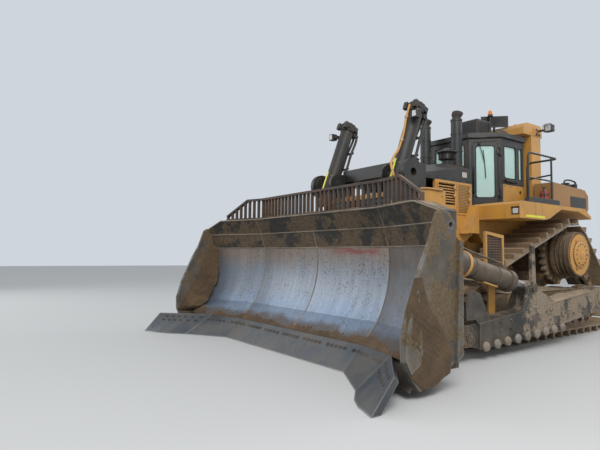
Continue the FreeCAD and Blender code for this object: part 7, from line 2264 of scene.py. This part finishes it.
@dataclass
class RoofGear:
    """Air unit with its mesh cover, blank board and beacon on the cab roof."""

    roof: float = 4.29
    high: float = 0.37
    box: tuple[float, float, float, float] = (-0.04, 0.54, -1.45, -0.97)
    board: tuple[float, float, float, float, float] = (0.52, -0.75, 0.30, 4.58, 4.84)
    beacon: tuple[float, float, float] = (0.51, -0.90, 4.81)

    def build(self) -> None:
        """Makes the roof's gear."""
        x0, x1, y0, y1 = self.box
        z0, z1 = self.roof, self.roof + self.high
        wide, deep, tall = (x1 - x0) / 2, (y1 - y0) / 2, self.high / 2
        places = [((x0 + wide, y0, z0 + tall), (1, 0), wide), ((x1, y0 + deep, z0 + tall), (0, 1), deep), ((x0 + wide, y1, z0 + tall), (-1, 0), wide),
                  ((x0, y0 + deep, z0 + tall), (0, -1), deep)]
        frames = [on_panel(frame_ring(half, tall, 0.03, 0.012).moved(y=-0.006), start, along) for start, along, half in places]
        bars = []
        for start, along, half in places:
            steps = np.linspace(-half + 0.05, half - 0.05, max(3, round(half * 22)))
            rods = [pipe([(s, -0.004, -tall + 0.03), (s, -0.004, tall - 0.03)], 0.004, 6) for s in steps]
            rods += [pipe([(-half + 0.03, -0.007, s), (half - 0.03, -0.007, s)], 0.004, 6) for s in np.linspace(-tall + 0.06, tall - 0.06, 8)]
            bars.append(on_panel(joined(rods), start, along))
        ducts = [block((x0 + 0.05, y0 + 0.05, z1 - 0.002), (x1 - 0.05, y1 - 0.05, z1 + 0.012))]
        eyes = bolt_row([(x, y, z1 + 0.012) for x in (x0 + 0.09, x1 - 0.09) for y in (y0 + 0.09, y1 - 0.09)], (0, 0, 1), 0.014, 0.014)
        Piece("air_unit_frame", joined(frames) + joined(ducts) + eyes, BLACK, slot=Slot.BLACK, bevel=0.002).place()
        Piece("air_unit_mesh", joined(bars), LAMP_COAT, slot=Slot.BLACK).place()
        self.blank_board()
        self.lamp()

    def blank_board(self) -> None:
        """Rim, plain face and screws of the blank board, which leans half way to the side."""
        x, y, half, low, high = self.board
        tall = (high - low) / 2
        start = (x, y, (low + high) / 2)
        rim = frame_ring(half - 0.002, tall - 0.002, 0.018, 0.014).moved(y=-0.007)
        screws = bolt_row([(sx * (half - 0.04), -0.003, sz * (tall - 0.035)) for sx in (-1, 1) for sz in (-1, 1)], (0, -1, 0), 0.008, 0.006)
        Piece("blank_board_rim", on_panel(rim + screws, start, (1, 1)), LAMP_COAT, slot=Slot.BLACK, bevel=0.002).place()
        face = block((-half + 0.03, -0.004, -tall + 0.03), (half - 0.03, 0.001, tall - 0.03))
        Piece("blank_board_face", on_panel(face, start, (1, 1)), SEAL, slot=Slot.BLACK, bevel=0.002).place()

    def lamp(self) -> None:
        """Beacon: post, black base with a collar, and a ribbed clear dome."""
        x, y, z = self.beacon
        base = revolved([(0.03, self.roof + 0.001), (0.03, self.roof + 0.012), (0.02, self.roof + 0.02), (0.02, z - 0.02), (0.045, z - 0.01), (0.058, z),
                         (0.058, z + 0.03), (0.052, z + 0.042)], (x, y, 0), (0, 0, 1), 28)
        Piece("beacon_base", base, LAMP_COAT, slot=Slot.LAMP, stands_for=("beacon",)).place()
        ribs = [(0.05 - 0.0012 * k + 0.0022 * (k % 2), z + 0.043 + 0.009 * k) for k in range(9)]
        dome = revolved([*ribs, (0.034, z + 0.128), (0.02, z + 0.137), (0.001, z + 0.139)], (x, y, 0), (0, 0, 1), 32)
        Piece("beacon_dome", dome, BEACON, slot=Slot.BEACON, stands_for=("beacon",)).place()


@dataclass
class RollOverFrame:
    """Weld lines, bolts, brackets and caged lamps of the roll-over frame."""

    half: float = 1.1
    top: float = 4.63
    deep: float = 0.27
    front: float = -0.56
    rear: float = 0.23
    posts: tuple[float, float] = (-0.24, 0.16)
    inner: float = 0.86
    deck: float = 2.65

    def build(self) -> None:
        """Makes the frame's details."""
        y0, y1 = self.posts
        x, low = self.half, self.top - self.deep
        flange = block((self.inner - 0.03, y0 - 0.04, self.deck), (x + 0.03, y1 + 0.03, self.deck + 0.035))
        feet = bolt_row([(px, py, self.deck + 0.035) for px in (x + 0.006,) for py in (y0 - 0.01, -0.04, y1)], (0, 0, 1), 0.018, 0.03)
        side = bolt_row([(x, y, z) for y, z in ((-0.02, 4.52), (0.09, 4.50), (-0.02, 4.41), (0.09, 4.41))], (1, 0, 0), 0.02, 0.022)
        plates = block((x - 0.002, -0.12, low + 0.02), (x + 0.012, 0.14, self.top - 0.07))
        eye = revolved([(0.03, -0.014), (0.055, -0.014), (0.055, 0.014), (0.03, 0.014)], (0, 0, 0), (0, 1, 0), 20, True)
        eyes = eye.copies([(0.7, -0.2, self.top + 0.02), (0.7, 0.1, self.top + 0.0)])
        Piece("roll_frame_plates", (flange + plates + eyes).both(), YELLOW, bevel=0.006).place()
        Piece("roll_frame_bolts", (side.moved(x=0.012) + feet).both(), BLACK, slot=Slot.BLACK).place()
        seam = [pipe([(self.inner, y, low - 0.004), (x, y, low - 0.004)], 0.008, 8) for y in (y0, y1)]
        seam += [pipe([(s, y0, low - 0.004), (s, y1, low - 0.004)], 0.008, 8) for s in (self.inner, x - 0.002)]
        edge = [pipe([(-x + 0.01, self.front + 0.001, self.top - self.deep + 0.003), (x - 0.01, self.front + 0.001, self.top - self.deep + 0.003)], 0.007, 8)]
        Piece("roll_frame_welds", joined(seam).both() + joined(edge), YELLOW).place()
        self.lamps()

    def lamps(self) -> None:
        """Rim, lens, fins and wire cage of the lamp at each end of the beam."""
        low, high = np.array((self.half + 0.22, -0.07, self.top - 0.21)), np.array((self.half + 0.38, 0.06, self.top - 0.06))
        middle, half = (low + high) / 2, (high - low) / 2
        rim = frame_ring(half[0] - 0.002, half[2] - 0.002, 0.016).copies([(middle[0], low[1] - 0.008, middle[2])])
        fins = [block((low[0] + 0.006, high[1] - 0.001, z), (high[0] - 0.006, high[1] + 0.022, z + 0.007)) for z in np.linspace(low[2] + 0.015, high[2] - 0.022, 7)]
        ring = rounded(half[0] + 0.012, half[2] + 0.012, 0.03)
        cage = [pipe(ring + (middle[0], y, middle[2]), 0.0045, 6, closed=True) for y in (low[1] - 0.05, low[1] + 0.005)]
        cage += [pipe([(middle[0] + s * (half[0] + 0.012), low[1] - 0.05, middle[2] + t * half[2]), (middle[0] + s * (half[0] + 0.012), high[1], middle[2] + t * half[2])], 0.0045, 6)
                 for s in (-1, 1) for t in (-0.6, 0.6)]
        cage += [pipe([(middle[0] + s * half[0] * 0.35, low[1] - 0.05, middle[2] - half[2] - 0.012), (middle[0] + s * half[0] * 0.35, low[1] - 0.05, middle[2] + half[2] + 0.012)], 0.0045, 6)
                 for s in (-1, 1)]
        Piece("roof_lamp_rims", (rim + joined(fins) + joined(cage)).both(), LAMP_COAT, slot=Slot.LAMP, sharp=50).place()
        pane = block((low[0] + 0.016, low[1] - 0.01, low[2] + 0.016), (high[0] - 0.016, low[1] - 0.002, high[2] - 0.016))
        Piece("roof_lamp_lenses", pane.both(), LENS, slot=Slot.LAMP).place()
        arm = plate([(-0.05, self.top - 0.19), (0.05, self.top - 0.19), (0.05, self.top - 0.13), (-0.05, self.top - 0.13)], "x", self.half, self.half + 0.03)
        Piece("roof_lamp_feet", arm.both(), YELLOW, bevel=0.004).place()


def dress_frame() -> None:
    """Gives every node of the frame its finish."""
    dress(YELLOW, "radiator_guard", "side_panels", "platforms", "rops_frame", "hose_guards")
    dress(HULL_COAT, "main_frame", "counterweight")
    dress(SHADED_TANK_COAT, "fuel_tank")
    dress(BLACK, "hood", "cylinder_mount", "radiator_grille", "cab_shell", "cab_roof", "door_left", "door_right",
          "roof_unit", "handrails", "precleaners")
    dress(BLADE_BACK, "blade_frame")
    dress(PLATE_COAT, "side_plates")
    dress(SLAT_COAT, "spill_guard")
    dress(ARM_COAT, "push_arm_left", "push_arm_right")
    dress(LIFT_COAT, "lift_barrel_left", "lift_barrel_right")
    dress(BARREL_COAT, "tilt_barrel_left", "tilt_barrel_right")
    dress(CHROME, "lift_rod_left", "lift_rod_right", "tilt_rod_left", "tilt_rod_right")
    dress(FACE, "moldboard")
    dress(EDGE_METAL, "cutting_edge", "end_bits")
    dress(TRACK_METAL, "track_left", "track_right", "sprockets", "idlers", "rollers")
    dress(DRUM_COAT, "final_drives")
    dress(DIRTY_METAL, "roller_frames")
    dress(IRON, "engine_block", "drawbar")
    dress(STACK_COAT, "exhaust_stacks")
    dress(GLASS, "cab_glass", "door_glass_left", "door_glass_right")
    dress(SEAT, "operator_seat")
    dress(PLASTIC, "side_consoles")
    dress(BEACON, "beacon")
    dress(LAMP_COAT, "work_lamps")
    dress(RED, "extinguisher")


def main() -> None:
    """Builds the studio, the finishes and all sub-assemblies."""
    Studio().build()
    dress_frame()
    for side in (1, -1):
        Track(side).build()
        LiftCylinder(side).build()
        TiltCylinder(side).build()
    RunningGear().build()
    Blade().build()
    PushArms().build()
    EngineHouse().build()
    Stacks().build()
    PreCleaners().build()
    Handrails().build()
    Platforms().build()
    Cab().build()
    OperatorSeat().build()
    RoofGear().build()
    RollOverFrame().build()
    Rear().build()


if __name__ == "__main__":
    main()
